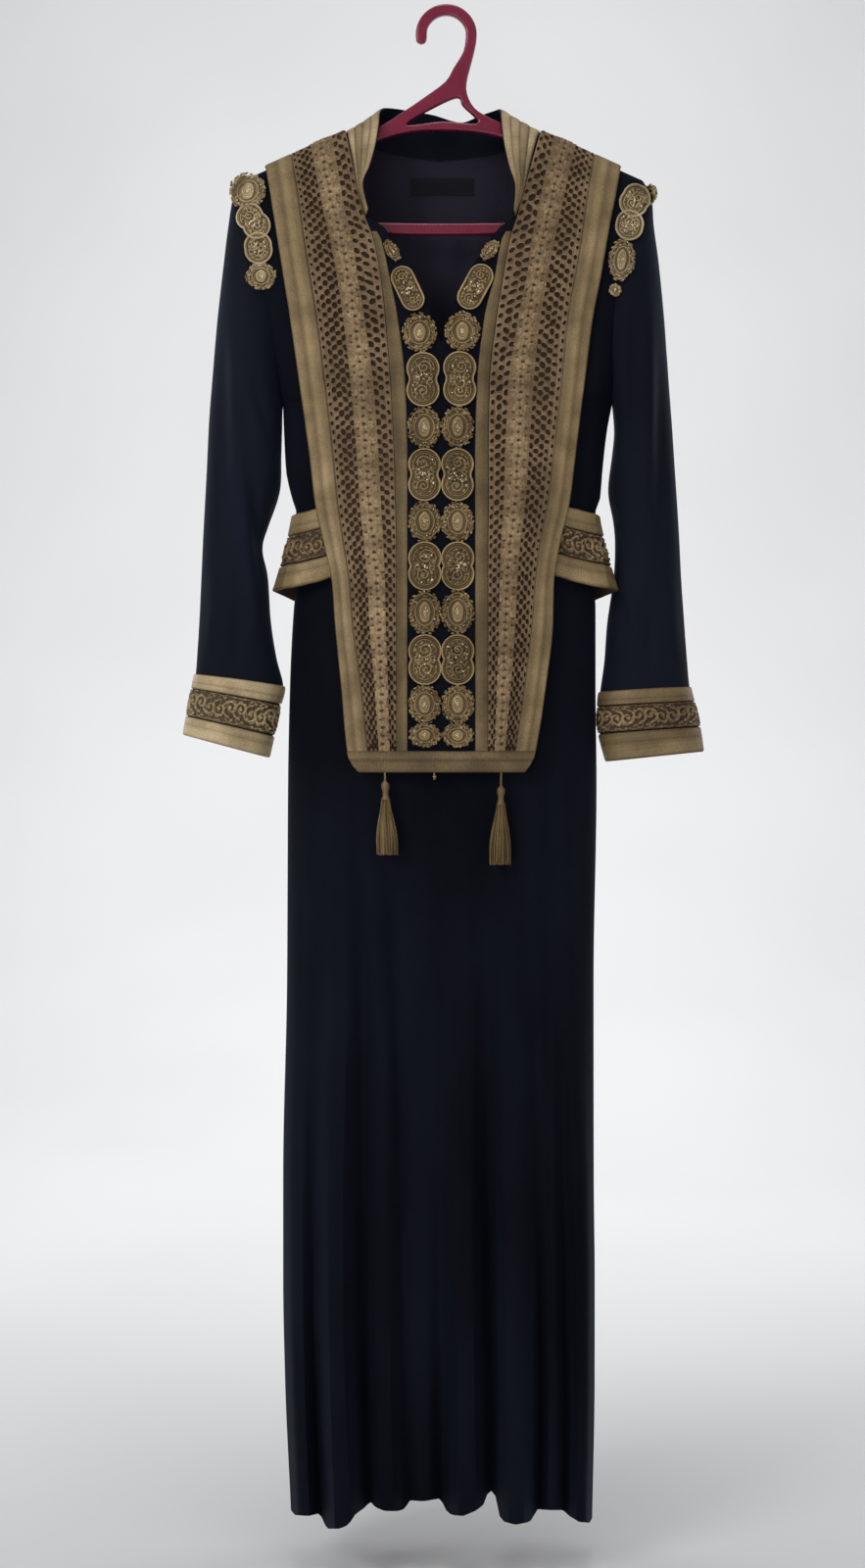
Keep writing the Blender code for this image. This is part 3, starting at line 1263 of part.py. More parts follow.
def moved_in(loop, distance):
    """A closed outline moved square to itself, to the right of its direction."""
    found = []
    count = len(loop)
    for k in range(count):
        before, here, after = Vector(loop[k - 1]), Vector(loop[k]), Vector(loop[(k + 1) % count])
        first = (here - before).normalized()
        second = (after - here).normalized()
        normal = Vector((first.y + second.y, -first.x - second.x)).normalized()
        stretch = max(normal.dot(Vector((first.y, -first.x))), 0.5)
        spot = here + normal * distance / stretch
        found.append((spot.x, spot.y))
    return found


def clockwise(loop):
    area = sum(a[0] * b[1] - b[0] * a[1] for a, b in zip(loop, loop[1:] + loop[:1]))
    return loop if area < 0 else loop[::-1]


def build_hanger(material):
    """A flat plate with chamfered edges, its outline and two openings."""
    loops = [clockwise(hanger_outline()), clockwise(list(HANGER_SMALL_HOLE))[::-1],
             clockwise(list(HANGER_LARGE_HOLE))[::-1]]
    points, faces = [], []
    starts = []
    levels = ((-HANGER_HALF, HANGER_CHAMFER), (-HANGER_HALF + HANGER_CHAMFER, 0.0),
              (HANGER_HALF - HANGER_CHAMFER, 0.0), (HANGER_HALF, HANGER_CHAMFER))
    for loop in loops:
        rings = []
        for y, inset in levels:
            start = len(points)
            shape = moved_in(loop, inset) if inset else loop
            points += [Vector((x, y, z)) for x, z in shape]
            rings.append(start)
        starts.append(rings)
        count = len(loop)
        for lower, upper in zip(rings, rings[1:]):
            for k in range(count):
                following = (k + 1) % count
                faces.append((lower + k, lower + following, upper + following, upper + k))
    for level, forward in ((0, False), (3, True)):
        flat, order = [], []
        for loop, rings in zip(loops, starts):
            indices = [rings[level] + k for k in range(len(loop))]
            order += indices
            flat.append([Vector((points[k].x, points[k].z, 0)) for k in indices])
        triangles = [[order[k] for k in triangle] for triangle in tessellate_polygon(flat)]
        turn = sum((points[b] - points[a]).cross(points[c] - points[a]).y for a, b, c in triangles)
        faces += [tuple(face if (turn > 0) == forward else face[::-1]) for face in triangles]
    make_object("hanger", points, faces, material)


def main():
    for thing in list(bpy.data.objects):
        bpy.data.objects.remove(thing, do_unlink=True)
    materials = {
        "velvet": make_material("velvet", (0.008, 0.010, 0.020), 0.9, 0.0),
        "gold": make_material("gold_braid", (0.42, 0.34, 0.18), 0.5, 0.4),
        "lace": make_material("gold_lace", (0.36, 0.26, 0.14), 0.6, 0.3),
        "beads": make_material("gold_beads", (0.45, 0.34, 0.16), 0.35, 0.6),
        "thread": make_material("gold_thread", (0.46, 0.36, 0.18), 0.6, 0.2),
        "label": make_material("woven_label", (0.01, 0.01, 0.012), 0.8, 0.0),
        "plastic": make_material("pink_plastic", (0.36, 0.02, 0.07), 0.4, 0.0),
    }
    build_hanger(materials["plastic"])
    front = build_panel(PANEL_FRONT, "dress_front", materials["velvet"])
    back = build_panel(PANEL_BACK, "dress_back", materials["velvet"])
    sleeves = {hand: build_sleeve(hand, materials["velvet"]) for hand in (LEFT, RIGHT)}
    for hand in (LEFT, RIGHT):
        build_cuff_trims(hand, sleeves[hand], materials)
    build_collar({FRONT: front, BACK: back}, materials)
    build_label(back, materials)
    plastron, count = build_plastron(tree_of(front), materials["velvet"])
    build_plastron_trims(plastron, count, materials)
    plastron_tree = tree_of(plastron)
    for hand, column in ((LEFT, MEDALLIONS_LEFT), (RIGHT, MEDALLIONS_RIGHT)):
        for k, medallion in enumerate(column):
            name = f"medallion_{HAND_NAMES[hand]}_{k:02d}"
            build_medallion(name, medallion, plastron_tree, materials["beads"], MEDALLION_GAP)
    body_tree = tree_of(front, sleeves[LEFT], sleeves[RIGHT])
    build_epaulette(LEFT, EPAULETTE_LEFT, body_tree, materials["beads"])
    build_epaulette(RIGHT, EPAULETTE_RIGHT, body_tree, materials["beads"])
    build_belt_trims(build_belt(materials), materials)
    border_y = plastron.at((count - 1, "in_lace", LEFT))[0].y + VELVET / 2
    for tassel in TASSELS:
        build_tassel(tassel, border_y, materials["thread"])
    build_stub(border_y, materials["thread"])


main()
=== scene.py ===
"""Looks of a long velvet kaftan with gold trims on a plastic clothes hanger.

Metres, +Z up, the front faces -Y. The origin is the inner top of the hanger's hook.
Every cloth lies on the form of its solid, with finer sampling, creases, braids, lace and beads added.
"""
import math
import random
from collections import namedtuple

import bpy
import numpy as np
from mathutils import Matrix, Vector
from mathutils.bvhtree import BVHTree
from mathutils.geometry import tessellate_polygon


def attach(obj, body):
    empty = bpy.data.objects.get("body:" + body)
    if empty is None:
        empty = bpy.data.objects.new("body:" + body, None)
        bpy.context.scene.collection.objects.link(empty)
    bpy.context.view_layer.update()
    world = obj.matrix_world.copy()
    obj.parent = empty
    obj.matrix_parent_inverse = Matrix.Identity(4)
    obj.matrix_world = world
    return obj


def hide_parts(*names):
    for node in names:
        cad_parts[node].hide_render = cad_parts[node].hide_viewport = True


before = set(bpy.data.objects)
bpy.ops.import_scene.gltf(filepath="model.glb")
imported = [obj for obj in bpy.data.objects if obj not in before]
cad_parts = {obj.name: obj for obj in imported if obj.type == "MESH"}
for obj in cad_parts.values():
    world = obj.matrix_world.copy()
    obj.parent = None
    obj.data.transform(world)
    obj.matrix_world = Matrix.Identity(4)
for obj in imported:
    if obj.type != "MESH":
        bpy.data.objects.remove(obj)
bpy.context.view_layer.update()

VELVET = 0.0018
SHARP_ANGLE = math.radians(40)
SEAM = 0.0003
EASE = 0.0016
SHOULDER_EASE = 0.0006
LEFT, RIGHT = -1, 1
FRONT, BACK = -1, 1

# Sizes of the body. The tables go from the top down, and heights are below the hook.
HEM = -1.508
TIP = -0.170
UNDERARM = -0.396
NECK_POINT = -0.121
FOLDS_BEGIN = -0.60

Side = namedtuple("Side", "z left right")
SIDES = (
    Side(UNDERARM, -0.1655, 0.1705),
    Side(-0.424, -0.1645, 0.1650),
    Side(-0.464, -0.1625, 0.1605),
    Side(-0.494, -0.1560, 0.1580),
    Side(-0.510, -0.1515, 0.1525),
    Side(-0.580, -0.1515, 0.1520),
    Side(-0.604, -0.1545, 0.1535),
    Side(-0.684, -0.1585, 0.1535),
    Side(-0.784, -0.1605, 0.1545),
    Side(-0.984, -0.1615, 0.1515),
    Side(-1.184, -0.1655, 0.1515),
    Side(-1.284, -0.1655, 0.1525),
    Side(-1.384, -0.1635, 0.1525),
    Side(HEM, -0.1575, 0.1500),
)
NECKLINE_FRONT = (
    Side(NECK_POINT, -0.1000, 0.0955),
    Side(-0.1245, -0.0995, 0.0945),
    Side(-0.139, -0.0965, 0.0900),
    Side(-0.210, -0.0795, 0.0700),
    Side(-0.222, -0.0620, 0.0550),
    Side(-0.245, -0.0490, 0.0385),
    Side(-0.268, -0.0350, 0.0230),
    Side(-0.290, -0.0240, 0.0130),
    Side(-0.319, -0.0095, 0.0010),
    Side(-0.3395, -0.0040, -0.0040),
)
NECKLINE_BACK = (
    Side(NECK_POINT, -0.1000, 0.0955),
    Side(-0.1265, -0.0780, 0.0760),
    Side(-0.134, -0.0450, 0.0430),
    Side(-0.139, -0.0025, -0.0025),
)
Depth = namedtuple("Depth", "z front back round")
DEPTHS = (
    Depth(NECK_POINT, 0.012, 0.020, 0.026),
    Depth(-0.139, 0.016, 0.034, 0.030),
    Depth(-0.170, 0.020, 0.036, 0.032),
    Depth(-0.210, 0.024, 0.037, 0.035),
    Depth(-0.250, 0.028, 0.037, 0.040),
    Depth(-0.330, 0.034, 0.037, 0.060),
    Depth(-0.400, 0.037, 0.037, 0.090),
    Depth(-0.500, 0.036, 0.037, 0.100),
    Depth(-0.600, 0.038, 0.038, 0.100),
    Depth(-0.800, 0.040, 0.042, 0.090),
    Depth(-1.100, 0.036, 0.040, 0.075),
    Depth(HEM, 0.026, 0.030, 0.060),
)

# Folds of the skirt, left to right. An edge is the valley at a fold's right side, as a part of the width.
# Drop is how far the fold's middle hangs below its valleys, and valley how far its right edge is below HEM.
Fold = namedtuple("Fold", "edge_top edge_hem out begin drop valley")
FOLDS_FRONT = (
    Fold(0.100, 0.105, 0.024, -0.80, -0.0070, 0.0135),
    Fold(0.250, 0.258, 0.050, -0.76, 0.0030, 0.0015),
    Fold(0.350, 0.387, 0.028, -0.84, 0.0005, 0.0010),
    Fold(0.507, 0.502, 0.013, -1.10, -0.0034, -0.0030),
    Fold(0.640, 0.663, 0.040, -0.92, 0.0078, -0.0100),
    Fold(0.780, 0.815, 0.048, -0.80, 0.0098, 0.0055),
    Fold(0.880, 0.905, 0.020, -0.88, -0.0048, 0.0118),
    Fold(1.000, 1.000, 0.034, -0.90, -0.0050, 0.0225),
)
FOLDS_BACK = (
    Fold(0.140, 0.120, 0.030, -0.85, -0.0070, 0.0060),
    Fold(0.290, 0.270, 0.036, -0.78, 0.0030, 0.0010),
    Fold(0.430, 0.400, 0.022, -1.00, 0.0000, 0.0000),
    Fold(0.560, 0.560, 0.038, -0.74, 0.0040, -0.0030),
    Fold(0.700, 0.720, 0.028, -0.90, 0.0000, 0.0000),
    Fold(0.850, 0.860, 0.034, -0.82, 0.0030, 0.0070),
    Fold(1.000, 1.000, 0.026, -0.88, -0.0050, 0.0225),
)
# How far the hem hangs below HEM at the left side seam, and where the valleys begin to sag.
LEFT_SAG = 0.0165
SAG_BEGINS = -1.10
# A fold rises over this part of its width, and grows down the skirt with this power. Its drop rises faster.
RISE = 0.38
DROP_RISE = 0.26
GROWTH_POWER = 1.3
# The centre heights are where the first rows of a panel cross its neckline or its middle.
Panel = namedtuple("Panel", "side folds neckline depth centre_column centre_heights")
PANEL_FRONT = Panel(FRONT, FOLDS_FRONT, NECKLINE_FRONT, "front", 4.0,
                    (-0.121, -0.1245, -0.139, -0.210, -0.245, -0.290, -0.3395))
PANEL_BACK = Panel(BACK, FOLDS_BACK, NECKLINE_BACK, "back", 3.5,
                   (-0.121, -0.1265, -0.134, -0.139, -0.190, -0.250, -0.320, -0.372))

# Angles of the rows between the shoulder's tip and the underarm, in degrees of the armhole's half circle.
RING_ANGLES = (0, 12, 30, 55, 76, 98, 120, 146, 166, 180)


# Rings of each sleeve, from the armhole down. Outer and inner are the ring's ends seen from the front.
Ring = namedtuple("Ring", "outer_x outer_z inner_x inner_z half_depth bow middle")
SLEEVE_LEFT = (
    Ring(-0.2075, TIP, -0.1655, UNDERARM, 0.028, 0.002, 0.000),
    Ring(-0.2160, -0.184, -0.1662, -0.407, 0.031, 0.001, 0.000),
    Ring(-0.2215, -0.216, -0.1665, -0.419, 0.034, 0.000, 0.001),
    Ring(-0.2265, -0.256, -0.1669, -0.431, 0.036, 0.000, 0.002),
    Ring(-0.2340, -0.322, -0.1676, -0.450, 0.037, 0.000, 0.004),
    Ring(-0.2410, -0.404, -0.1690, -0.484, 0.034, 0.000, 0.005),
    Ring(-0.2440, -0.464, -0.1795, -0.521, 0.031, 0.000, 0.006),
    Ring(-0.2475, -0.529, -0.1845, -0.544, 0.029, 0.000, 0.006),
    Ring(-0.2495, -0.574, -0.1810, -0.572, 0.028, 0.000, 0.006),
    Ring(-0.2515, -0.619, -0.1785, -0.616, 0.028, 0.000, 0.005),
    Ring(-0.2535, -0.652, -0.1725, -0.655, 0.028, 0.000, 0.004),
    Ring(-0.2550, -0.672, -0.1655, -0.684, 0.029, 0.000, 0.003),
    Ring(-0.2583, -0.690, -0.1702, -0.706, 0.029, 0.000, 0.003),
    Ring(-0.2628, -0.714, -0.1760, -0.734, 0.029, 0.000, 0.002),
    Ring(-0.2662, -0.734, -0.1812, -0.757, 0.028, 0.000, 0.002),
)
SLEEVE_RIGHT = (
    Ring(0.2025, TIP, 0.1705, UNDERARM, 0.028, -0.013, 0.000),
    Ring(0.2105, -0.186, 0.1715, -0.407, 0.031, -0.010, 0.000),
    Ring(0.2130, -0.216, 0.1725, -0.419, 0.034, -0.006, 0.001),
    Ring(0.2185, -0.256, 0.1725, -0.431, 0.036, -0.003, 0.003),
    Ring(0.2250, -0.322, 0.1705, -0.450, 0.037, 0.000, 0.006),
    Ring(0.2315, -0.404, 0.1670, -0.484, 0.034, 0.000, 0.009),
    Ring(0.2355, -0.464, 0.1715, -0.514, 0.031, 0.000, 0.010),
    Ring(0.2395, -0.524, 0.1735, -0.540, 0.029, 0.000, 0.011),
    Ring(0.2420, -0.574, 0.1725, -0.574, 0.028, 0.000, 0.011),
    Ring(0.2450, -0.619, 0.1660, -0.620, 0.028, 0.000, 0.010),
    Ring(0.2475, -0.656, 0.1630, -0.658, 0.028, 0.000, 0.008),
    Ring(0.2500, -0.685, 0.1585, -0.690, 0.029, 0.000, 0.006),
    Ring(0.2541, -0.703, 0.1570, -0.708, 0.029, 0.000, 0.005),
    Ring(0.2590, -0.725, 0.1580, -0.732, 0.029, 0.000, 0.004),
    Ring(0.2625, -0.751, 0.1655, -0.761, 0.028, 0.000, 0.003),
)
SLEEVES = {LEFT: SLEEVE_LEFT, RIGHT: SLEEVE_RIGHT}
HAND_NAMES = {LEFT: "left", RIGHT: "right"}

# Lines that run down the plastron: its edge, then where the outer braid, the lace and the inner braid end.
Track = namedtuple("Track", "z edge braid lace strip")
TRACKS_LEFT = (
    Track(-0.121, -0.1880, -0.1595, -0.1010, -0.0780),
    Track(-0.160, -0.1820, -0.1535, -0.0930, -0.0780),
    Track(-0.187, -0.1770, -0.1490, -0.0872, -0.0780),
    Track(-0.205, -0.1742, -0.1465, -0.0828, -0.0780),
    Track(-0.212, -0.1730, -0.1455, -0.0808, -0.0780),
    Track(-0.234, -0.1695, -0.1425, -0.0725, -0.0650),
    Track(-0.274, -0.1630, -0.1360, -0.0650, -0.0558),
    Track(-0.314, -0.1565, -0.1295, -0.0605, -0.0480),
    Track(-0.384, -0.1465, -0.1205, -0.0550, -0.0400),
    Track(-0.464, -0.1355, -0.1115, -0.0510, -0.0378),
    Track(-0.504, -0.1305, -0.1075, -0.0500, -0.0378),
    Track(-0.544, -0.1215, -0.1015, -0.0490, -0.0378),
    Track(-0.584, -0.1135, -0.0955, -0.0490, -0.0378),
    Track(-0.624, -0.1105, -0.0925, -0.0490, -0.0378),
    Track(-0.684, -0.1045, -0.0845, -0.0490, -0.0378),
    Track(-0.749, -0.0985, -0.0775, -0.0490, -0.0378),
    Track(-0.761, -0.0955, -0.0755, -0.0490, -0.0378),
    Track(-0.773, -0.0860, -0.0720, -0.0490, -0.0378),
)
TRACKS_RIGHT = (
    Track(-0.121, 0.1835, 0.1555, 0.0968, 0.0700),
    Track(-0.160, 0.1775, 0.1485, 0.0860, 0.0700),
    Track(-0.187, 0.1725, 0.1440, 0.0785, 0.0700),
    Track(-0.205, 0.1690, 0.1415, 0.0738, 0.0700),
    Track(-0.212, 0.1675, 0.1405, 0.0722, 0.0700),
    Track(-0.234, 0.1635, 0.1375, 0.0650, 0.0570),
    Track(-0.274, 0.1565, 0.1305, 0.0580, 0.0492),
    Track(-0.314, 0.1485, 0.1235, 0.0515, 0.0392),
    Track(-0.384, 0.1395, 0.1165, 0.0440, 0.0315),
    Track(-0.464, 0.1295, 0.1075, 0.0430, 0.0295),
    Track(-0.504, 0.1240, 0.1025, 0.0430, 0.0295),
    Track(-0.544, 0.1145, 0.0945, 0.0425, 0.0295),
    Track(-0.584, 0.1085, 0.0895, 0.0425, 0.0295),
    Track(-0.624, 0.1075, 0.0865, 0.0425, 0.0295),
    Track(-0.684, 0.1005, 0.0795, 0.0425, 0.0295),
    Track(-0.749, 0.0905, 0.0700, 0.0425, 0.0295),
    Track(-0.761, 0.0870, 0.0680, 0.0425, 0.0295),
    Track(-0.772, 0.0790, 0.0660, 0.0425, 0.0295),
)
TRACKS = {LEFT: TRACKS_LEFT, RIGHT: TRACKS_RIGHT}
RIM_DEPTH = 0.0031
RIM_LIFT = 0.0030
PLASTRON_FLAT = -0.2135
PLASTRON_TOP = -0.1535
PLASTRON_NECK_ROWS = (PLASTRON_FLAT, -0.222, -0.245, -0.268, -0.290, -0.319)
PLASTRON_ROWS = (-0.3395, -0.375, -0.410, -0.450, -0.490, -0.530, -0.570, -0.610, -0.655, -0.705, -0.749,
                 -0.761, -0.7725)
PLASTRON_OVER_BELT = 0.0092
OVER_BELT_BEGINS = 0.055
OVER_BELT_BLEND = 0.05
SHOULDER_BLEND = 0.03
NECK_CLEAR = 0.0012
BELT_TOP = -0.497

# Centre, width, height and tilt in degrees of the medallions of each column, from the neckline down.
Medallion = namedtuple("Medallion", "x z width height tilt double")
MEDALLIONS_LEFT = (
    Medallion(-0.0536, -0.2475, 0.0108, 0.0240, 32, False),
    Medallion(-0.0379, -0.2862, 0.0224, 0.0470, 25, True),
    Medallion(-0.0260, -0.3310, 0.0330, 0.0380, 0, False),
    Medallion(-0.0225, -0.3785, 0.0320, 0.0540, 0, True),
    Medallion(-0.0212, -0.4268, 0.0320, 0.0412, 0, False),
    Medallion(-0.0210, -0.4747, 0.0315, 0.0530, 0, True),
    Medallion(-0.0208, -0.5220, 0.0310, 0.0396, 0, False),
    Medallion(-0.0206, -0.5665, 0.0320, 0.0480, 0, True),
    Medallion(-0.0206, -0.6128, 0.0310, 0.0430, 0, False),
    Medallion(-0.0205, -0.6600, 0.0320, 0.0496, 0, True),
    Medallion(-0.0207, -0.7045, 0.0310, 0.0380, 0, False),
    Medallion(-0.0207, -0.7355, 0.0310, 0.0225, 0, False),
)
MEDALLIONS_RIGHT = (
    Medallion(0.0448, -0.2470, 0.0120, 0.0240, -37, False),
    Medallion(0.0300, -0.2845, 0.0240, 0.0485, -28, True),
    Medallion(0.0170, -0.3300, 0.0340, 0.0380, 0, False),
    Medallion(0.0143, -0.3778, 0.0320, 0.0545, 0, True),
    Medallion(0.0123, -0.4262, 0.0310, 0.0412, 0, False),
    Medallion(0.0120, -0.4747, 0.0315, 0.0530, 0, True),
    Medallion(0.0120, -0.5222, 0.0310, 0.0396, 0, False),
    Medallion(0.0122, -0.5665, 0.0320, 0.0480, 0, True),
    Medallion(0.0122, -0.6128, 0.0310, 0.0430, 0, False),
    Medallion(0.0122, -0.6600, 0.0320, 0.0496, 0, True),
    Medallion(0.0122, -0.7045, 0.0310, 0.0380, 0, False),
    Medallion(0.0122, -0.7355, 0.0310, 0.0225, 0, False),
)


# Upper edge of the stand collar, from its left front end round the back to its right front end.
# The base is read off the necklines: side, and how far along the neckline from the neck point.
Stand = namedtuple("Stand", "side hand along x y z")
COLLAR = (
    Stand(FRONT, LEFT, 1.00, -0.0775, -0.036, -0.2070),
    Stand(FRONT, LEFT, 0.72, -0.0825, -0.045, -0.1830),
    Stand(FRONT, LEFT, 0.45, -0.0758, -0.041, -0.1640),
    Stand(FRONT, LEFT, 0.20, -0.0705, -0.030, -0.1400),
    Stand(FRONT, LEFT, 0.04, -0.0675, -0.015, -0.1155),
    Stand(BACK, LEFT, 0.00, -0.0660, 0.004, -0.0960),
    Stand(BACK, LEFT, 0.24, -0.0560, 0.022, -0.0880),
    Stand(BACK, LEFT, 0.56, -0.0330, 0.033, -0.0885),
    Stand(BACK, LEFT, 0.80, -0.0120, 0.037, -0.0910),
    Stand(BACK, RIGHT, 1.00, 0.0080, 0.038, -0.0970),
    Stand(BACK, RIGHT, 0.80, 0.0200, 0.037, -0.0985),
    Stand(BACK, RIGHT, 0.56, 0.0360, 0.033, -0.0930),
    Stand(BACK, RIGHT, 0.24, 0.0510, 0.022, -0.0905),
    Stand(BACK, RIGHT, 0.00, 0.0565, 0.004, -0.0955),
    Stand(FRONT, RIGHT, 0.04, 0.0568, -0.013, -0.1095),
    Stand(FRONT, RIGHT, 0.20, 0.0590, -0.029, -0.1370),
    Stand(FRONT, RIGHT, 0.45, 0.0637, -0.041, -0.1640),
    Stand(FRONT, RIGHT, 0.72, 0.0695, -0.045, -0.1850),
    Stand(FRONT, RIGHT, 1.00, 0.0685, -0.036, -0.2080),
)


# The label inside the back: left, right, top and bottom.
LABEL = (-0.0350, 0.0295, -0.1570, -0.1745)

# The belt: how far it stands off the body below, along the width of its front and its back.
Station = namedtuple("Station", "at flare drop")
BELT_FRONT = (
    Station(0.00, 0.0195, 0.013), Station(0.035, 0.0140, 0.012), Station(0.08, 0.0060, 0.009),
    Station(0.14, 0.0022, 0.005), Station(0.25, 0.0018, 0.002), Station(0.38, 0.0018, 0.000),
    Station(0.50, 0.0018, 0.000), Station(0.62, 0.0018, 0.000), Station(0.75, 0.0018, 0.002),
    Station(0.86, 0.0022, 0.005), Station(0.92, 0.0060, 0.009), Station(0.965, 0.0140, 0.012),
    Station(1.00, 0.0195, 0.013),
)
BELT_BACK = (
    Station(0.00, 0.0195, 0.013), Station(0.05, 0.0160, 0.020), Station(0.12, 0.0130, 0.028),
    Station(0.25, 0.0130, 0.032), Station(0.42, 0.0140, 0.034), Station(0.58, 0.0140, 0.034),
    Station(0.75, 0.0130, 0.032), Station(0.88, 0.0110, 0.028), Station(0.95, 0.0120, 0.020),
    Station(1.00, 0.0195, 0.013),
)
BELT_HEIGHT = 0.071
BELT_FORWARD = 0.005
FORWARD_FROM = 0.75
FLARE_POWER = 1.2


HANGER_HALF = 0.0042
HOOK_CENTRE = (0.0010, -0.0200)
HOOK_OUTER = 0.0312
HOOK_INNER = 0.0200


def lerp(a, b, t):
    return a + (b - a) * t


def smooth_step(t):
    t = min(max(t, 0.0), 1.0)
    return t * t * (3 - 2 * t)


def quarter(t):
    """Rise of a quarter circle from 0 to 1."""
    t = min(max(t, 0.0), 1.0)
    return math.sqrt(1 - (1 - t) ** 2)


def read(table, z, column):
    """A named column at height z, on a smooth curve through the table's rows."""
    heights = [row.z for row in table]
    values = [getattr(row, column) for row in table]
    if z >= heights[0]:
        return values[0]
    if z <= heights[-1]:
        return values[-1]
    last = len(heights) - 2
    i = next(k for k in range(last + 1) if z >= heights[k + 1])

    def secant(k):
        return (values[k + 1] - values[k]) / (heights[k + 1] - heights[k])

    def slope(k):
        if k == 0 or k == last + 1:
            return secant(min(k, last))
        before, after = secant(k - 1), secant(k)
        if before * after <= 0:
            return 0.0
        return 2 * before * after / (before + after)

    step = heights[i + 1] - heights[i]
    t = (z - heights[i]) / step
    rise = (1 - t) ** 2 * (1 + 2 * t) * values[i] + t * t * (3 - 2 * t) * values[i + 1]
    return rise + step * (t * (1 - t) ** 2 * slope(i) - t * t * (1 - t) * slope(i + 1))


def ring_point(ring, angle):
    """A point of a sleeve ring. Angle 0 is its outer end and pi its inner end, past the front side."""
    along, across = math.cos(angle), math.sin(angle)
    x = (ring.outer_x + ring.inner_x) / 2 + along * (ring.outer_x - ring.inner_x) / 2
    z = (ring.outer_z + ring.inner_z) / 2 + along * (ring.outer_z - ring.inner_z) / 2
    return Vector((x + ring.bow * across ** 2, ring.middle - across * ring.half_depth, z))


def shoulder_ends(hand):
    """Distance from the middle line of the shoulder's tip and of the neck point."""
    tip = abs(SLEEVES[hand][0].outer_x)
    neck = abs(getattr(NECKLINE_FRONT[0], HAND_NAMES[hand]))
    return tip, neck


def shoulder_slope(hand):
    tip, neck = shoulder_ends(hand)
    return (NECK_POINT - TIP) / (tip - neck)


def below_shoulder(hand, x, z):
    """Distance from a shoulder line, square to it."""
    _, neck = shoulder_ends(hand)
    slope = shoulder_slope(hand)
    line = NECK_POINT + (neck - hand * x) * slope
    return (line - z) * math.cos(math.atan(slope))


def shoulder_inward(hand):
    slope = shoulder_slope(hand)
    return Vector((-hand * slope, 0, -1)).normalized()


def fold_place(folds, column, z):
    """Where a column lies across the panel, 0 to 1. Column 2.3 is 0.3 of the way over the third fold."""
    sway = smooth_step((FOLDS_BEGIN - z) / (FOLDS_BEGIN - HEM))
    edges = [0.0] + [lerp(fold.edge_top, fold.edge_hem, sway) for fold in folds]
    k = min(int(column), len(folds) - 1)
    return lerp(edges[k], edges[k + 1], column - k)


def fold_lift(folds, column, z):
    """How far a fold stands out, and how far it hangs lower, at a column."""
    k = min(int(column), len(folds) - 1)
    t = column - k
    fold = folds[k]
    growth = max(0.0, (fold.begin - z) / (fold.begin - HEM)) ** GROWTH_POWER
    out = fold.out * growth * smooth_step(min(t, 1 - t) / RISE)
    before = folds[k - 1].valley if k else LEFT_SAG
    sag = max(0.0, (SAG_BEGINS - z) / (SAG_BEGINS - HEM)) ** 2
    drop = fold.drop * growth ** 2 * smooth_step(min(t, 1 - t) / DROP_RISE)
    return out, drop + sag * lerp(before, fold.valley, t)


def side_point(hand, edge_z):
    """Where a panel ends at a height: on the armhole, or on the side seam below it."""
    if edge_z < UNDERARM:
        return read(SIDES, edge_z, HAND_NAMES[hand]), 0.0
    middle, half = (TIP + UNDERARM) / 2, (TIP - UNDERARM) / 2
    angle = math.acos(min(max((edge_z - middle) / half, -1), 1))
    point = ring_point(SLEEVES[hand][0], angle)
    return point.x, abs(point.y)


def body_point(panel, edge_z, centre_z, column, hand):
    """A point on the outer face of the front or the back. Hand says which half an open neckline row is on."""
    left, left_depth = side_point(LEFT, edge_z)
    right, right_depth = side_point(RIGHT, edge_z)
    place = fold_place(panel.folds, column, edge_z)
    centre = fold_place(panel.folds, panel.centre_column, edge_z)
    if centre_z > panel.neckline[-1].z + 1e-6:
        middles = {h: read(panel.neckline, centre_z, HAND_NAMES[h]) for h in (LEFT, RIGHT)}
    else:
        middles = dict.fromkeys((LEFT, RIGHT), lerp(left, right, centre))
    if hand == LEFT:
        share = place / centre
        x = lerp(left, middles[LEFT], share)
    else:
        share = (1 - place) / (1 - centre)
        x = lerp(right, middles[RIGHT], share)
    z = lerp(edge_z, centre_z, share)
    inside = min(x - left, right - x, below_shoulder(LEFT, x, z), below_shoulder(RIGHT, x, z))
    edge = left_depth if hand == LEFT else right_depth
    bulge = quarter(inside / read(DEPTHS, z, "round"))
    lift, drop = fold_lift(panel.folds, column, z)
    depth = lerp(edge, read(DEPTHS, z, panel.depth), bulge) + lift
    return Vector((x, panel.side * max(depth, SEAM / 2), z - drop))


def drop_on(tree, x, z, start_y=-0.5, direction=1):
    """The point and outward normal that a sheet has behind a place of the front view, or None."""
    hit, normal, _, _ = tree.ray_cast(Vector((x, start_y, z)), Vector((0, direction, 0)))
    if hit is None:
        return None
    if normal.y * direction > 0:
        normal = -normal
    return hit, normal


def shoulder_height(hand, x):
    _, neck = shoulder_ends(hand)
    return NECK_POINT + (neck - hand * x) * shoulder_slope(hand)


def plastron_lift(z):
    """How far the plastron's outer face is off the front, and how much more where it passes the belt."""
    near = EASE + VELVET + SHOULDER_EASE * smooth_step((z - PLASTRON_FLAT) / SHOULDER_BLEND)
    return near, PLASTRON_OVER_BELT * smooth_step((BELT_TOP + OVER_BELT_BEGINS - z) / OVER_BELT_BLEND)


def plastron_lines(hand):
    """Columns of the upper rows and of the neckline rows, outside first, as functions of the height."""
    table = TRACKS[hand]

    def at(column):
        return lambda z: read(table, z, column)

    def between(a, b):
        return lambda z: (read(table, z, a) + read(table, z, b)) / 2

    return [("edge", at("edge")), ("braid", at("braid")), ("in_lace", between("braid", "lace")),
            ("lace", at("lace")), ("strip", at("strip"))]


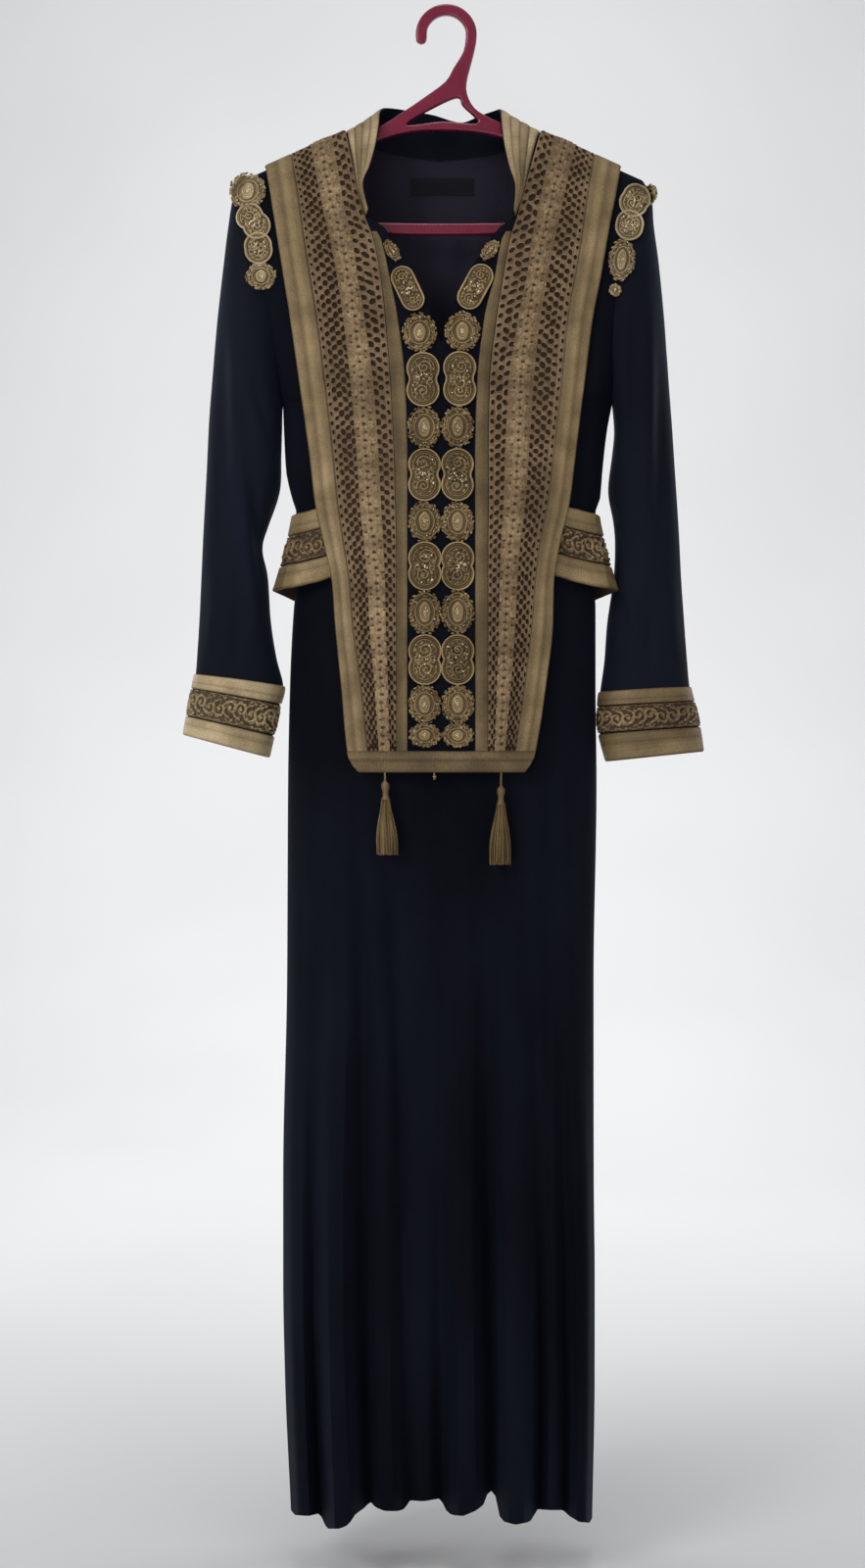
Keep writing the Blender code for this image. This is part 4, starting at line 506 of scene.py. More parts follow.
def add_plastron_point(sheet, key, x, z, hand, front_tree, kind="body"):
    near, over = plastron_lift(z)
    height = shoulder_height(hand, x)
    if kind == "seam":
        up = -shoulder_inward(hand)
        sheet.add(key, Vector((x, -SEAM, height)) + up * near)
        return
    if kind == "rim":
        edge = drop_on(front_tree, x, height - RIM_DEPTH)
        sheet.add(key, Vector((x, edge[0].y - RIM_LIFT, height + SEAM)))
        return
    found = drop_on(front_tree, x, z)
    if found is None:
        nearest, _, _, _ = front_tree.find_nearest(Vector((x, -0.03, z)))
        sheet.add(key, Vector((x, nearest.y - near - over, z)))
        return
    shift = found[1] * near
    under = drop_on(front_tree, x - shift.x, z - shift.z) or found
    sheet.add(key, under[0] + shift - Vector((0, over, 0)))


def medallion_radius(medallion, angle):
    """Outline of a medallion from its centre: an oval, or two overlapping rings one above the other."""
    half_width, half_height = medallion.width / 2, medallion.height / 2
    if not medallion.double:
        slant = math.hypot(half_height * math.cos(angle), half_width * math.sin(angle))
        return half_width * half_height / slant
    shift = max(half_height - half_width, 0.0)
    upright = shift * abs(math.sin(angle))
    side = shift * math.cos(angle)
    return upright + math.sqrt(max(half_width ** 2 - side ** 2, 0.0))


def along_points(points, share):
    """A point at a share of the length of a broken line."""
    lengths = [(b - a).length for a, b in zip(points, points[1:])]
    left = share * sum(lengths)
    for a, b, length in zip(points, points[1:], lengths):
        if left <= length + 1e-9:
            return a.lerp(b, left / length)
        left -= length
    return points[-1].copy()


def belt_point(panel, station, share):
    """A point of the belt's inner face: share 0 is its upper edge and 1 its lower edge."""
    count = len(panel.folds)
    columns = [k + t for k in range(count) for t in (0, 0.25, 0.5, 0.75)] + [float(count)]
    top = BELT_TOP - station.drop
    bottom = top - BELT_HEIGHT - station.drop * 0.5
    z = lerp(top, bottom, share)

    def body_at(place):
        place = min(max(place, 0.0), 1.0)
        places = [fold_place(panel.folds, column, z) for column in columns]
        k = max(i for i in range(len(columns) - 1) if places[i] <= place + 1e-9)
        t = (place - places[k]) / (places[k + 1] - places[k])
        column = lerp(columns[k], columns[k + 1], t)
        return body_point(panel, z, z, column, LEFT if column <= panel.centre_column else RIGHT)

    here = body_at(station.at)
    if station.at in (0.0, 1.0):
        normal = Vector((-1 if station.at == 0.0 else 1, 0, 0))
    else:
        tangent = body_at(station.at + 0.02) - body_at(station.at - 0.02)
        normal = Vector((tangent.y, -tangent.x, 0)).normalized()
        if normal.y * panel.side < 0:
            normal = -normal
    point = here + normal * (EASE + VELVET + station.flare * share ** FLARE_POWER)
    forward = smooth_step((station.at - FORWARD_FROM) / (1 - FORWARD_FROM))
    return point + Vector((0, -BELT_FORWARD * forward * share, 0))


# Each tassel: where its cord leaves the border, and its widths and heights.
Tassel = namedtuple("Tassel", "name x top x_low neck bottom half")
TASSELS = (
    Tassel("tassel_left", -0.0605, -0.7735, -0.0580, -0.7810, -0.8550, 0.0105),
    Tassel("tassel_right", 0.0555, -0.7735, 0.0545, -0.7860, -0.8650, 0.0105),
)
STUB = Tassel("cord_stub", -0.0110, -0.7735, -0.0105, -0.7745, -0.7790, 0.0020)
CORD_HALF = 0.0009
# Radius and distance below the neck: end of the cord, knot, waist and head.
TASSEL_HEAD = ((CORD_HALF, -0.001), (0.0040, 0.0030), (0.0042, 0.0065), (0.0028, 0.0110), (0.0030, 0.0140),
               (0.0046, 0.0190))
TASSEL_FLATNESS = 0.7

# The hanger's outline and holes in the front view, in metres.
HANGER_RIGHT = ((0.0300, -0.036), (0.0265, -0.050), (0.0222, -0.067), (0.0222, -0.080), (0.0300, -0.095),
                (0.0470, -0.1055), (0.0700, -0.1145), (0.0945, -0.1260), (0.1300, -0.1406), (0.1600, -0.1541),
                (0.1830, -0.1645))
HANGER_TIP_RIGHT = ((0.1885, -0.1720), (0.1885, -0.1810), (0.1800, -0.1900), (0.1500, -0.2060),
                    (0.1200, -0.2180), (0.0900, -0.2235))
HANGER_TIP_LEFT = ((-0.0900, -0.2235), (-0.1200, -0.2180), (-0.1500, -0.2060), (-0.1850, -0.1900),
                   (-0.1935, -0.1810), (-0.1935, -0.1740))
HANGER_LEFT = ((-0.1880, -0.1650), (-0.1600, -0.1522), (-0.1300, -0.1389), (-0.1000, -0.1265),
               (-0.0645, -0.1120), (-0.0405, -0.0970), (-0.0200, -0.0830), (0.0000, -0.0680),
               (0.0085, -0.0540), (0.0185, -0.0370))
HANGER_SMALL_HOLE = ((0.0085, -0.0850), (0.0180, -0.0930), (0.0330, -0.1100), (-0.0015, -0.1085),
                     (-0.0395, -0.1110))
HANGER_LARGE_HOLE = ((0.0000, -0.1175), (0.0350, -0.1200), (0.0700, -0.1285), (0.1100, -0.1460),
                     (0.1500, -0.1650), (0.1740, -0.1770), (0.1700, -0.1850), (0.1450, -0.1975),
                     (0.1150, -0.2075), (0.0880, -0.2110), (0.0000, -0.2125), (-0.0880, -0.2110),
                     (-0.1150, -0.2075), (-0.1450, -0.1975), (-0.1760, -0.1850), (-0.1800, -0.1775),
                     (-0.1500, -0.1640), (-0.1100, -0.1450), (-0.0700, -0.1285), (-0.0350, -0.1190))
# Angles of the hook's free end and of the ends of its outer and inner arcs, in degrees.
HOOK_TIP_ANGLE = 188
HOOK_OUTER_END = -8
HOOK_INNER_END = 0
HOOK_STEPS = 11


def hook_arc(radius, start, stop, steps):
    cx, cz = HOOK_CENTRE
    found = []
    for k in range(steps + 1):
        angle = math.radians(lerp(start, stop, k / steps))
        found.append((cx + radius * math.cos(angle), cz + radius * math.sin(angle)))
    return found


def hanger_outline():
    """The outer edge, clockwise from the hook's free end, over the top and down its right side."""
    tip = math.radians(HOOK_TIP_ANGLE)
    middle = (HOOK_OUTER + HOOK_INNER) / 2
    half = (HOOK_OUTER - HOOK_INNER) / 2
    cx, cz = HOOK_CENTRE
    end = (cx + middle * math.cos(tip), cz + middle * math.sin(tip))
    outer = hook_arc(HOOK_OUTER, HOOK_TIP_ANGLE, HOOK_OUTER_END, HOOK_STEPS)
    inner = hook_arc(HOOK_INNER, HOOK_INNER_END, HOOK_TIP_ANGLE, HOOK_STEPS - 2)
    free_end = [(end[0] + half * math.cos(tip + math.pi * (1 - k / 4)),
                 end[1] + half * math.sin(tip + math.pi * (1 - k / 4))) for k in range(1, 4)]
    sides = list(HANGER_RIGHT + HANGER_TIP_RIGHT + HANGER_TIP_LEFT + HANGER_LEFT)
    return outer + sides + inner + free_end


def moved_in(loop, distance):
    """A closed outline moved square to itself, to the right of its direction."""
    found = []
    count = len(loop)
    for k in range(count):
        before, here, after = Vector(loop[k - 1]), Vector(loop[k]), Vector(loop[(k + 1) % count])
        first = (here - before).normalized()
        second = (after - here).normalized()
        normal = Vector((first.y + second.y, -first.x - second.x)).normalized()
        stretch = max(normal.dot(Vector((first.y, -first.x))), 0.5)
        spot = here + normal * distance / stretch
        found.append((spot.x, spot.y))
    return found


def clockwise(loop):
    area = sum(a[0] * b[1] - b[0] * a[1] for a, b in zip(loop, loop[1:] + loop[:1]))
    return loop if area < 0 else loop[::-1]


# The turn between one and the next of many places that fill a disc evenly, in radians.
GOLDEN_ANGLE = 2.399963


def spline(values, t):
    """A value at a fractional index of a list of numbers or vectors, on a smooth curve through them."""
    last = len(values) - 1
    k = min(max(int(t), 0), last - 1)
    f = t - k
    a, b = values[k], values[k + 1]
    before = values[k - 1] if k > 0 else a + (a - b)
    after = values[k + 2] if k + 2 <= last else b + (b - a)
    return (a * 2 + (b - before) * f + (before * 2 - a * 5 + b * 4 - after) * f ** 2
            + (a * 3 - before - b * 3 + after) * f ** 3) * 0.5


def steps(start, stop, count):
    return [lerp(start, stop, k / count) for k in range(count + 1)]


def grid_normals(points, faces):
    corners = points[faces]
    square = np.cross(corners[:, 2] - corners[:, 0], corners[:, 3] - corners[:, 1])
    total = np.zeros_like(points)
    for k in range(4):
        np.add.at(total, faces[:, k], square)
    return total / np.maximum(np.linalg.norm(total, axis=1), 1e-12)[:, None]


class Cloth:
    """A fine sheet of cloth: keyed points, the quads between them, and outward normals."""

    def __init__(self):
        self.points = []
        self.index = {}
        self.faces = []
        self.kinds = []

    def add(self, key, point):
        self.index[key] = len(self.points)
        self.points.append(Vector(point))

    def strip(self, upper, lower, turned=False, kinds=None):
        """The quads between two rows of keys. Kinds name each quad's material by number."""
        for k, corners in enumerate(zip(upper, lower, lower[1:], upper[1:])):
            face = tuple(self.index[key] for key in corners)
            self.faces.append(face[::-1] if turned else face)
            self.kinds.append(kinds[k] if kinds else 0)

    def settle(self, lift=None):
        self.p = np.array([tuple(p) for p in self.points])
        self.q = np.array(self.faces)
        self.n = grid_normals(self.p, self.q)
        if lift is not None:
            self.p += self.n * lift(self.p)[:, None]
            self.n = grid_normals(self.p, self.q)
        self.points = [Vector(p) for p in self.p]

    def at(self, key):
        k = self.index[key]
        return self.points[k], Vector(self.n[k])

    def shell(self, name, thickness, materials, slot, nodes, lined=False):
        """One closed piece: the sheet, its inner face and a rim. A lined one has a second material inside."""
        count = len(self.p)
        points = np.concatenate((self.p, self.p - self.n * thickness))
        faces = list(self.faces) + [tuple(k + count for k in face[::-1]) for face in self.faces]
        kinds = self.kinds + ([1] * len(self.kinds) if lined else self.kinds)
        used = set()
        for face in self.faces:
            for k in range(4):
                used.add((face[k], face[(k + 1) % 4]))
        for a, b in sorted(used):
            if (b, a) not in used:
                faces.append((b, a, a + count, b + count))
                kinds.append(0)
        return add_piece(name, points, faces, materials, nodes, kinds)


def add_piece(name, points, faces, materials, nodes=(), kinds=None, shades=None, sharp=SHARP_ANGLE):
    """A mesh piece on the body, standing for the solids that it names."""
    mesh = bpy.data.meshes.new(name)
    corners = np.asarray(points, dtype=float).tolist()
    mesh.from_pydata(corners, [], [tuple(int(k) for k in face) for face in faces])
    mesh.shade_smooth()
    mesh.set_sharp_from_angle(angle=sharp)
    for material in materials:
        mesh.materials.append(material)
    if kinds is not None and len(materials) > 1:
        mesh.polygons.foreach_set("material_index", [int(kind) for kind in kinds])
    if shades is not None:
        layer = mesh.attributes.new("shade", "FLOAT", "POINT")
        layer.data.foreach_set("value", np.asarray(shades, dtype=float))
    thing = bpy.data.objects.new(name, mesh)
    bpy.context.scene.collection.objects.link(thing)
    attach(thing, "root")
    if nodes:
        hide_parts(*nodes)
    return thing


class Patch:
    """A strip of surface, read by the distance along it and by the share across it."""

    def __init__(self, rows, closed=False):
        """Rows of (point, normal), one row for each place along the strip."""
        if closed:
            rows = rows + [rows[0]]
        self.closed = closed
        self.p = np.array([[tuple(point) for point, _ in row] for row in rows])
        self.n = np.array([[tuple(normal) for _, normal in row] for row in rows])
        middle = self.p[:, self.p.shape[1] // 2]
        parts = np.linalg.norm(np.diff(middle, axis=0), axis=1)
        self.lengths = np.concatenate(([0.0], np.cumsum(parts)))
        self.length = float(self.lengths[-1])
        self.widths = np.linalg.norm(np.diff(self.p, axis=1), axis=2).sum(axis=1)

    def width(self, along):
        return np.interp(along, self.lengths, self.widths)

    def at(self, along, across, lift=0.0):
        """Points and normals for arrays of distances along and shares across."""
        along, across = np.asarray(along, dtype=float), np.asarray(across, dtype=float)
        if self.closed:
            along = np.mod(along, self.length)
        row = np.interp(along, self.lengths, np.arange(len(self.lengths)))
        i = np.clip(row.astype(int), 0, len(self.lengths) - 2)
        column = np.clip(across, 0, 1) * (self.p.shape[1] - 1)
        j = np.clip(column.astype(int), 0, self.p.shape[1] - 2)
        f, g = (row - i)[..., None], (column - j)[..., None]

        def blend(a):
            return (a[i, j] * (1 - f) * (1 - g) + a[i + 1, j] * f * (1 - g)
                    + a[i, j + 1] * (1 - f) * g + a[i + 1, j + 1] * f * g)

        normal = blend(self.n)
        normal /= np.maximum(np.linalg.norm(normal, axis=-1), 1e-9)[..., None]
        return blend(self.p) + normal * np.asarray(lift)[..., None], normal


def relief(name, patch, height, step, columns, materials, nodes=(), base=0.0003):
    """A raised trim over a whole patch. Height gives lift and shade for distances along and across it."""
    count = max(int(patch.length / step), 2)
    along = np.linspace(0, patch.length, count + 1)
    if patch.closed:
        along = along[:-1]
    across = np.linspace(0, 1, columns + 1)
    s, v = np.meshgrid(along, across, indexing="ij")
    lift, shade = height(s, v, v * patch.width(s), patch.length)
    top, _ = patch.at(s, v, base + lift)
    low, _ = patch.at(s, v, 0.0)
    rows, size = s.shape
    points = np.concatenate((low[:, :1], top, low[:, -1:]), axis=1)
    # The rim rows, where the trim drops to the cloth, get shade 0: painted shade along the trim's edges.
    shades = np.concatenate((np.zeros((rows, 1)), shade, np.zeros((rows, 1))), axis=1)
    size += 2
    if not patch.closed:
        first = np.concatenate((low[:1, :1], low[:1], low[:1, -1:]), axis=1)
        last = np.concatenate((low[-1:, :1], low[-1:], low[-1:, -1:]), axis=1)
        points = np.concatenate((first, points, last), axis=0)
        dark = np.zeros((1, size))
        shades = np.concatenate((dark, shades, dark), axis=0)
        rows += 2
    index = np.arange(rows * size).reshape(rows, size)
    following = np.roll(index, -1, axis=0) if patch.closed else index[1:]
    here = index if patch.closed else index[:-1]
    faces = np.stack((here[:, :-1], following[:, :-1], following[:, 1:], here[:, 1:]), axis=-1).reshape(-1, 4)
    points = points.reshape(-1, 3)
    _, outward = patch.at(along[len(along) // 2], 0.5)
    near = faces[len(faces) // 2]
    normal = np.cross(points[near[2]] - points[near[0]], points[near[3]] - points[near[1]])
    if np.dot(normal, outward) < 0:
        faces = faces[:, ::-1]
    return add_piece(name, points, faces, materials, nodes, shades=shades.reshape(-1))


SMALL_BALL = []


def small_ball():
    """Points and faces of a small round form, a doubled octahedron."""
    if SMALL_BALL:
        return SMALL_BALL[0]
    corners = [Vector(c) for c in ((1, 0, 0), (-1, 0, 0), (0, 1, 0), (0, -1, 0), (0, 0, 1), (0, 0, -1))]
    faces = [(0, 2, 4), (2, 1, 4), (1, 3, 4), (3, 0, 4), (2, 0, 5), (1, 2, 5), (3, 1, 5), (0, 3, 5)]
    middles = {}

    def middle(a, b):
        key = (min(a, b), max(a, b))
        if key not in middles:
            middles[key] = len(corners)
            corners.append((corners[a] + corners[b]).normalized())
        return middles[key]

    finer = []
    for a, b, c in faces:
        ab, bc, ca = middle(a, b), middle(b, c), middle(c, a)
        finer += [(a, ab, ca), (ab, b, bc), (ca, bc, c), (ab, bc, ca)]
    SMALL_BALL.append((np.array([tuple(c) for c in corners]), np.array(finer)))
    return SMALL_BALL[0]


BEAD_SHARP_ANGLE = math.radians(80)


class Heap:
    """Small sewn-on forms gathered into one mesh: beads, cords and plates, each with a kind and a shade."""

    def __init__(self):
        self.points = []
        self.faces = []
        self.kinds = []
        self.shades = []
        self.count = 0

    def put(self, points, faces, kind, shade):
        points = np.asarray(points, dtype=float)
        self.points.append(points)
        self.faces += [tuple(int(k) + self.count for k in face) for face in faces]
        self.kinds += [kind] * len(faces)
        self.shades += list(np.broadcast_to(shade, (len(points),)))
        self.count += len(points)

    def bead(self, centre, normal, radii, direction=(0, 0, 1), kind=0, shade=1.0):
        """An oval bead. Radii are along the direction, across it and out of the cloth."""
        ball, faces = small_ball()
        out = Vector(normal).normalized()
        along = Vector(direction) - out * Vector(direction).dot(out)
        along = along.normalized()
        across = out.cross(along)
        axes = np.array([tuple(along * radii[0]), tuple(across * radii[1]), tuple(out * radii[2])])
        self.put(ball @ axes + np.array(tuple(centre)), faces, kind, shade)

    def cord(self, path, radius, kind=0, shade=1.0, sides=6, closed=False, flat=1.0, out=(0, -1, 0)):
        """A round cord along points. A radius may be a list, one for each point."""
        path = [Vector(p) for p in path]
        count = len(path)
        radii = radius if hasattr(radius, "__len__") else [radius] * count
        points = []
        for k, here in enumerate(path):
            before = path[k - 1] if closed or k else here
            after = path[(k + 1) % count] if closed or k < count - 1 else here
            along = (after - before).normalized()
            outward = Vector(out) - along * Vector(out).dot(along)
            if outward.length < 1e-4:
                outward = Vector((1, 0, 0)) - along * along.x
            outward.normalize()
            across = along.cross(outward)
            for side in range(sides):
                angle = 2 * math.pi * side / sides
                points.append(here + (across * math.cos(angle) + outward * math.sin(angle) * flat) * radii[k])
        faces = []
        for k in range(count if closed else count - 1):
            a, b = k * sides, ((k + 1) % count) * sides
            for side in range(sides):
                following = (side + 1) % sides
                faces.append((a + side, a + following, b + following, b + side))
        if not closed:
            faces.append(tuple(range(sides))[::-1])
            faces.append(tuple((count - 1) * sides + side for side in range(sides)))
        self.put([tuple(p) for p in points], faces, kind, shade)

    def piece(self, name, materials, nodes=()):
        points = np.concatenate(self.points)
        return add_piece(name, points, self.faces, materials, nodes, self.kinds, self.shades,
                         BEAD_SHARP_ANGLE)


def crease_lift(points, side, creases):
    """How far creases lift the points of the cloth on one side: -1 is the front and 1 the back."""
    total = np.zeros(len(points))
    flat = points[:, [0, 2]]
    facing = points[:, 1] * side > -0.004
    for crease in creases:
        if crease.side != side:
            continue
        line = np.array(crease.points)
        lengths = np.linalg.norm(np.diff(line, axis=0), axis=1)
        best = np.full(len(points), 1e9)
        place = np.zeros(len(points))
        start = 0.0
        for a, b, length in zip(line, line[1:], lengths):
            t = np.clip((flat - a) @ (b - a) / length ** 2, 0, 1)
            away = np.linalg.norm(flat - a - t[:, None] * (b - a), axis=1)
            nearer = away < best
            best[nearer] = away[nearer]
            place[nearer] = ((start + t * length) / lengths.sum())[nearer]
            start += length
        fade = np.sin(np.pi * np.clip(place, 0.02, 0.98)) ** 0.7
        total += crease.lift * np.exp(-(best / crease.width) ** 2) * fade * facing
    return total


class Look:
    """A material in the making, with short calls for its nodes."""

    def __init__(self, name, **values):
        self.material = bpy.data.materials.new(name)
        self.material.use_nodes = True
        self.tree = self.material.node_tree
        self.shader = self.tree.nodes["Principled BSDF"]
        for socket, value in values.items():
            self.shader.inputs[socket.replace("_", " ")].default_value = value
        self.place = self.node("ShaderNodeTexCoord").outputs["Object"]

    def node(self, kind, links=(), **values):
        """A node with its properties set, and inputs given as values or as sockets."""
        made = self.tree.nodes.new(kind)
        for key, value in values.items():
            setattr(made, key, value)
        for socket, value in dict(links).items():
            if isinstance(value, bpy.types.NodeSocket):
                self.tree.links.new(value, made.inputs[socket])
            else:
                made.inputs[socket].default_value = value
        return made

    def noise(self, scale, detail=2.0, stretch=(1, 1, 1)):
        place = self.node("ShaderNodeMapping", {"Vector": self.place, "Scale": stretch}).outputs["Vector"]
        made = self.node("ShaderNodeTexNoise", {"Vector": place, "Scale": scale, "Detail": detail})
        return made.outputs["Fac"]

    def ramp(self, source, stops):
        made = self.node("ShaderNodeValToRGB", {"Fac": source})
        elements = made.color_ramp.elements
        while len(elements) < len(stops):
            elements.new(0.5)
        for element, (place, colour) in zip(elements, stops):
            element.position = place
            element.color = (*colour, 1)
        return made.outputs["Color"]

    def mixed(self, first, second, amount, blend="MULTIPLY"):
        made = self.node("ShaderNodeMix", data_type="RGBA", blend_type=blend)
        for socket, value in ((made.inputs[0], amount), (made.inputs[6], first), (made.inputs[7], second)):
            if isinstance(value, bpy.types.NodeSocket):
                self.tree.links.new(value, socket)
            else:
                socket.default_value = value
        return made.outputs[2]

    def shade(self):
        return self.node("ShaderNodeAttribute", attribute_name="shade").outputs["Fac"]

    def summed(self, first, second, weight):
        made = self.node("ShaderNodeMath", {0: second, 1: weight, 2: first}, operation="MULTIPLY_ADD")
        return made.outputs[0]

    def colour(self, source):
        self.tree.links.new(source, self.shader.inputs["Base Color"])

    def rough(self, source):
        self.tree.links.new(source, self.shader.inputs["Roughness"])

    def bump(self, source, strength, distance):
        made = self.node("ShaderNodeBump", {"Height": source, "Strength": strength, "Distance": distance})
        self.tree.links.new(made.outputs["Normal"], self.shader.inputs["Normal"])


WHITE = (1.0, 1.0, 1.0)


def grey(value):
    return (value, value, value)


def scaled(colour, share):
    return tuple(c * share for c in colour)


def velvet_look(name, dark, light, sheen, tint, gloss):
    """Cut velvet: a dark pile with a soft edge light, brushed in uneven patches."""
    look = Look(name, Roughness=0.78, Sheen_Weight=sheen, Sheen_Roughness=0.42, Sheen_Tint=(*tint, 1),
                Specular_IOR_Level=gloss)
    brushed = look.noise(9, 4, (1, 1, 0.35))
    pile = look.noise(900, 2, (1, 1, 0.6))
    both = look.summed(brushed, pile, 0.22)
    look.colour(look.ramp(both, ((0.42, dark), (0.62, light), (0.80, scaled(light, 1.5)))))
    look.bump(look.summed(look.noise(1500, 2), brushed, 0.3), 0.35, 0.0006)
    return look.material


def thread_look(name, deep, middle, bright, metallic, roughness, weave=1800):
    """Metal thread: painted shade in the grooves, a painted highlight on the crests, and darker tarnished
    patches.
    """
    look = Look(name, Metallic=metallic, Specular_IOR_Level=0.4)
    base = look.ramp(look.shade(), ((0.0, deep), (0.45, middle), (1.0, bright)))
    patches = look.ramp(look.noise(30, 5), ((0.35, (0.62, 0.60, 0.56)), (0.65, WHITE)))
    threads = look.ramp(look.noise(weave, 1, (1, 1, 0.35)), ((0.3, (0.62, 0.60, 0.58)), (0.7, WHITE)))
    look.colour(look.mixed(look.mixed(base, patches, 1.0), threads, 1.0))
    look.rough(look.ramp(look.noise(400, 2), ((0.3, grey(roughness - 0.1)), (0.7, grey(roughness + 0.15)))))
    look.bump(look.noise(weave, 2, (1, 1, 0.5)), 0.5, 0.0006)
    return look.material


def bead_look(name, colour, roughness):
    look = Look(name, Metallic=0.9, Coat_Weight=0.25, Coat_Roughness=0.12)
    stops = ((0.0, scaled(colour, 0.12)), (0.5, scaled(colour, 0.55)), (1.0, colour))
    base = look.ramp(look.shade(), stops)
    patches = look.ramp(look.noise(260, 3), ((0.35, (0.55, 0.5, 0.44)), (0.6, WHITE)))
    look.colour(look.mixed(base, patches, 1.0))
    look.rough(look.ramp(look.noise(120, 2), ((0.3, grey(roughness)), (0.7, grey(roughness + 0.2)))))
    look.bump(look.noise(2200, 1), 0.3, 0.0004)
    return look.material


def plastic_look():
    """Moulded plastic, a little see-through at thin places, with fine scuffs."""
    look = Look("pink_plastic_look", Roughness=0.3, Subsurface_Weight=0.12, Subsurface_Scale=0.004,
                Coat_Weight=0.35, Coat_Roughness=0.18)
    # The plastic's own pink, darkened a little overall: painted shade for the bar that lies in shadow inside
    # the neck.
    look.colour(look.ramp(look.noise(18, 3), ((0.3, (0.180, 0.0036, 0.030)), (0.7, (0.225, 0.0055, 0.039)))))
    look.rough(look.ramp(look.noise(60, 3), ((0.4, grey(0.24)), (0.75, grey(0.38)))))
    look.bump(look.noise(45, 2), 0.05, 0.0005)
    return look.material


def label_look():
    look = Look("woven_label_look", Roughness=0.7, Sheen_Weight=0.04, Specular_IOR_Level=0.15)
    threads = look.node("ShaderNodeTexWave", {"Vector": look.place, "Scale": 900.0, "Distortion": 0.4},
                        bands_direction="Z").outputs["Fac"]
    look.colour(look.ramp(threads, ((0.2, (0.006, 0.006, 0.009)), (0.8, (0.012, 0.012, 0.017)))))
    look.bump(threads, 0.4, 0.0003)
    return look.material


def wall_look():
    look = Look("studio_paper", Roughness=0.9, Specular_IOR_Level=0.1)
    look.colour(look.ramp(look.noise(1.5, 1), ((0.3, (0.80, 0.80, 0.805)), (0.7, (0.83, 0.83, 0.835)))))
    return look.material


Velvet = namedtuple("Velvet", "name dark light sheen tint gloss")
VELVETS = {
    "velvet": Velvet("velvet_look", (0.0022, 0.0029, 0.0058), (0.0046, 0.0058, 0.0108), 0.06,
                     (0.35, 0.45, 0.8), 0.06),
    # The lining's own purplish colour, made lighter as painted light for the shaded inside of the neck.
    "lining": Velvet("lining_look", (0.0135, 0.0118, 0.0195), (0.0200, 0.0175, 0.0285), 0.05,
                     (0.5, 0.45, 0.7), 0.1),
    # The sleeves' velvet is a lighter, glossier copy of the body's velvet: painted light, for the light that
    # the curved sleeves catch.
    "sleeve": Velvet("sleeve_velvet_look", (0.0024, 0.0034, 0.0076), (0.0050, 0.0066, 0.0136), 0.08,
                     (0.35, 0.46, 0.85), 0.12),
    "ground": Velvet("brown_ground_look", (0.022, 0.011, 0.007), (0.044, 0.023, 0.013), 0.05,
                     (0.8, 0.6, 0.4), 0.18),
}
# Thread colours where the shade attribute is 0, 0.45 and 1. That attribute is partly painted shade and
# highlight, deep in grooves, holes and at edges and bright on crests, and partly the thread's own uneven
# tone.
Thread = namedtuple("Thread", "name deep middle bright metallic roughness")
THREADS = {
    "gold": Thread("gold_braid_look", (0.030, 0.018, 0.008), (0.215, 0.146, 0.067),
                   (0.53, 0.385, 0.195), 0.28, 0.46),
    "lace": Thread("gold_lace_look", (0.024, 0.012, 0.006), (0.23, 0.148, 0.078),
                   (0.58, 0.400, 0.230), 0.2, 0.52),
    "floral": Thread("flower_lace_look", (0.030, 0.016, 0.006), (0.27, 0.172, 0.086),
                     (0.60, 0.425, 0.235), 0.25, 0.46),
    "cord": Thread("cord_look", (0.035, 0.021, 0.008), (0.28, 0.186, 0.082),
                   (0.66, 0.49, 0.255), 0.35, 0.42),
    # A lighter copy of the gold thread, for the collar braid, the shoulder chains, the medallions' cores and
    # the left cuff. On the left cuff it is painted light, for the light falling on that side.
    "bright": Thread("bright_gold_look", (0.045, 0.027, 0.011), (0.40, 0.290, 0.150),
                     (0.84, 0.66, 0.40), 0.25, 0.42),
}
LOOKS = {key: velvet_look(*row) for key, row in VELVETS.items()}
LOOKS.update((key, thread_look(*row)) for key, row in THREADS.items())
LOOKS["beads"] = bead_look("beads_look", (0.90, 0.76, 0.50), 0.16)
LOOKS["plastic"] = plastic_look()
LOOKS["label"] = label_look()
LOOKS["wall"] = wall_look()


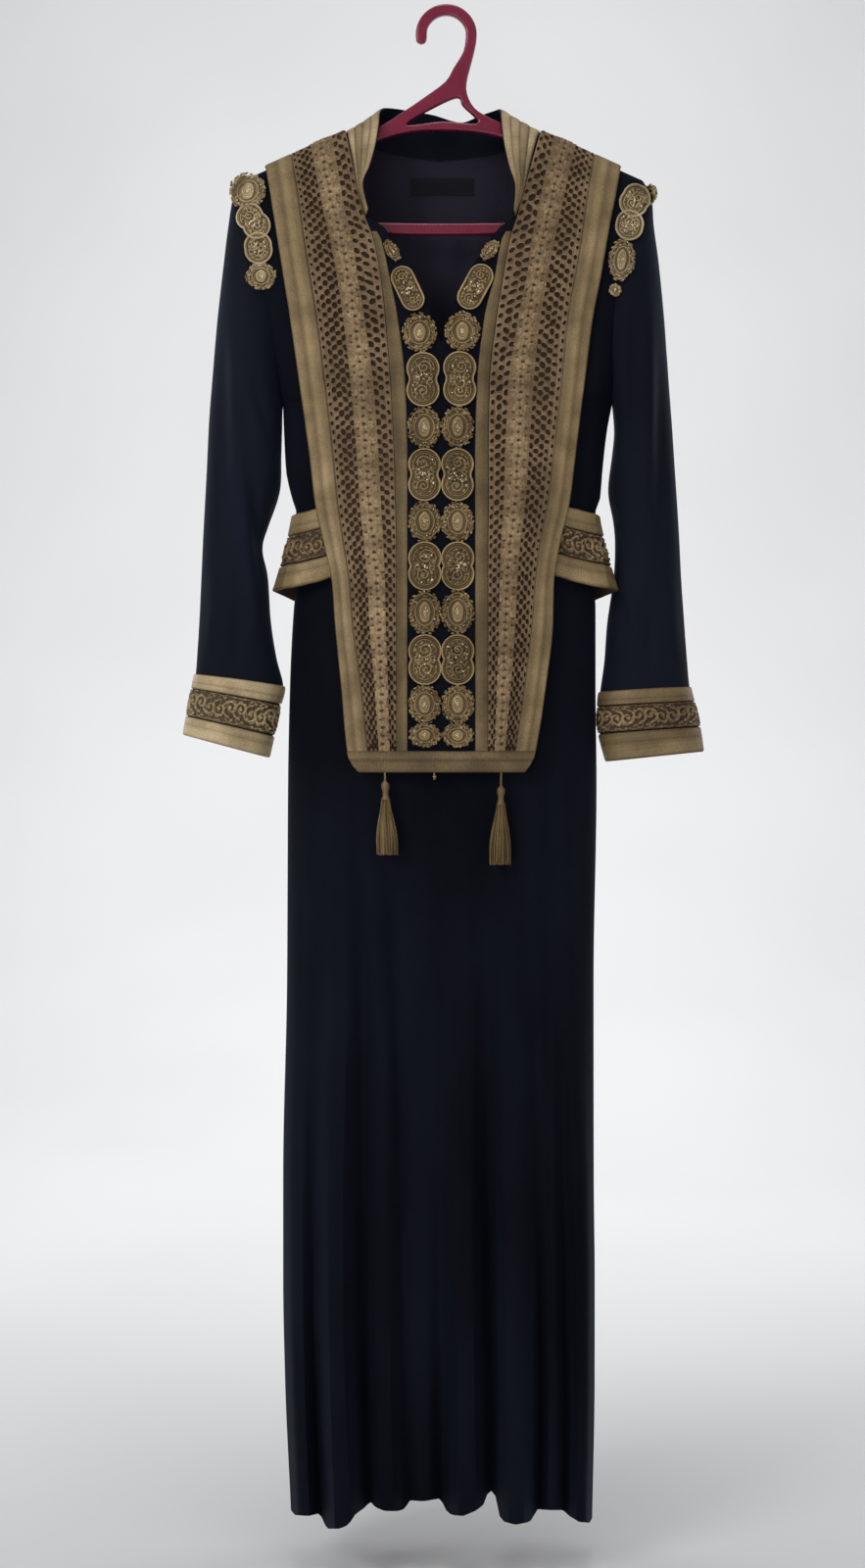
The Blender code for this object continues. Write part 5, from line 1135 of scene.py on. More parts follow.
Crease = namedtuple("Crease", "side lift width points")
BODY_CREASES = (
    Crease(FRONT, 0.0035, 0.010, ((-0.136, -0.640), (-0.135, -0.784), (-0.128, -1.134), (-0.130, -1.484))),
    Crease(FRONT, -0.0030, 0.009, ((-0.112, -0.900), (-0.104, -1.200), (-0.100, -1.500))),
    Crease(FRONT, 0.0040, 0.011, ((-0.079, -0.800), (-0.060, -1.084), (-0.044, -1.434))),
    Crease(FRONT, -0.0024, 0.008, ((-0.058, -0.830), (-0.040, -1.150), (-0.022, -1.440))),
    Crease(FRONT, 0.0018, 0.010, ((-0.018, -0.800), (-0.008, -1.100), (-0.004, -1.380))),
    Crease(FRONT, -0.0020, 0.008, ((0.030, -0.810), (0.042, -1.150), (0.048, -1.480))),
    Crease(FRONT, 0.0026, 0.010, ((0.055, -0.860), (0.061, -1.100), (0.066, -1.380))),
    Crease(FRONT, 0.0042, 0.010, ((0.098, -0.640), (0.092, -0.784), (0.083, -1.134), (0.089, -1.434))),
    Crease(FRONT, -0.0030, 0.008, ((0.105, -0.900), (0.104, -1.150), (0.112, -1.440))),
    Crease(FRONT, 0.0036, 0.010, ((0.120, -0.650), (0.124, -1.034), (0.135, -1.184), (0.138, -1.400))),
    Crease(FRONT, -0.0022, 0.007, ((-0.163, -0.300), (-0.160, -0.345), (-0.152, -0.386), (-0.137, -0.440))),
    Crease(FRONT, 0.0026, 0.008, ((-0.158, -0.330), (-0.152, -0.410), (-0.146, -0.480))),
    Crease(FRONT, 0.0024, 0.008, ((0.160, -0.320), (0.152, -0.400), (0.145, -0.480))),
    Crease(FRONT, -0.0022, 0.007, ((0.158, -0.380), (0.146, -0.430), (0.134, -0.470))),
    Crease(BACK, 0.0040, 0.014, ((-0.110, -0.230), (-0.095, -0.330), (-0.090, -0.470))),
    Crease(BACK, 0.0030, 0.012, ((0.020, -0.180), (0.012, -0.300), (0.018, -0.450))),
    Crease(BACK, 0.0040, 0.014, ((0.118, -0.240), (0.100, -0.340), (0.094, -0.480))),
    Crease(BACK, -0.0030, 0.010, ((-0.150, -0.350), (-0.110, -0.385), (-0.060, -0.400))),
    Crease(BACK, -0.0030, 0.010, ((0.150, -0.340), (0.105, -0.390), (0.050, -0.415))),
    Crease(BACK, 0.0040, 0.012, ((-0.120, -0.620), (-0.112, -0.900), (-0.118, -1.400))),
    Crease(BACK, -0.0030, 0.010, ((-0.060, -0.640), (-0.052, -1.000), (-0.060, -1.450))),
    Crease(BACK, 0.0034, 0.011, ((0.005, -0.610), (0.012, -0.950), (0.006, -1.300))),
    Crease(BACK, -0.0030, 0.010, ((0.062, -0.650), (0.070, -1.050), (0.066, -1.460))),
    Crease(BACK, 0.0040, 0.012, ((0.112, -0.620), (0.118, -1.000), (0.110, -1.420))),
)
SLEEVE_CREASES = (
    Crease(FRONT, 0.0042, 0.0075, ((-0.2135, -0.299), (-0.2115, -0.414), (-0.2035, -0.509), (-0.1925, -0.616),
                                   (-0.2015, -0.662))),
    Crease(FRONT, -0.0034, 0.0070, ((-0.1985, -0.375), (-0.1885, -0.402), (-0.1785, -0.429))),
    Crease(FRONT, 0.0030, 0.0070, ((-0.2060, -0.360), (-0.1920, -0.404), (-0.1800, -0.450))),
    Crease(FRONT, -0.0036, 0.0080, ((-0.2250, -0.330), (-0.2260, -0.440), (-0.2240, -0.560))),
    Crease(FRONT, -0.0030, 0.0070, ((-0.1950, -0.470), (-0.1900, -0.540), (-0.1860, -0.590))),
    Crease(FRONT, 0.0030, 0.0070, ((-0.2350, -0.560), (-0.2330, -0.610), (-0.2400, -0.655))),
    Crease(FRONT, -0.0024, 0.0060, ((-0.2100, -0.600), (-0.2120, -0.640), (-0.2150, -0.670))),
    Crease(FRONT, 0.0040, 0.0075, ((0.2045, -0.280), (0.2055, -0.400), (0.2045, -0.517))),
    Crease(FRONT, -0.0034, 0.0070, ((0.1880, -0.300), (0.1890, -0.400), (0.1900, -0.500))),
    Crease(FRONT, -0.0034, 0.0080, ((0.2180, -0.330), (0.2190, -0.450), (0.2190, -0.560))),
    Crease(FRONT, 0.0034, 0.0065, ((0.1855, -0.567), (0.1875, -0.600), (0.1965, -0.635))),
    Crease(FRONT, 0.0030, 0.0070, ((0.2290, -0.570), (0.2300, -0.620), (0.2330, -0.660))),
    Crease(FRONT, -0.0026, 0.0060, ((0.2080, -0.600), (0.2070, -0.640), (0.2060, -0.675))),
    Crease(BACK, 0.0040, 0.0090, ((-0.2080, -0.290), (-0.2050, -0.420), (-0.2080, -0.560))),
    Crease(BACK, -0.0034, 0.0080, ((-0.2280, -0.360), (-0.2240, -0.480), (-0.2320, -0.610))),
    Crease(BACK, -0.0034, 0.0080, ((-0.1900, -0.420), (-0.1850, -0.500), (-0.1920, -0.600))),
    Crease(BACK, 0.0040, 0.0090, ((0.2040, -0.300), (0.2000, -0.430), (0.2060, -0.570))),
    Crease(BACK, -0.0034, 0.0080, ((0.2200, -0.350), (0.2180, -0.480), (0.2260, -0.600))),
    Crease(BACK, -0.0034, 0.0080, ((0.1860, -0.410), (0.1820, -0.520), (0.1880, -0.610))),
)
CLOTH_THICKNESS = 0.0012
PANEL_STEP = 6
COLUMN_STEPS = 12
DENSE_ROW = 0.012


def fine_rows(panel):
    """Heights of the fine rows at the panel's sides and at its middle."""
    middle, half = (TIP + UNDERARM) / 2, (TIP - UNDERARM) / 2
    edges = [middle + half * math.cos(math.radians(angle)) for angle in RING_ANGLES]
    centres = list(panel.centre_heights) + edges[len(panel.centre_heights):]
    rows = []
    last = len(RING_ANGLES) - 1
    for k in range(last * PANEL_STEP + 1):
        at = k / PANEL_STEP
        i = min(int(at), last - 1)
        angle = lerp(RING_ANGLES[i], RING_ANGLES[i + 1], at - i)
        edge = middle + half * math.cos(math.radians(angle))
        rows.append((edge, lerp(centres[i], centres[i + 1], at - i)))
    count = int((UNDERARM - HEM) / DENSE_ROW)
    rows += [(z, z) for z in steps(UNDERARM, HEM, count)[1:]]
    return rows


CAMERA_PLACE = (-0.013, -2.3, -0.784)

# The front's lower edge as the camera sees it on the plane of the hanger: scallops, and notches between them.
HemSpot = namedtuple("HemSpot", "x z")
HEM_LINE = (
    HemSpot(-0.1575, -1.525), HemSpot(-0.1535, -1.530), HemSpot(-0.1395, -1.531), HemSpot(-0.1275, -1.528),
    HemSpot(-0.1245, -1.538), HemSpot(-0.1195, -1.544), HemSpot(-0.1075, -1.544), HemSpot(-0.0985, -1.540),
    HemSpot(-0.0915, -1.529), HemSpot(-0.0815, -1.522), HemSpot(-0.0765, -1.516), HemSpot(-0.0715, -1.522),
    HemSpot(-0.0615, -1.526), HemSpot(-0.0475, -1.526), HemSpot(-0.0405, -1.523), HemSpot(-0.0365, -1.515),
    HemSpot(-0.0225, -1.516), HemSpot(-0.0045, -1.513), HemSpot(-0.0005, -1.524), HemSpot(0.0065, -1.530),
    HemSpot(0.0185, -1.531), HemSpot(0.0325, -1.525), HemSpot(0.0405, -1.518), HemSpot(0.0435, -1.507),
    HemSpot(0.0505, -1.504), HemSpot(0.0525, -1.524), HemSpot(0.0575, -1.536), HemSpot(0.0715, -1.540),
    HemSpot(0.0865, -1.537), HemSpot(0.0945, -1.524), HemSpot(0.1065, -1.525), HemSpot(0.1205, -1.525),
    HemSpot(0.1265, -1.531), HemSpot(0.1365, -1.537), HemSpot(0.1475, -1.538), HemSpot(0.1515, -1.530),
)
HEM_REACH = 0.15


def hem_moves(panel, columns):
    """How far each column of the front moves up or down at the hem, so that it meets the scallops."""
    eye_x, eye_y, eye_z = CAMERA_PLACE
    moves = {}
    for column in columns:
        hand = LEFT if column < panel.centre_column else RIGHT
        point = body_point(panel, HEM, HEM, column, hand)
        nearer = -eye_y / (point.y - eye_y)
        seen = eye_x + (point.x - eye_x) * nearer
        goal = float(np.interp(seen, [spot.x for spot in HEM_LINE], [spot.z for spot in HEM_LINE]))
        moves[column] = eye_z + (goal - eye_z) / nearer - point.z
    return moves


def build_fine_panel(panel, name, lift):
    cloth = Cloth()
    count = len(panel.folds)
    columns = sorted({k / COLUMN_STEPS for k in range(count * COLUMN_STEPS + 1)} | {panel.centre_column})
    neck_bottom = panel.neckline[-1].z
    moves = hem_moves(panel, columns) if panel.side == FRONT else dict.fromkeys(columns, 0.0)
    previous = None
    for row, (edge_z, centre_z) in enumerate(fine_rows(panel)):
        near_hem = max(0.0, (HEM + HEM_REACH - edge_z) / HEM_REACH) ** 2
        open_row = centre_z > neck_bottom + 1e-6
        halves = {}
        for hand in (LEFT, RIGHT):
            chain = []
            for column in columns:
                if (column - panel.centre_column) * hand < 0:
                    continue
                shared = column == panel.centre_column and not open_row
                key = (row, column, 0 if shared else hand)
                if key not in cloth.index:
                    point = body_point(panel, edge_z, centre_z, column, hand)
                    cloth.add(key, point + Vector((0, 0, near_hem * moves[column])))
                chain.append(key)
            halves[hand] = chain
        if previous:
            for hand in (LEFT, RIGHT):
                cloth.strip(previous[hand], halves[hand], panel.side == BACK)
        previous = halves
    cloth.rows = row + 1
    cloth.settle(lift)
    looks = [LOOKS["velvet"], LOOKS["lining"]]
    cloth.thing = cloth.shell(name + "_cloth", CLOTH_THICKNESS, looks, "velvet", [name], lined=True)
    return cloth


SLEEVE_ROW_STEPS = 9
SLEEVE_COLUMNS = 84


def build_fine_sleeve(hand, lift):
    cloth = Cloth()
    rings = SLEEVES[hand]
    last = len(rings) - 1
    previous = None
    for row in range(last * SLEEVE_ROW_STEPS + 1):
        at = row / SLEEVE_ROW_STEPS
        values = [spline([getattr(ring, name) for ring in rings], at) for name in Ring._fields]
        ring = Ring(*values)
        chain = []
        for k in range(SLEEVE_COLUMNS):
            cloth.add((row, k), ring_point(ring, 2 * math.pi * k / SLEEVE_COLUMNS))
            chain.append((row, k))
        chain.append((row, 0))
        if previous:
            cloth.strip(previous, chain, hand == RIGHT)
        previous = chain
    cloth.settle(lift)
    name = "sleeve_" + HAND_NAMES[hand]
    cloth.thing = cloth.shell(name + "_cloth", CLOTH_THICKNESS, [LOOKS["sleeve"]], "velvet", [name])
    return cloth


PLASTRON_TOP_ROWS = 12
PLASTRON_PARTS = (7, 5, 5, 4, 5)
PLASTRON_STEP = 0.007


def plastron_columns(hand, whole):
    """Fine columns across half of the plastron: shares between its named lines, outside first."""
    names = [name for name, _ in plastron_lines(hand)]
    names = names + ["middle"] if whole else names[:-1]
    found = []
    for k, (a, b) in enumerate(zip(names, names[1:])):
        found += [(a, b, j / PLASTRON_PARTS[k]) for j in range(PLASTRON_PARTS[k])]
    found.append((names[-2], names[-1], 1.0))
    return found


def build_fine_plastron(tree):
    """The plastron's velvet, with a brown ground under the lace."""
    cloth = Cloth()
    lines = {hand: dict(plastron_lines(hand)) for hand in (LEFT, RIGHT)}
    rows = [("seam", 0.0), ("rim", 0.0)]
    rows += [("top", t) for t in steps(0.05, 1.0, PLASTRON_TOP_ROWS)[:-1]]
    bottom = PLASTRON_ROWS[-1]
    count = int((PLASTRON_FLAT - bottom) / PLASTRON_STEP)
    rows += [("body", z) for z in steps(PLASTRON_FLAT, bottom, count)]
    cloth.tracks = {}
    previous = None
    for row, (kind, value) in enumerate(rows):
        whole = kind == "body"
        open_row = whole and value > NECKLINE_FRONT[-1].z
        halves = {}
        for hand in (LEFT, RIGHT):
            chain, kinds = [], []

            def place(name, z):
                if name != "middle":
                    return lines[hand][name](z)
                if open_row:
                    edge = read(NECKLINE_FRONT, z, HAND_NAMES[hand]) + hand * NECK_CLEAR
                    strip = lines[hand]["strip"](z)
                    return strip - hand * max(NECK_CLEAR, hand * (strip - edge))
                return sum(lines[h]["strip"](z) for h in (LEFT, RIGHT)) / 2

            for a, b, share in plastron_columns(hand, whole):
                top = shoulder_height(hand, lerp(place(a, PLASTRON_TOP), place(b, PLASTRON_TOP), share))
                z = value if whole else lerp(top, PLASTRON_FLAT, value)
                x = lerp(place(a, z), place(b, z), share)
                shared = whole and not open_row and b == "middle" and share == 1.0
                key = (row, a, share, 0 if shared else hand)
                if key not in cloth.index:
                    add_plastron_point(cloth, key, x, z, hand, tree, "body" if whole else kind)
                chain.append(key)
                kinds.append(1 if a in ("braid", "in_lace") else 0)
                if share == 0.0:
                    cloth.tracks[(row, a, hand)] = key
                if share == 1.0:
                    cloth.tracks[(row, b, hand)] = key
            halves[hand] = (chain, kinds[:-1])
        if previous:
            for hand in (LEFT, RIGHT):
                upper, lower = previous[hand][0], halves[hand][0]
                size = min(len(upper), len(lower))
                cloth.strip(upper[:size], lower[:size], hand == RIGHT, halves[hand][1][:size - 1])
        previous = halves
    cloth.rows = rows
    cloth.settle()
    materials = [LOOKS["velvet"], LOOKS["ground"]]
    cloth.thing = cloth.shell("plastron_cloth", CLOTH_THICKNESS, materials, "velvet", ["plastron"])
    return cloth


def plastron_patch(cloth, hand, columns, start, stop):
    """A strip between two or three of the plastron's tracks, over a range of its rows."""
    rows = []
    for row in range(start, stop):
        found = [cloth.at(cloth.tracks[(row, name, hand)]) for name in columns]
        fine = []
        for (p, n), (q, m) in zip(found, found[1:]):
            fine += [(p.lerp(q, t), n.lerp(m, t)) for t in (0.0, 0.25, 0.5, 0.75)]
        fine.append(found[-1])
        rows.append(fine)
    return Patch(rows)


COLLAR_FOOT = -0.210
COLLAR_TUCK = 0.0012
COLLAR_STEPS = 7
COLLAR_LEVELS = 12


def build_fine_collar():
    """The stand collar's outer face, from the neckline to its upper edge."""
    cloth = Cloth()
    bases, tops = [], []
    for stand in COLLAR:
        panel = PANEL_FRONT if stand.side == FRONT else PANEL_BACK
        low = COLLAR_FOOT if stand.side == FRONT else panel.neckline[-1].z
        points = [body_point(panel, edge, centre, panel.centre_column, stand.hand)
                  for edge, centre in fine_rows(panel) if centre >= low]
        base = along_points(points, stand.along)
        top = Vector((stand.x, stand.y, stand.z))
        bases.append(base - (top - base).normalized() * COLLAR_TUCK)
        tops.append(top)
    previous = None
    last = (len(COLLAR) - 1) * COLLAR_STEPS
    for k in range(last + 1):
        base = spline(bases, k / COLLAR_STEPS)
        top = spline(tops, k / COLLAR_STEPS)
        chain = []
        for level in range(COLLAR_LEVELS + 1):
            cloth.add((k, level), base.lerp(top, level / COLLAR_LEVELS))
            chain.append((k, level))
        if previous:
            cloth.strip(previous, chain, True)
        previous = chain
    cloth.count = last + 1
    cloth.settle()
    return cloth


BELT_COLUMNS = 60
BELT_LEVELS = 12


def smooth_station(stations, at):
    """A station of the belt at any place along it, on straight lines between the table's rows."""
    k = max(i for i in range(len(stations) - 1) if stations[i].at <= at + 1e-9)
    a, b = stations[k], stations[k + 1]
    t = smooth_step((at - a.at) / (b.at - a.at))
    t = lerp((at - a.at) / (b.at - a.at), t, 0.5)
    return Station(at, lerp(a.flare, b.flare, t), lerp(a.drop, b.drop, t))


def build_fine_belt():
    """The belt's front and back half, and closed rows of points round both."""
    halves = {}
    pieces = ((PANEL_FRONT, BELT_FRONT, "belt_front"), (PANEL_BACK, BELT_BACK, "belt_back"))
    for panel, stations, name in pieces:
        cloth = Cloth()
        places = steps(0.0, 1.0, BELT_COLUMNS)
        if panel.side == BACK:
            places = places[::-1]
        previous = None
        for level in range(BELT_LEVELS + 1):
            chain = []
            for k, at in enumerate(places):
                point = belt_point(panel, smooth_station(stations, at), level / BELT_LEVELS)
                cloth.add((level, k), point)
                chain.append((level, k))
            if previous:
                cloth.strip(previous, chain)
            previous = chain
        cloth.settle()
        cloth.thing = cloth.shell(name + "_cloth", CLOTH_THICKNESS, [LOOKS["ground"]], "velvet", [name])
        halves[panel.side] = cloth
    rows = []
    for side in (FRONT, BACK):
        for k in range(BELT_COLUMNS + 1):
            if side == BACK and k in (0, BELT_COLUMNS):
                continue
            row = [halves[side].at((level, k)) for level in range(BELT_LEVELS + 1)]
            if side == FRONT and k in (0, BELT_COLUMNS):
                row = [(p, Vector((-1 if k == 0 else 1, 0, 0))) for p, _ in row]
            rows.append(row)
    return halves, rows


def share_rows(rows, start, stop, count=8):
    """Rows cut down to a range of shares across them."""
    found = []
    for row in rows:
        last = len(row) - 1
        cut = []
        for share in steps(start, stop, count):
            at = share * last
            k = min(int(at), last - 1)
            (p, n), (q, m) = row[k], row[k + 1]
            cut.append((p.lerp(q, at - k), n.lerp(m, at - k).normalized()))
        found.append(cut)
    return found


def rounded(share):
    """Height of a round cord over its width, for shares from 0 to 1."""
    return np.sqrt(np.clip(1 - (2 * share - 1) ** 2, 0, 1))


def ribbed_braid(cords, tall, pitch, slant, bright, groove=0.3):
    """Lengthwise twisted cords. Bright has a shade for each cord, and groove is the shade between them."""
    def height(s, v, w, length):
        place = np.clip(v * cords, 0, cords - 1e-6)
        k = place.astype(int)
        form = rounded(place - k)
        turn = s / pitch + slant * (place - k) * np.where(k % 2, 1, -1) + 0.37 * k
        twist = 0.5 + 0.5 * np.sin(2 * np.pi * turn)
        tones = np.array(bright)[k]
        wander = 0.06 * np.sin(s * 190 + 2.3 * k) + 0.05 * np.sin(s * 67 + k)
        lift = 0.0005 + tall * form * (0.78 + 0.22 * twist)
        # Painted shade and highlight: the shade sinks to groove between the cords and rises on the crests.
        crest = form ** 1.2 * (0.82 + 0.18 * twist)
        return lift, np.clip((groove + (0.95 - groove) * crest + wander) * tones, 0, 1)
    return height


# The bands of a satin braid: how light it is at shares of its width.
Band = namedtuple("Band", "share tone")
OUTER_BANDS = (
    Band(0.0, 0.66), Band(0.10, 0.80), Band(0.26, 0.70), Band(0.40, 0.52), Band(0.56, 0.90), Band(0.66, 0.86),
    Band(0.80, 0.66), Band(1.0, 0.60),
)
INNER_BANDS = (Band(0.0, 0.34), Band(0.30, 0.42), Band(0.55, 0.56), Band(0.85, 0.62), Band(1.0, 0.45))
BORDER_BANDS = (
    Band(0.0, 0.50), Band(0.12, 0.62), Band(0.30, 0.68), Band(0.44, 0.34), Band(0.56, 0.60), Band(0.80, 0.56),
    Band(1.0, 0.46),
)
UPPER_BANDS = (
    Band(0.0, 0.70), Band(0.12, 0.92), Band(0.45, 0.84), Band(0.60, 0.58), Band(0.72, 0.80), Band(1.0, 0.66),
)
LOWER_BANDS = (
    Band(0.0, 0.66), Band(0.20, 0.80), Band(0.38, 0.62), Band(0.55, 0.90), Band(0.85, 0.96), Band(1.0, 0.70),
)


def satin_braid(bands, tall, threads, ribs, pitch, tone_scale=1.0):
    """A smooth braid of fine lengthwise threads, with broad soft bands of light and dark."""
    def height(s, v, w, length):
        tone = np.interp(v, [band.share for band in bands], [band.tone * tone_scale for band in bands])
        fine = np.sin(2 * np.pi * threads * v + 1.3 * np.sin(s * 40))
        cross = np.sin(2 * np.pi * s / pitch + 4 * v + 0.8 * np.sin(s * 90))
        slow = np.sin(s * 31 + 5 * v) * np.sin(s * 73 + 2)
        side = np.clip(np.minimum(v, 1 - v) / 0.07, 0, 1)
        lift = 0.0005 + tall * (0.75 + 0.25 * tone) * np.sqrt(side) + 0.00008 * fine + 0.00010 * ribs * cross
        # The shade falls towards both edges: painted shade where the braid meets the cloth.
        shade = tone * (1 + 0.06 * fine + 0.07 * slow + 0.10 * ribs * cross) * (0.6 + 0.4 * side)
        return lift, np.clip(shade, 0, 1)
    return height


Dot = namedtuple("Dot", "along across radius height")


def dotted_curve(points, radius, height, spacing=0.55):
    """Dots close together along a smooth curve, so that they read as a cord."""
    found = []
    points = [Vector((a, b)) for a, b in points]
    count = (len(points) - 1) * 12
    fine = [spline(points, k * (len(points) - 1) / count) for k in range(count + 1)]
    left = 0.0
    for a, b in zip(fine, fine[1:]):
        length = (b - a).length
        while left <= length:
            spot = a.lerp(b, left / max(length, 1e-9))
            found.append(Dot(spot.x, spot.y, radius, height))
            left += radius * spacing
        left -= length
    return found


def dots_relief(dots, holes, period, base, ground, mirror=False, jitter=0.0, depth=1.0, blotch=0.0,
                tone_scale=1.0):
    """Height of a repeat of dots, with holes. Places are in metres along the strip and from its middle."""
    def height(s, v, w, length):
        count = max(round(length / period), 1)
        real = length / count
        cell = np.floor(s / real)
        along = (s / real - cell - 0.5) * period
        across = w - w / np.maximum(v, 1e-6) * 0.5
        across = np.where(v < 1e-6, -np.max(w, axis=1, keepdims=True) / 2, across)
        if mirror:
            across = np.where(cell % 2 > 0, -across, across)
        if jitter:
            along = along + jitter * np.sin(cell * 12.9898)
            across = across + jitter * np.sin(cell * 78.233 + 1.7)
        lift = np.zeros_like(s)
        for dot in dots:
            for shift in (-period, 0.0, period):
                if abs(dot.along + shift) > period / 2 + dot.radius:
                    continue
                away = ((along - dot.along - shift) ** 2 + (across - dot.across) ** 2) / dot.radius ** 2
                lift = np.maximum(lift, dot.height * np.sqrt(np.clip(1 - away, 0, 1)))
        tallest = max(dot.height for dot in dots)
        tone = (1 + 0.10 * np.sin(cell * 5.1) + 0.06 * np.sin(s * 230)) * tone_scale
        # The ground keeps its own tone, and each dot is painted lighter towards its top: painted highlight.
        shade = (ground + (1 - ground) * np.clip(lift / tallest, 0, 1) ** 0.9) * tone
        # Holes are shallow dips painted dark: painted shade for an open hole.
        for hole in holes:
            for shift in (-period, 0.0, period):
                away = ((along - hole.along - shift) / hole.radius) ** 2
                away = away + ((across - hole.across) / hole.height) ** 2
                deep = np.clip(1.6 - away * 1.1, 0, 1) * depth
                shade = shade * (1 - deep)
                lift = lift * (1 - deep)
        grain = 0.5 + 0.5 * np.sin(2 * np.pi * (s * 1.0 + across * 0.8) / 0.0017)
        waves = np.sin(s * 540 + 2.2 * np.sin(across * 610))
        waves = waves * np.sin(across * 480 + 1.9 * np.sin(s * 270 + 1.0))
        # Besides uneven blotches, blotch makes the strip steadily lighter from its start to its end.
        shade = shade * (1 + blotch * waves + 0.7 * blotch * (s / length - 0.5))
        return base + lift, np.clip(shade * (0.86 + 0.14 * grain), 0, 1)
    return height


def petal(angle, inner, outer, half, centre=(0.0, 0.0), squeeze=1.0):
    """Outline of a petal that points away from a centre."""
    found = []
    for k in range(9):
        turn = math.pi * (k / 8)
        reach = inner + (outer - inner) * math.sin(turn) ** 0.8
        side = half * math.cos(turn) * (0.35 + 0.65 * math.sin(turn))
        x = reach * math.cos(angle) - side * math.sin(angle)
        y = reach * math.sin(angle) + side * math.cos(angle)
        found.append((centre[0] + x * squeeze, centre[1] + y))
    return found


def spiral(centre, start, turns, big, small, hand=1, count=12):
    found = []
    for k in range(count + 1):
        t = k / count
        angle = start + hand * 2 * math.pi * turns * t
        radius = lerp(big, small, t ** 0.8)
        found.append((centre[0] + radius * math.cos(angle), centre[1] + radius * math.sin(angle)))
    return found


FLOWER_PERIOD = 0.0162


def flower_column(tone_scale):
    """One flower of the lace's raised column: petals round an open middle."""
    dots, holes = [], [Dot(0.0, 0.0004, 0.0014, 0.0019)]
    for k in range(8):
        angle = math.radians(22.5 + 45 * k)
        squeeze = 0.80
        tip = 0.0088 if k % 4 in (1, 2) else 0.0092
        dots += dotted_curve(petal(angle, 0.0026, tip, 0.0024, squeeze=squeeze), 0.0014, 0.0009)
        x, y = 0.0055 * math.cos(angle) * squeeze, 0.0055 * math.sin(angle)
        dots.append(Dot(x, y, 0.0020, 0.0016))
    for side in (-1, 1):
        dots += dotted_curve(spiral((0.0, side * 0.0098), 0, 1, 0.0019, 0.0016), 0.0008, 0.0010)
        holes.append(Dot(side * 0.0044, side * 0.0066, 0.0010, 0.0016))
    holes.append(Dot(FLOWER_PERIOD / 2, -0.0012, 0.0010, 0.0015))
    dots += dotted_curve(spiral((0.0, 0.0), 0, 1, 0.0029, 0.0027), 0.0009, 0.0013)
    return dots_relief(dots, holes, FLOWER_PERIOD, 0.0007, 0.62, True, 0.0013, 0.85, 0.22, tone_scale)


SCROLL_PERIOD = 0.022


def scroll_lace(width):
    """The lace of belt and cuffs: S scrolls with curled ends and beaded leaves, on a dark ground."""
    half = width / 2
    dots = []
    for side in (-1, 1):
        hub = side * SCROLL_PERIOD / 4
        centre = (hub, -side * half * 0.10)
        scroll = spiral(centre, side * math.pi / 2, 1.4, half * 0.66, 0.0014, side, 20)
        dots += dotted_curve(scroll, 0.00120, 0.0018)
        dots.append(Dot(centre[0], centre[1], 0.0015, 0.0022))
        for k in range(7):
            angle = 0.5 + 2 * math.pi * k / 7
            along = hub + half * 0.86 * math.cos(angle) * 0.92
            across = centre[1] + half * 0.80 * math.sin(angle)
            dots.append(Dot(along, across, 0.0014, 0.0011 + 0.0004 * (k % 3)))
        leaf = [(hub - 0.0035, side * half * 0.62), (hub, side * half * 0.86),
                (hub + 0.0035, side * half * 0.60)]
        dots += dotted_curve(leaf, 0.0009, 0.0012)
    wave = [(-0.0110, 0.0), (-0.0083, half * 0.62), (-0.0040, half * 0.50), (0.0, 0.0),
            (0.0040, -half * 0.50), (0.0083, -half * 0.62), (0.0110, 0.0)]
    dots += dotted_curve(wave, 0.0009, 0.0014)
    for side in (-1, 1):
        edge = side * half * 0.94
        rim = [(-0.011, edge), (-0.0055, edge - side * 0.0010), (0.0, edge), (0.0055, edge - side * 0.0008),
               (0.011, edge)]
        dots += dotted_curve(rim, 0.0008, 0.0010)
    return dots_relief(dots, [], SCROLL_PERIOD, 0.0005, 0.10, mirror=True, jitter=0.0004, blotch=0.30)


# Net: the size of the holes in each column, the pitch along the net, and a hole's height, width and lean.
Mesh = namedtuple("Mesh", "sizes pitch tall wide lean")
NET_ANGLES = 12

# Where the flower column begins and ends across the lace, at shares of its length.
FlowerLine = namedtuple("FlowerLine", "along outer inner")
FLOWER_LINES = (FlowerLine(0.0, 0.34, 0.76), FlowerLine(0.25, 0.38, 0.67), FlowerLine(0.42, 0.39, 0.74),
                FlowerLine(0.62, 0.38, 0.75), FlowerLine(1.0, 0.38, 0.77))


def flower_edge(patch, along, name):
    shares = [line.along for line in FLOWER_LINES]
    return np.interp(np.asarray(along) / patch.length, shares, [getattr(line, name) for line in FLOWER_LINES])


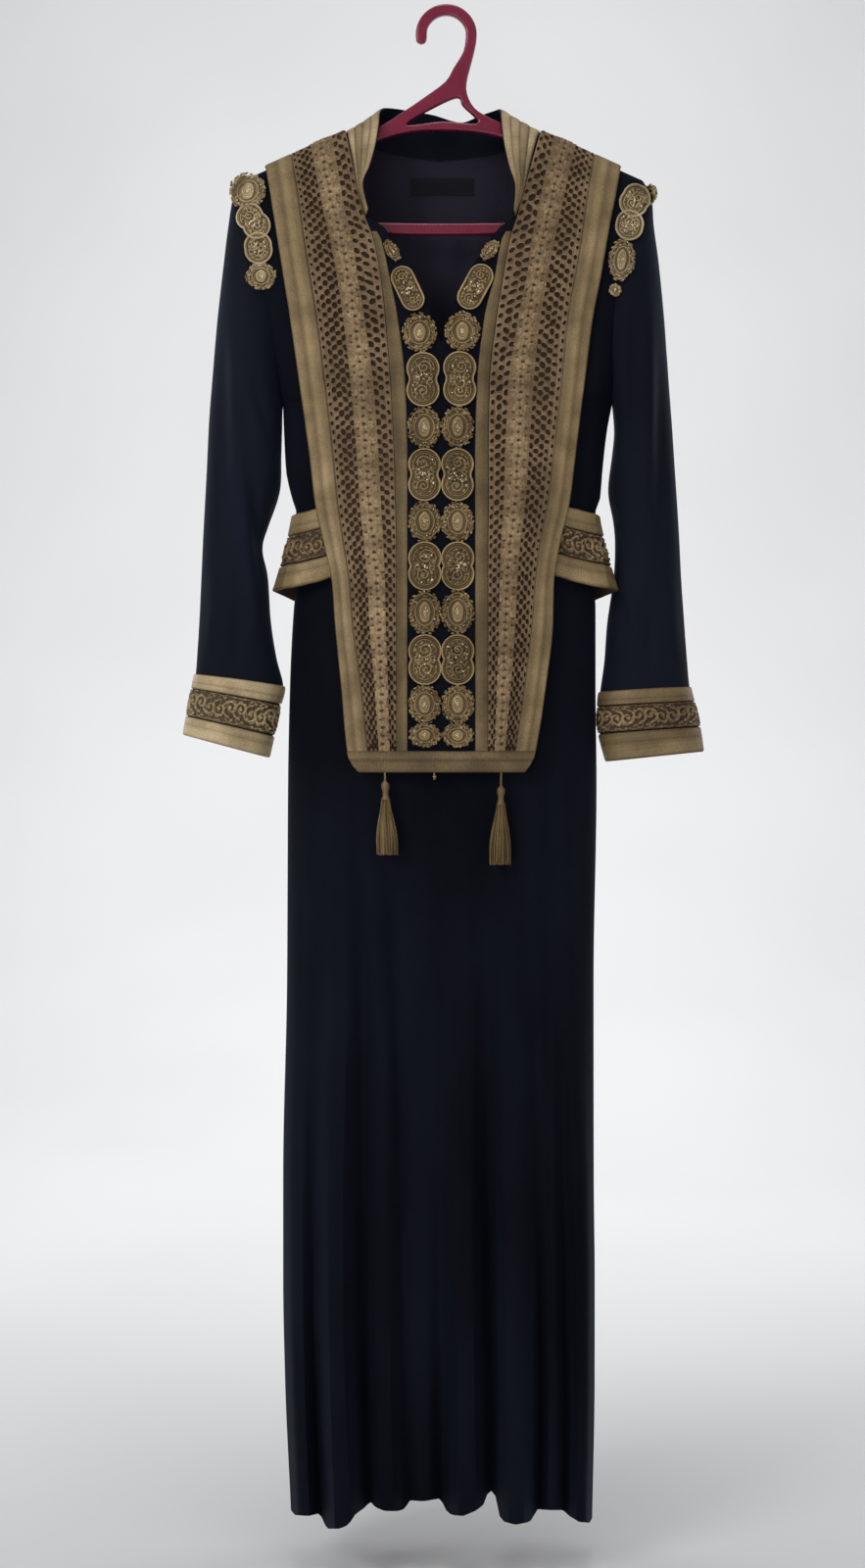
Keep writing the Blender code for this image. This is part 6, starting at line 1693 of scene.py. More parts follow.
def add_net(heap, patch, edges, mesh, seed):
    """Net of staggered cells between two edges across a patch: each cell is a lip round an oval hole."""
    rng = random.Random(seed)
    columns = len(mesh.sizes)
    for column, small in enumerate(mesh.sizes):
        offset = 0.5 * (column % 2)
        count = int(patch.length / mesh.pitch)
        pitch = patch.length / (count + 0.5)
        for k in range(count):
            middle = (k + 0.5 + offset) * pitch
            start, stop = edges(middle)
            left = lerp(start, stop, column / columns)
            right = lerp(start, stop, (column + 1) / columns)
            width = float(patch.width(middle)) * (right - left)
            tall = mesh.tall * pitch * rng.uniform(0.80, 1.22) * (0.35 + 0.65 * small) / 2
            wide = mesh.wide * width * rng.uniform(0.80, 1.12) * small / 2
            lean = mesh.lean * rng.uniform(0.2, 1.6) * (1 if rng.random() < 0.8 else -1)
            drift_along, drift_across = rng.uniform(-0.07, 0.07) * pitch, rng.uniform(-0.06, 0.06) * width
            places, lifts = [], []
            for ring, (grow, lift) in enumerate(((0, 0.0009), (1.22, 0.0013), (1.10, 0.0016), (1.0, 0.0011),
                                                 (0.95, -0.0001))):
                for side in range(NET_ANGLES):
                    angle = 2 * math.pi * (side + 0.5) / NET_ANGLES
                    a, b = math.cos(angle), math.sin(angle)
                    if ring == 0:
                        reach = max(abs(a), abs(b))
                        along, across = a / reach * pitch / 2, b / reach * width / 2
                    else:
                        along = drift_along + (a * tall + lean * b * wide) * grow
                        along = min(max(along, -pitch * 0.48), pitch * 0.48)
                        across = min(max(drift_across + b * wide * grow, -width * 0.49), width * 0.49)
                    places.append((middle + along, lerp(left, right, 0.5 + across / width)))
                    lifts.append(lift)
            places = np.array(places)
            points, _ = patch.at(places[:, 0], places[:, 1], np.array(lifts))
            faces = []
            for ring in range(4):
                a, b = ring * NET_ANGLES, (ring + 1) * NET_ANGLES
                for side in range(NET_ANGLES):
                    following = (side + 1) % NET_ANGLES
                    faces.append((a + side, b + side, b + following, a + following))
            # Painted shade: the lip is lightest on its crest, and the hole's wall and inner edge are dark,
            # less so in smaller holes.
            tone = rng.uniform(0.85, 1.0)
            inside = 0.30 * (1 - small)
            shades = np.repeat([0.58, 0.66, 0.84, 0.22 + inside, inside], NET_ANGLES) * tone
            heap.put(points, faces, 0, shades)


def build_plastron_trims(cloth):
    """Braids, net, flower column and border of the plastron."""
    rows = cloth.rows
    border_z = PLASTRON_ROWS[-3]
    border_row = min(k for k, (kind, z) in enumerate(rows) if kind == "body" and z <= border_z + 0.003)
    first_neck = min(k for k, (kind, z) in enumerate(rows) if kind == "body" and z <= PLASTRON_NECK_ROWS[1])
    net = {LEFT: (Mesh((0.50, 0.80, 1.0, 1.0, 0.95), 0.0094, 0.62, 1.02, -0.35),
                  Mesh((1.0, 1.0, 0.65), 0.0098, 0.58, 0.94, 0.30)),
           RIGHT: (Mesh((0.55, 0.80, 1.0, 1.0, 0.95), 0.0096, 0.60, 1.00, -0.35),
                   Mesh((0.95, 1.0, 0.70), 0.0098, 0.58, 0.92, 0.30))}
    for hand in (LEFT, RIGHT):
        side = HAND_NAMES[hand]
        outer = plastron_patch(cloth, hand, ("edge", "braid"), 0, border_row + 1)
        height = satin_braid(OUTER_BANDS, 0.0009, 15, 0.0, 0.01)
        relief(f"plastron_braid_{side}_trim", outer, height, 0.0022, 34, [LOOKS["gold"]],
               [f"plastron_braid_{side}"])
        lace = plastron_patch(cloth, hand, ("braid", "in_lace", "lace"), 0, border_row + 1)
        heap = Heap()
        outer_mesh, inner_mesh = net[hand]
        add_net(heap, lace, lambda at: (0.005, flower_edge(lace, at, "outer") + 0.02), outer_mesh, 11 + hand)
        add_net(heap, lace, lambda at: (flower_edge(lace, at, "inner") - 0.02, 0.995), inner_mesh, 31 + hand)
        if hand == RIGHT:
            heap.faces = [face[::-1] for face in heap.faces]
        heap.piece(f"plastron_net_{side}", [LOOKS["lace"]])
        flowers = flower_patch(lace)
        # The right flower column is darker: painted shade for the right side, which the light from the left
        # reaches less.
        relief(f"plastron_flowers_{side}", flowers, flower_column(0.97 if hand == LEFT else 0.84), 0.0007, 36,
               [LOOKS["floral"]], [f"plastron_lace_{side}"], base=0.0006)
        inner = plastron_patch(cloth, hand, ("lace", "strip"), first_neck, border_row + 1)
        height = satin_braid(INNER_BANDS, 0.0009, 7, 1.0, 0.0024, 0.9)
        relief(f"inner_braid_{side}_trim", inner, height, 0.0008, 22, [LOOKS["gold"]],
               [f"inner_braid_{side}"])
    border = []
    for row in range(border_row, len(rows)):
        line = []
        for hand in (LEFT, RIGHT):
            keys = [cloth.tracks[(row, name, hand)] for name in ("edge", "braid", "in_lace", "lace", "strip")]
            line += [cloth.at(key) for key in (keys if hand == LEFT else keys[::-1])]
        border.append(line)
    border = [list(column) for column in zip(*border)]
    fine = [[(a[0].lerp(b[0], t), a[1].lerp(b[1], t)) for a, b in zip(one, two)]
            for one, two in zip(border, border[1:]) for t in steps(0.0, 1.0, 6)[:-1]] + [border[-1]]
    height = satin_braid(BORDER_BANDS, 0.0011, 9, 0.6, 0.0030, 0.84)
    relief("plastron_border_trim", Patch(fine), height, 0.0008, 22, [LOOKS["gold"]],
           ["plastron_border"], base=0.0008)


def flower_patch(patch, count=16):
    """The part of the lace that the flower column covers."""
    along, share = np.meshgrid(patch.lengths, np.linspace(0, 1, count + 1), indexing="ij")
    outer, inner = flower_edge(patch, along, "outer"), flower_edge(patch, along, "inner")
    points, normals = patch.at(along, outer + (inner - outer) * share)
    rows = [[(Vector(p), Vector(n)) for p, n in zip(ps, ns)] for ps, ns in zip(points, normals)]
    return Patch(rows)


BAND_SHARES = (0.0, 0.29, 0.67, 1.0)


def build_band_trims(rows, names, step=0.0011, looks=("gold", "floral"), tone_scale=1.0):
    """Upper braid, flower lace and lower braid round a belt or a cuff."""
    braid, lace = [LOOKS[look] for look in looks]
    upper = Patch(share_rows(rows, BAND_SHARES[0], BAND_SHARES[1] - 0.01), True)
    middle = Patch(share_rows(rows, BAND_SHARES[1] + 0.005, BAND_SHARES[2] - 0.005, 16), True)
    lower = Patch(share_rows(rows, BAND_SHARES[2] + 0.01, BAND_SHARES[3]), True)
    wide = float(middle.widths.mean())
    height = satin_braid(UPPER_BANDS, 0.0013, 7, 0.8, 0.0026, tone_scale)
    relief(names[0] + "_trim", upper, height, step, 24, [braid], [names[0]])
    relief(names[1] + "_trim", middle, scroll_lace(wide), 0.0009, int(wide / 0.00075), [lace],
           [names[1]], base=0.0006)
    height = satin_braid(LOWER_BANDS, 0.0013, 7, 0.8, 0.0026, tone_scale)
    relief(names[2] + "_trim", lower, height, step, 24, [braid], [names[2]])


COLLAR_COVER = (0.04, 1.0)


def build_collar_braid(cloth):
    rows = [[cloth.at((k, level)) for level in range(COLLAR_LEVELS + 1)] for k in range(cloth.count)]
    patch = Patch(share_rows(rows, *COLLAR_COVER, 16))
    height = ribbed_braid(4, 0.0010, 0.0050, 0.4, (1.0, 0.62, 0.8, 0.95), 0.4)
    relief("collar_braid_trim", patch, height, 0.0016, 40, [LOOKS["bright"]], ["collar_braid"])


# Materials of the bead work, by number in its pieces.
CORD, GLINT, BRIGHT = 0, 1, 2

# How far a medallion's places may stand in front of its middle, or sink behind it.
SEAT_RISE = 0.006
SEAT_FALL = 0.0050


class Seat:
    """A flat frame for a sewn-on medallion: places in it are dropped on the cloth behind."""

    def __init__(self, tree, x, z, tilt, lift):
        self.tree, self.x, self.z, self.lift = tree, x, z, lift
        self.tilt = math.radians(tilt)
        found = self.drop(0.0, 0.0)
        self.middle = found[0]
        probes = [self.drop(a, b)[1] for a, b in ((0.008, 0), (-0.008, 0), (0, 0.008), (0, -0.008))]
        self.normal = (found[1] + sum(probes, Vector())).normalized()

    def drop(self, across, up):
        x = self.x + across * math.cos(self.tilt) - up * math.sin(self.tilt)
        z = self.z + across * math.sin(self.tilt) + up * math.cos(self.tilt)
        found = drop_on(self.tree, x, z)
        if found is None:
            nearest, _, _, _ = self.tree.find_nearest(Vector((x, -0.05, z)))
            return Vector((x, nearest.y, z)), Vector((0, -1, 0))
        return found

    def spot(self, across, up, height=0.0):
        point, _ = self.drop(across, up)
        y = min(max(point.y, self.middle.y - SEAT_RISE), self.middle.y + SEAT_FALL)
        return Vector((point.x, y - self.lift - height, point.z))

    def direction(self, angle):
        turned = angle + self.tilt
        return Vector((math.cos(turned), 0, math.sin(turned)))


def add_ground(heap, seat, radius_at, height):
    """The dark felt under a medallion: a low crowned plate with the medallion's outline."""
    count = 28
    points, faces = [], []
    for share, lift in ((1.0, 0.0), (0.97, height), (0.6, height), (0.0, height)):
        for k in range(count if share else 1):
            angle = 2 * math.pi * k / count
            radius = radius_at(angle) * share
            points.append(tuple(seat.spot(radius * math.cos(angle), radius * math.sin(angle), lift)))
    for level in range(2):
        for k in range(count):
            a, b = level * count, (level + 1) * count
            following = (k + 1) % count
            faces.append((a + k, a + following, b + following, b + k))
    last = 2 * count
    faces += [(last + k, last + (k + 1) % count, 3 * count) for k in range(count)]
    # The outline ring is darker than the plate: painted shade where the plate meets the cloth.
    heap.put(points, faces, CORD, [0.2] * count + [0.34] * (len(points) - count))


def add_ring(heap, seat, centre, radius, count, bead, height, rng, kind=GLINT, squeeze=1.0):
    """A ring of beads round a place of the medallion."""
    turn = rng.uniform(0, 2 * math.pi)
    for k in range(count):
        angle = turn + 2 * math.pi * k / count
        across = centre[0] + radius * math.cos(angle)
        up = centre[1] + radius * squeeze * math.sin(angle)
        size = bead * rng.uniform(0.82, 1.15)
        heap.bead(seat.spot(across, up, height), seat.normal, (size, size, size * 0.9), seat.direction(angle),
                  kind, rng.uniform(0.55, 1.0))


# Rings of the dome: share of its radius, share of its height, and shade. The shade is painted: dark at the
# foot and in the grooves between the wound rings, lightest on top.
DomeRing = namedtuple("DomeRing", "share lift shade")
DOME_PROFILE = (
    DomeRing(1.0, 0.0, 0.15), DomeRing(1.0, 0.35, 0.5), DomeRing(0.88, 0.72, 0.8),
    DomeRing(0.68, 0.92, 0.9), DomeRing(0.62, 0.84, 0.35), DomeRing(0.45, 1.0, 0.95),
    DomeRing(0.38, 0.92, 0.4), DomeRing(0.15, 1.0, 1.0),
)


def add_dome(heap, seat, centre, radius, height, rng, tall=1.0):
    """A bright crowned middle, wound like a button."""
    count = 18
    points, faces = [], []
    for share, lift, _ in DOME_PROFILE:
        for k in range(count):
            angle = 2 * math.pi * k / count
            reach = radius * share * (1 + 0.03 * math.sin(5 * angle))
            across, up = centre[0] + reach * math.cos(angle), centre[1] + reach * tall * math.sin(angle)
            points.append(tuple(seat.spot(across, up, 0.0008 + height * lift)))
    for level in range(len(DOME_PROFILE) - 1):
        for k in range(count):
            a, b = level * count, (level + 1) * count
            following = (k + 1) % count
            faces.append((a + k, a + following, b + following, b + k))
    last = (len(DOME_PROFILE) - 1) * count
    faces.append(tuple(last + k for k in range(count)))
    top = seat.spot(*centre, 0.0006 + height)
    heap.bead(top, seat.normal, (radius * 0.42, radius * 0.30, 0.0009), (0, 0, 1), BRIGHT, 0.95)
    shades = [level.shade for level in DOME_PROFILE for _ in range(count)]
    heap.put(points, faces, CORD, shades)
    for k in range(3):
        angle = rng.uniform(0, 2 * math.pi)
        reach = radius * rng.uniform(0.2, 0.55)
        across, up = centre[0] + reach * math.cos(angle), centre[1] + reach * tall * math.sin(angle)
        spot = seat.spot(across, up, height + 0.0008)
        heap.bead(spot, seat.normal, (0.0010, 0.0010, 0.0008), (0, 0, 1), GLINT, 1.0)


def outline_path(seat, radius_at, share, height, count=56):
    path = []
    for k in range(count):
        angle = 2 * math.pi * k / count
        radius = radius_at(angle) * share
        path.append(seat.spot(radius * math.cos(angle), radius * math.sin(angle), height))
    return path


def add_flower(heap, seat, half_width, half_height, rng):
    """A round medallion: a fuzzy ring of loops, a dark ring, and a bright oval middle."""
    small = min(half_width, half_height)

    def radius_at(angle):
        slant = math.hypot(half_height * math.cos(angle), half_width * math.sin(angle))
        return half_width * half_height / slant

    add_ground(heap, seat, lambda angle: 0.95 * radius_at(angle), 0.0012)
    heap.cord(outline_path(seat, radius_at, 0.62, 0.0020, 36), 0.0008, CORD, 0.72, closed=True, sides=6)
    heap.cord(outline_path(seat, radius_at, 0.90, 0.0018, 40), 0.0009, CORD, 0.55, closed=True, sides=6)
    count = max(int(small * 2 * math.pi / 0.0036), 10)
    for k in range(count):
        for share, size in ((1.00, 0.0022), (0.84, 0.0024), (0.74, 0.0018)):
            angle = 2 * math.pi * (k + rng.uniform(-0.4, 0.4)) / count
            reach = radius_at(angle) * share * rng.uniform(0.96, 1.04)
            lean = seat.direction(angle + math.pi / 2 + rng.uniform(-0.55, 0.55))
            spot = seat.spot(reach * math.cos(angle), reach * math.sin(angle), rng.uniform(0.0012, 0.0024))
            heap.bead(spot, seat.normal, (size * rng.uniform(0.8, 1.2), 0.0012, 0.0011), lean, CORD,
                      rng.uniform(0.22, 0.85))
    for k in range(max(count // 2, 6)):
        angle = rng.uniform(0, 2 * math.pi)
        reach = radius_at(angle) * rng.uniform(0.66, 1.02)
        heap.bead(seat.spot(reach * math.cos(angle), reach * math.sin(angle), 0.0030), seat.normal,
                  (0.0010, 0.0009, 0.0009), (0, 0, 1), GLINT, rng.uniform(0.5, 1.0))
    add_dome(heap, seat, (0.0, 0.0), half_width * 0.40, 0.0034, rng, 1.3 * half_height / half_width)


# Small gold grains and bright sequins of a double medallion.
GRAINS = 46
SEQUINS = 14
# An outline's growth, and where its waist is, as a share of the half width: narrower where it stands upright.
OUTLINE_GROWTH = 1.04
WAIST = 0.88


def add_double(heap, seat, medallion, rng):
    """A tall medallion: smooth cords round two lobes, with scrolls, sequins and beads inside."""
    half_width, half_height = medallion.width / 2, medallion.height / 2
    reach = max(half_height - half_width, 0.0)

    def radius_at(angle):
        radius = medallion_radius(medallion, angle) * OUTLINE_GROWTH
        straight = isinstance(medallion, Medallion) and medallion.tilt
        waist = OUTLINE_GROWTH if straight else WAIST
        side = half_width * waist / max(abs(math.cos(angle)), 0.05)
        return max(radius, side) if side * abs(math.sin(angle)) < reach else radius

    add_ground(heap, seat, lambda angle: radius_at(angle) * 0.96, 0.0011)
    heap.cord(outline_path(seat, radius_at, 0.95, 0.0020), 0.00090, CORD, 0.95, closed=True, sides=7)
    heap.cord(outline_path(seat, radius_at, 0.86, 0.0018, 50), 0.00065, CORD, 0.50, closed=True, sides=5)
    for lobe in (-1, 1):
        arc = []
        for k in range(19):
            angle = lobe * math.pi * (k - 1) / 16
            up = reach * lobe + half_width * 0.70 * math.sin(angle)
            arc.append(seat.spot(half_width * 0.70 * math.cos(angle), up, 0.0021))
        heap.cord(arc, 0.00060, CORD, 0.66, sides=5)
    for k in range(GRAINS):
        angle = GOLDEN_ANGLE * k
        share = 0.70 * math.sqrt((k + 0.5) / GRAINS)
        radius = radius_at(angle) * share
        size = rng.uniform(0.0009, 0.0016)
        heap.bead(seat.spot(radius * math.cos(angle), radius * math.sin(angle), rng.uniform(0.0014, 0.0022)),
                  seat.normal, (size * 1.5, size, size), seat.direction(rng.uniform(0, math.pi)), CORD,
                  rng.uniform(0.12, 0.85))
    for lobe in (-1, 1):
        centre = (rng.uniform(-0.1, 0.1) * half_width, lobe * (reach + half_width * 0.06))
        size = half_width * rng.uniform(0.50, 0.62)
        add_ring(heap, seat, centre, size, 11, 0.0010, 0.0022, rng, kind=CORD)
        curl = spiral(centre, rng.uniform(0, 6), 1.6, size * 0.85, size * 0.12, lobe, 16)
        heap.cord([seat.spot(a, b, 0.0026) for a, b in curl], 0.0007, CORD, 0.80, sides=5)
        for hand in (-1, 1):
            curl = spiral((hand * half_width * 0.48, lobe * reach * 0.25), lobe * math.pi / 2, 1.15,
                          half_width * 0.24, half_width * 0.06, hand * lobe, 12)
            heap.cord([seat.spot(a, b, 0.0024) for a, b in curl], 0.0007, CORD, 0.70, sides=5)
    for k in range(SEQUINS):
        angle, share = rng.uniform(0, 2 * math.pi), rng.uniform(0.0, 0.70)
        radius = radius_at(angle) * share
        size = rng.uniform(0.0008, 0.0014)
        spot = seat.spot(radius * math.cos(angle), radius * math.sin(angle), 0.0030)
        heap.bead(spot, seat.normal, (size * 1.3, size, size * 0.8), seat.direction(rng.uniform(0, math.pi)),
                  GLINT, rng.uniform(0.6, 1.0))


BEAD_LIFT = 0.0003


def build_medallions(tree):
    for hand, column in ((LEFT, MEDALLIONS_LEFT), (RIGHT, MEDALLIONS_RIGHT)):
        for k, medallion in enumerate(column):
            rng = random.Random(100 * (hand + 2) + k)
            heap = Heap()
            seat = Seat(tree, medallion.x, medallion.z, medallion.tilt, BEAD_LIFT)
            if medallion.double:
                add_double(heap, seat, medallion, rng)
            else:
                add_flower(heap, seat, medallion.width / 2, medallion.height / 2, rng)
            name = f"medallion_{HAND_NAMES[hand]}_{k:02d}"
            looks = [LOOKS["cord"], LOOKS["beads"], LOOKS["bright"]]
            heap.piece(name + "_beads", looks, [name])


Applique = namedtuple("Applique", "x z width height tilt double")
APPLIQUES = {
    LEFT: (
        Applique(-0.2000, -0.1840, 0.0360, 0.0360, 0, False),
        Applique(-0.1940, -0.2160, 0.0270, 0.0390, 38, True),
        Applique(-0.1885, -0.2440, 0.0270, 0.0320, 8, True),
        Applique(-0.1857, -0.2727, 0.0290, 0.0260, 0, False),
    ),
    RIGHT: (
        Applique(0.2060, -0.1860, 0.0160, 0.0200, 0, False),
        Applique(0.1918, -0.1938, 0.0280, 0.0350, -30, True),
        Applique(0.1859, -0.2200, 0.0270, 0.0310, -12, True),
        Applique(0.1778, -0.2560, 0.0250, 0.0440, -8, False),
        Applique(0.1711, -0.2866, 0.0110, 0.0110, 0, False),
    ),
}


def build_appliques(tree):
    """The chain of medallions over each armhole seam."""
    for hand, chain in APPLIQUES.items():
        heap = Heap()
        for k, applique in enumerate(chain):
            rng = random.Random(900 + 10 * hand + k)
            seat = Seat(tree, applique.x, applique.z, applique.tilt, BEAD_LIFT)
            if applique.double:
                add_double(heap, seat, applique, rng)
            else:
                add_flower(heap, seat, applique.width / 2, applique.height / 2, rng)
        side = HAND_NAMES[hand]
        looks = [LOOKS["bright"], LOOKS["beads"], LOOKS["bright"]]
        heap.piece(f"epaulette_{side}_beads", looks, [f"epaulette_{side}"])


def turned(heap, profile, centre, kind, shade, sides=16):
    """A turned form from (radius, height) rows, round a function of the height."""
    points, faces = [], []
    for radius, z in profile:
        x, y = centre(z)
        angles = [2 * math.pi * k / sides for k in range(sides)]
        points += [(x + radius * math.cos(angle), y + radius * math.sin(angle), z) for angle in angles]
    for level in range(len(profile) - 1):
        for k in range(sides):
            a, b = level * sides, (level + 1) * sides
            following = (k + 1) % sides
            faces.append((a + k, b + k, b + following, a + following))
    faces.append(tuple(range(sides)))
    faces.append(tuple((len(profile) - 1) * sides + k for k in range(sides))[::-1])
    heap.put(points, faces, kind, shade)


STRANDS = 84
STRAND_RADIUS = 0.00055


def build_fine_tassel(tassel, y, seed, tone):
    """A twisted cord, a wound knot and many thin strands."""
    rng = random.Random(seed)
    heap = Heap()

    def centre(z):
        return lerp(tassel.x, tassel.x_low, (tassel.top - z) / (tassel.top - tassel.bottom)), y

    for strand in range(2):
        path = []
        for k in range(25):
            z = lerp(tassel.top + 0.004, tassel.neck, k / 24)
            x, depth = centre(z)
            angle = math.pi * strand + 2 * math.pi * k / 8
            path.append((x + 0.0006 * math.cos(angle), depth + 0.0006 * math.sin(angle), z))
        heap.cord(path, 0.0006, 0, 0.8 * tone, 5)
    profile = []
    for k in range(33):
        t = k / 32
        z = tassel.neck - lerp(-0.001, 0.0190, t)
        rows = [(below, radius) for radius, below in TASSEL_HEAD]
        radius = float(np.interp(tassel.neck - z, [row[0] for row in rows], [row[1] for row in rows]))
        profile.append((radius * (1 + 0.06 * math.cos(2 * math.pi * 11 * t)), z))
    turned(heap, profile, centre, 0, 0.62 * tone)
    top = tassel.neck - 0.0180
    for k in range(STRANDS):
        angle = GOLDEN_ANGLE * k
        reach = math.sqrt((k + 0.5) / STRANDS)
        path = []
        low = tassel.bottom + abs(rng.gauss(0, 0.0016))
        drift = rng.uniform(-0.0008, 0.0008)
        for j in range(9):
            t = j / 8
            z = lerp(top, low, t)
            x, depth = centre(z)
            spread = lerp(0.0040, tassel.half, smooth_step(min(t * 1.3, 1.0)) ** 0.8) * reach
            sway = drift * math.sin(3 * t + k)
            outward = spread * math.sin(angle) * TASSEL_FLATNESS
            path.append((x + spread * math.cos(angle) + sway, depth + outward, z))
        heap.cord(path, STRAND_RADIUS, 0, rng.uniform(0.45, 1.0) * tone, 4)
    heap.piece(tassel.name + "_threads", [LOOKS["cord"]], [tassel.name])


def build_fine_stub(y):
    heap = Heap()
    rng = random.Random(7)
    heights = [lerp(STUB.top + 0.004, STUB.bottom, k / 10) for k in range(11)]
    path = [(STUB.x + 0.0004 * math.sin(k), y, z) for k, z in enumerate(heights)]
    heap.cord(path, 0.0008, 0, 0.7, 6)
    middle = (STUB.neck + STUB.bottom) / 2
    heap.bead((STUB.x, y, middle), (0, -1, 0), (0.0020, 0.0020, 0.0018), (0, 0, 1), 0, 0.8)
    for k in range(8):
        angle = 2 * math.pi * k / 8
        low = STUB.bottom - rng.uniform(0.0, 0.0012)
        end = (STUB.x + 0.0011 * math.cos(angle), y + 0.0011 * math.sin(angle), low)
        heap.cord([(STUB.x, y, middle - 0.001), end], 0.00025, 0, 0.8, 4)
    heap.piece("cord_stub_threads", [LOOKS["cord"]], ["cord_stub"])


HANGER_FILLET = 0.0026
FILLET_STEPS = 5
LOOP_STEPS = 3


def smooth_loop(loop, count):
    """A closed outline on a smooth curve through its points."""
    size = len(loop)
    found = []
    for k in range(size):
        four = [Vector(loop[(k + j) % size]) for j in (-1, 0, 1, 2)]
        for j in range(count):
            spot = spline(four, 1 + j / count)
            found.append((spot.x, spot.y))
    return found


def build_fine_hanger():
    """The hanger's plate with round edges."""
    loops = [clockwise(smooth_loop(hanger_outline(), LOOP_STEPS)),
             clockwise(smooth_loop(list(HANGER_SMALL_HOLE), 2 * LOOP_STEPS))[::-1],
             clockwise(smooth_loop(list(HANGER_LARGE_HOLE), LOOP_STEPS))[::-1]]
    levels = []
    for k in range(FILLET_STEPS + 1):
        angle = math.pi / 2 * k / FILLET_STEPS
        y = -HANGER_HALF + HANGER_FILLET * (1 - math.sin(angle))
        levels.append((y, HANGER_FILLET * (1 - math.cos(angle))))
    levels = levels[::-1] + [(-y, inset) for y, inset in levels]
    points, faces, starts = [], [], []
    for loop in loops:
        rings = []
        for y, inset in levels:
            rings.append(len(points))
            shape = moved_in(loop, inset) if inset else loop
            points += [Vector((x, y, z)) for x, z in shape]
        starts.append(rings)
        count = len(loop)
        for lower, upper in zip(rings, rings[1:]):
            for k in range(count):
                following = (k + 1) % count
                faces.append((lower + k, lower + following, upper + following, upper + k))
    for level, forward in ((0, False), (len(levels) - 1, True)):
        flat, order = [], []
        for loop, rings in zip(loops, starts):
            indices = [rings[level] + k for k in range(len(loop))]
            order += indices
            flat.append([Vector((points[k].x, points[k].z, 0)) for k in indices])
        triangles = [[order[k] for k in triangle] for triangle in tessellate_polygon(flat)]
        turn = sum((points[b] - points[a]).cross(points[c] - points[a]).y for a, b, c in triangles)
        faces += [tuple(face if (turn > 0) == forward else face[::-1]) for face in triangles]
    points = [tuple(p) for p in points]
    add_piece("hanger_plastic", points, faces, [LOOKS["plastic"]], ["hanger"])


def build_fine_label(back_tree):
    left, right, top, bottom = LABEL
    rows = []
    for z in steps(top, bottom, 6):
        row = []
        for x in steps(left, right, 20):
            hit, _ = drop_on(back_tree, x, z, start_y=0.5, direction=-1)
            row.append((hit + Vector((0, -CLOTH_THICKNESS - 0.0004, 0)), Vector((0, -1, 0))))
        rows.append(row)

    def height(s, v, w, length):
        fold = 0.0002 * np.sin(v * 9) + 0.00015 * np.sin(s * 400)
        return 0.0004 + fold, np.full_like(s, 0.5)

    relief("neck_label_weave", Patch(rows), height, 0.001, 40, [LOOKS["label"]],
           ["neck_label"], base=0.0)


CAMERA_LENS = 51.75
CAMERA_SENSOR = 36
FLOOR = -1.575
# The paper stands far enough away for a view from behind.
# It runs on the floor from PAPER_FRONT, and bends up from PAPER_BEND on.
PAPER_FRONT = -5.6
PAPER_BEND = 2.2
PAPER_RADIUS = 3.4
PAPER_TOP = 6.0
PAPER_HALF = 5.0
BEND_STEPS = 16
Softbox = namedtuple("Softbox", "name place aim size power")
SOFTBOXES = (
    Softbox("key", (-1.9, -2.1, 0.7), (0.0, 0.0, -0.5), 1.2, 24),
    Softbox("fill", (2.0, -2.4, -0.2), (0.0, 0.0, -0.6), 1.8, 5),
    Softbox("top", (0.0, -0.6, 1.6), (0.0, 0.0, -0.2), 0.8, 8),
    Softbox("low", (-0.9, -2.3, -1.2), (0.0, 0.0, -1.35), 1.2, 9),
    Softbox("edge_left", (-1.7, 0.9, -0.2), (0.0, 0.0, -0.8), 1.0, 6),
    Softbox("edge_right", (1.7, 0.9, -0.2), (0.0, 0.0, -0.8), 1.0, 6),
    Softbox("paper_light", (0.0, 1.35, 1.55), (0.0, 5.4, -0.2), 1.5, 97),
)


def build_stage():
    """A pale paper sweep for floor and backdrop, with soft lights."""
    profile = [(PAPER_FRONT, FLOOR), (PAPER_BEND, FLOOR)]
    for k in range(1, BEND_STEPS + 1):
        angle = math.pi / 2 * k / BEND_STEPS
        rise = PAPER_RADIUS * (1 - math.cos(angle))
        profile.append((PAPER_BEND + PAPER_RADIUS * math.sin(angle), FLOOR + rise))
    profile.append((PAPER_BEND + PAPER_RADIUS, PAPER_TOP))
    points = [(x, y, z) for y, z in profile for x in (-PAPER_HALF, PAPER_HALF)]
    faces = [(2 * k, 2 * k + 1, 2 * k + 3, 2 * k + 2) for k in range(len(profile) - 1)]
    mesh = bpy.data.meshes.new("paper")
    mesh.from_pydata(points, [], faces)
    mesh.shade_smooth()
    mesh.materials.append(LOOKS["wall"])
    paper = bpy.data.objects.new("paper", mesh)
    bpy.context.scene.collection.objects.link(paper)
    for box in SOFTBOXES:
        light = bpy.data.lights.new(box.name, "AREA")
        light.size = box.size
        light.energy = box.power
        lamp = bpy.data.objects.new(box.name, light)
        lamp.location = box.place
        lamp.rotation_euler = (Vector(box.aim) - Vector(box.place)).to_track_quat("-Z", "Y").to_euler()
        bpy.context.scene.collection.objects.link(lamp)
    world = bpy.data.worlds.new("studio")
    world.use_nodes = True
    background = world.node_tree.nodes["Background"]
    background.inputs["Color"].default_value = (0.93, 0.94, 0.96, 1)
    background.inputs["Strength"].default_value = 0.38
    bpy.context.scene.world = world
    bpy.context.scene.view_settings.view_transform = "Standard"


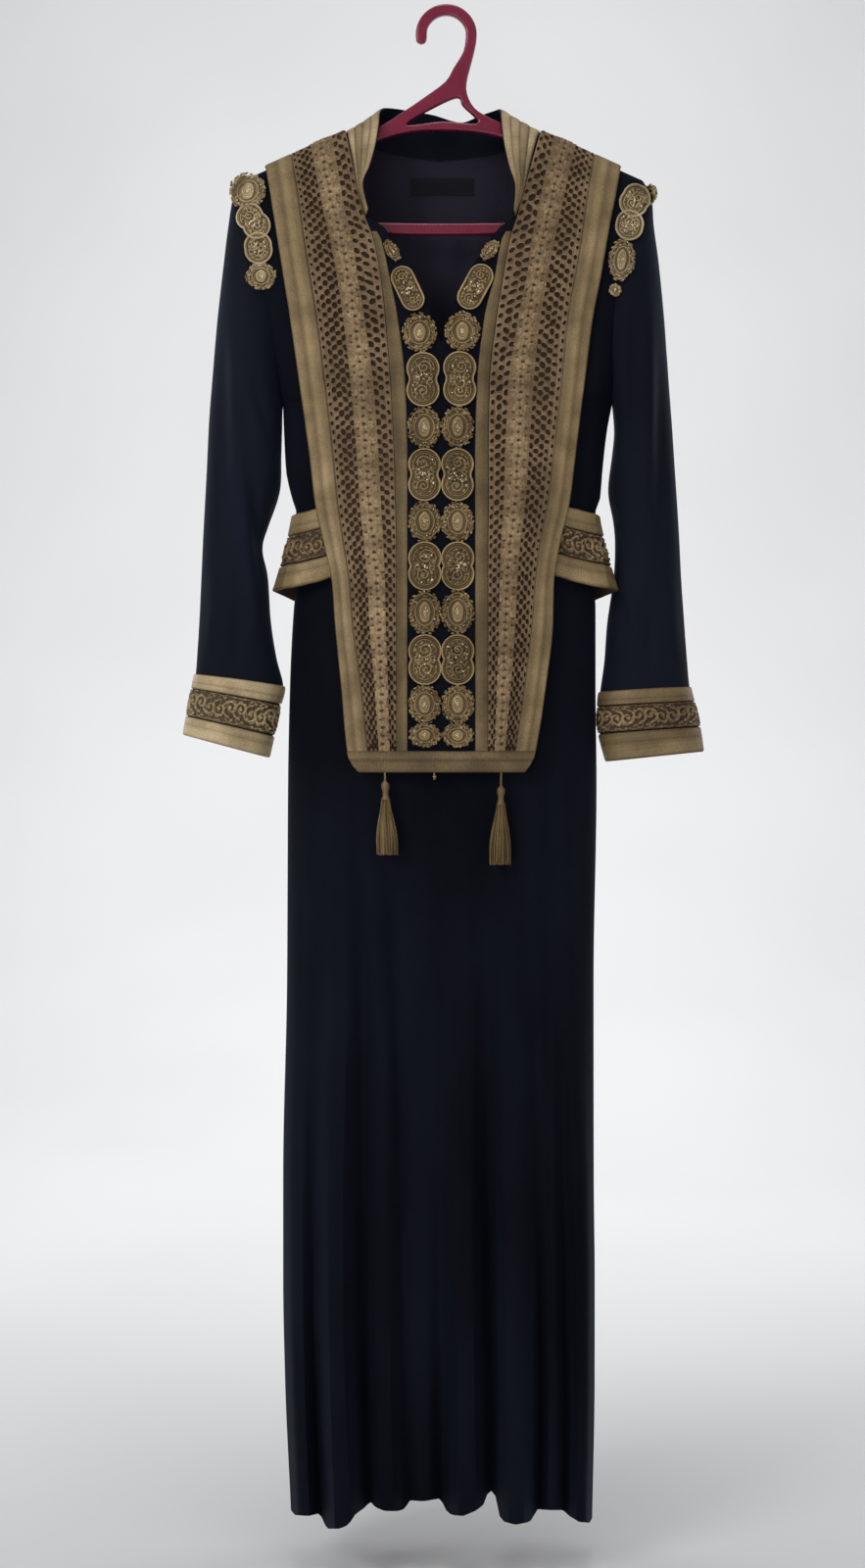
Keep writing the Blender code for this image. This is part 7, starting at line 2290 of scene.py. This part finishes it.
def build_camera():
    camera = bpy.data.cameras.new("camera")
    camera.sensor_fit = "VERTICAL"
    camera.sensor_height = CAMERA_SENSOR
    camera.lens = CAMERA_LENS
    thing = bpy.data.objects.new("camera", camera)
    thing.location = CAMERA_PLACE
    thing.rotation_euler = (math.pi / 2, 0, 0)
    bpy.context.scene.collection.objects.link(thing)
    bpy.context.scene.camera = thing


def lifter(side, creases):
    return lambda points: crease_lift(points, side, creases)


def sleeve_lift(points):
    return crease_lift(points, FRONT, SLEEVE_CREASES) + crease_lift(points, BACK, SLEEVE_CREASES)


def cloth_tree(*cloths):
    """A search tree over the outer faces of cloths."""
    points, faces = [], []
    for cloth in cloths:
        start = len(points)
        points += cloth.points
        faces += [tuple(k + start for k in face) for face in cloth.faces]
    return BVHTree.FromPolygons(points, faces)


# Tassels hang this far behind the border's face, and the right one is darker: painted shade, for the light
# falling from the left.
TASSEL_BEHIND = 0.0005
TASSEL_TONES = (0.92, 0.68)
# The right cuff's braids are darker and the left cuff's trims take the lighter bright_gold_look: painted
# shade and painted light for the light falling from the left.
CUFF_TONES = {LEFT: 1.0, RIGHT: 0.76}
CUFF_LOOKS = {LEFT: ("bright", "bright"), RIGHT: ("gold", "floral")}
# How many of a sleeve's last rings its cuff trims cover.
CUFF_RINGS = 3


def build_kaftan():
    front = build_fine_panel(PANEL_FRONT, "dress_front", lifter(FRONT, BODY_CREASES))
    back = build_fine_panel(PANEL_BACK, "dress_back", lifter(BACK, BODY_CREASES))
    sleeves = {}
    for hand in (LEFT, RIGHT):
        sleeves[hand] = build_fine_sleeve(hand, sleeve_lift)
    collar = build_fine_collar()
    collar.thing = collar.shell("collar_cloth", CLOTH_THICKNESS, [LOOKS["velvet"]], "velvet", ["collar"])
    build_collar_braid(collar)
    plastron = build_fine_plastron(cloth_tree(front))
    build_plastron_trims(plastron)
    plastron_tree = cloth_tree(plastron)
    build_medallions(plastron_tree)
    build_appliques(cloth_tree(front, sleeves[LEFT], sleeves[RIGHT]))
    belt, rows = build_fine_belt()
    build_band_trims(rows, ("belt_braid_upper", "belt_lace", "belt_braid_lower"), 0.0013)
    for hand in (LEFT, RIGHT):
        stop = (len(SLEEVES[hand]) - 1) * SLEEVE_ROW_STEPS
        start = stop - CUFF_RINGS * SLEEVE_ROW_STEPS
        rows = [[sleeves[hand].at((row, k)) for row in range(start, stop + 1)] for k in range(SLEEVE_COLUMNS)]
        side = HAND_NAMES[hand]
        names = (f"cuff_braid_upper_{side}", f"cuff_lace_{side}", f"cuff_braid_lower_{side}")
        build_band_trims(rows, names, looks=CUFF_LOOKS[hand], tone_scale=CUFF_TONES[hand])
    bottom = plastron.at(plastron.tracks[(len(plastron.rows) - 1, "in_lace", LEFT)])[0]
    for k, tassel in enumerate(TASSELS):
        build_fine_tassel(tassel, bottom.y + TASSEL_BEHIND, 40 + k, TASSEL_TONES[k])
    build_fine_stub(bottom.y + TASSEL_BEHIND)
    build_fine_hanger()
    build_fine_label(cloth_tree(back))
    return front, back, sleeves, collar, plastron, belt


build_camera()
build_stage()
front, back, sleeves, collar, plastron, belt = build_kaftan()
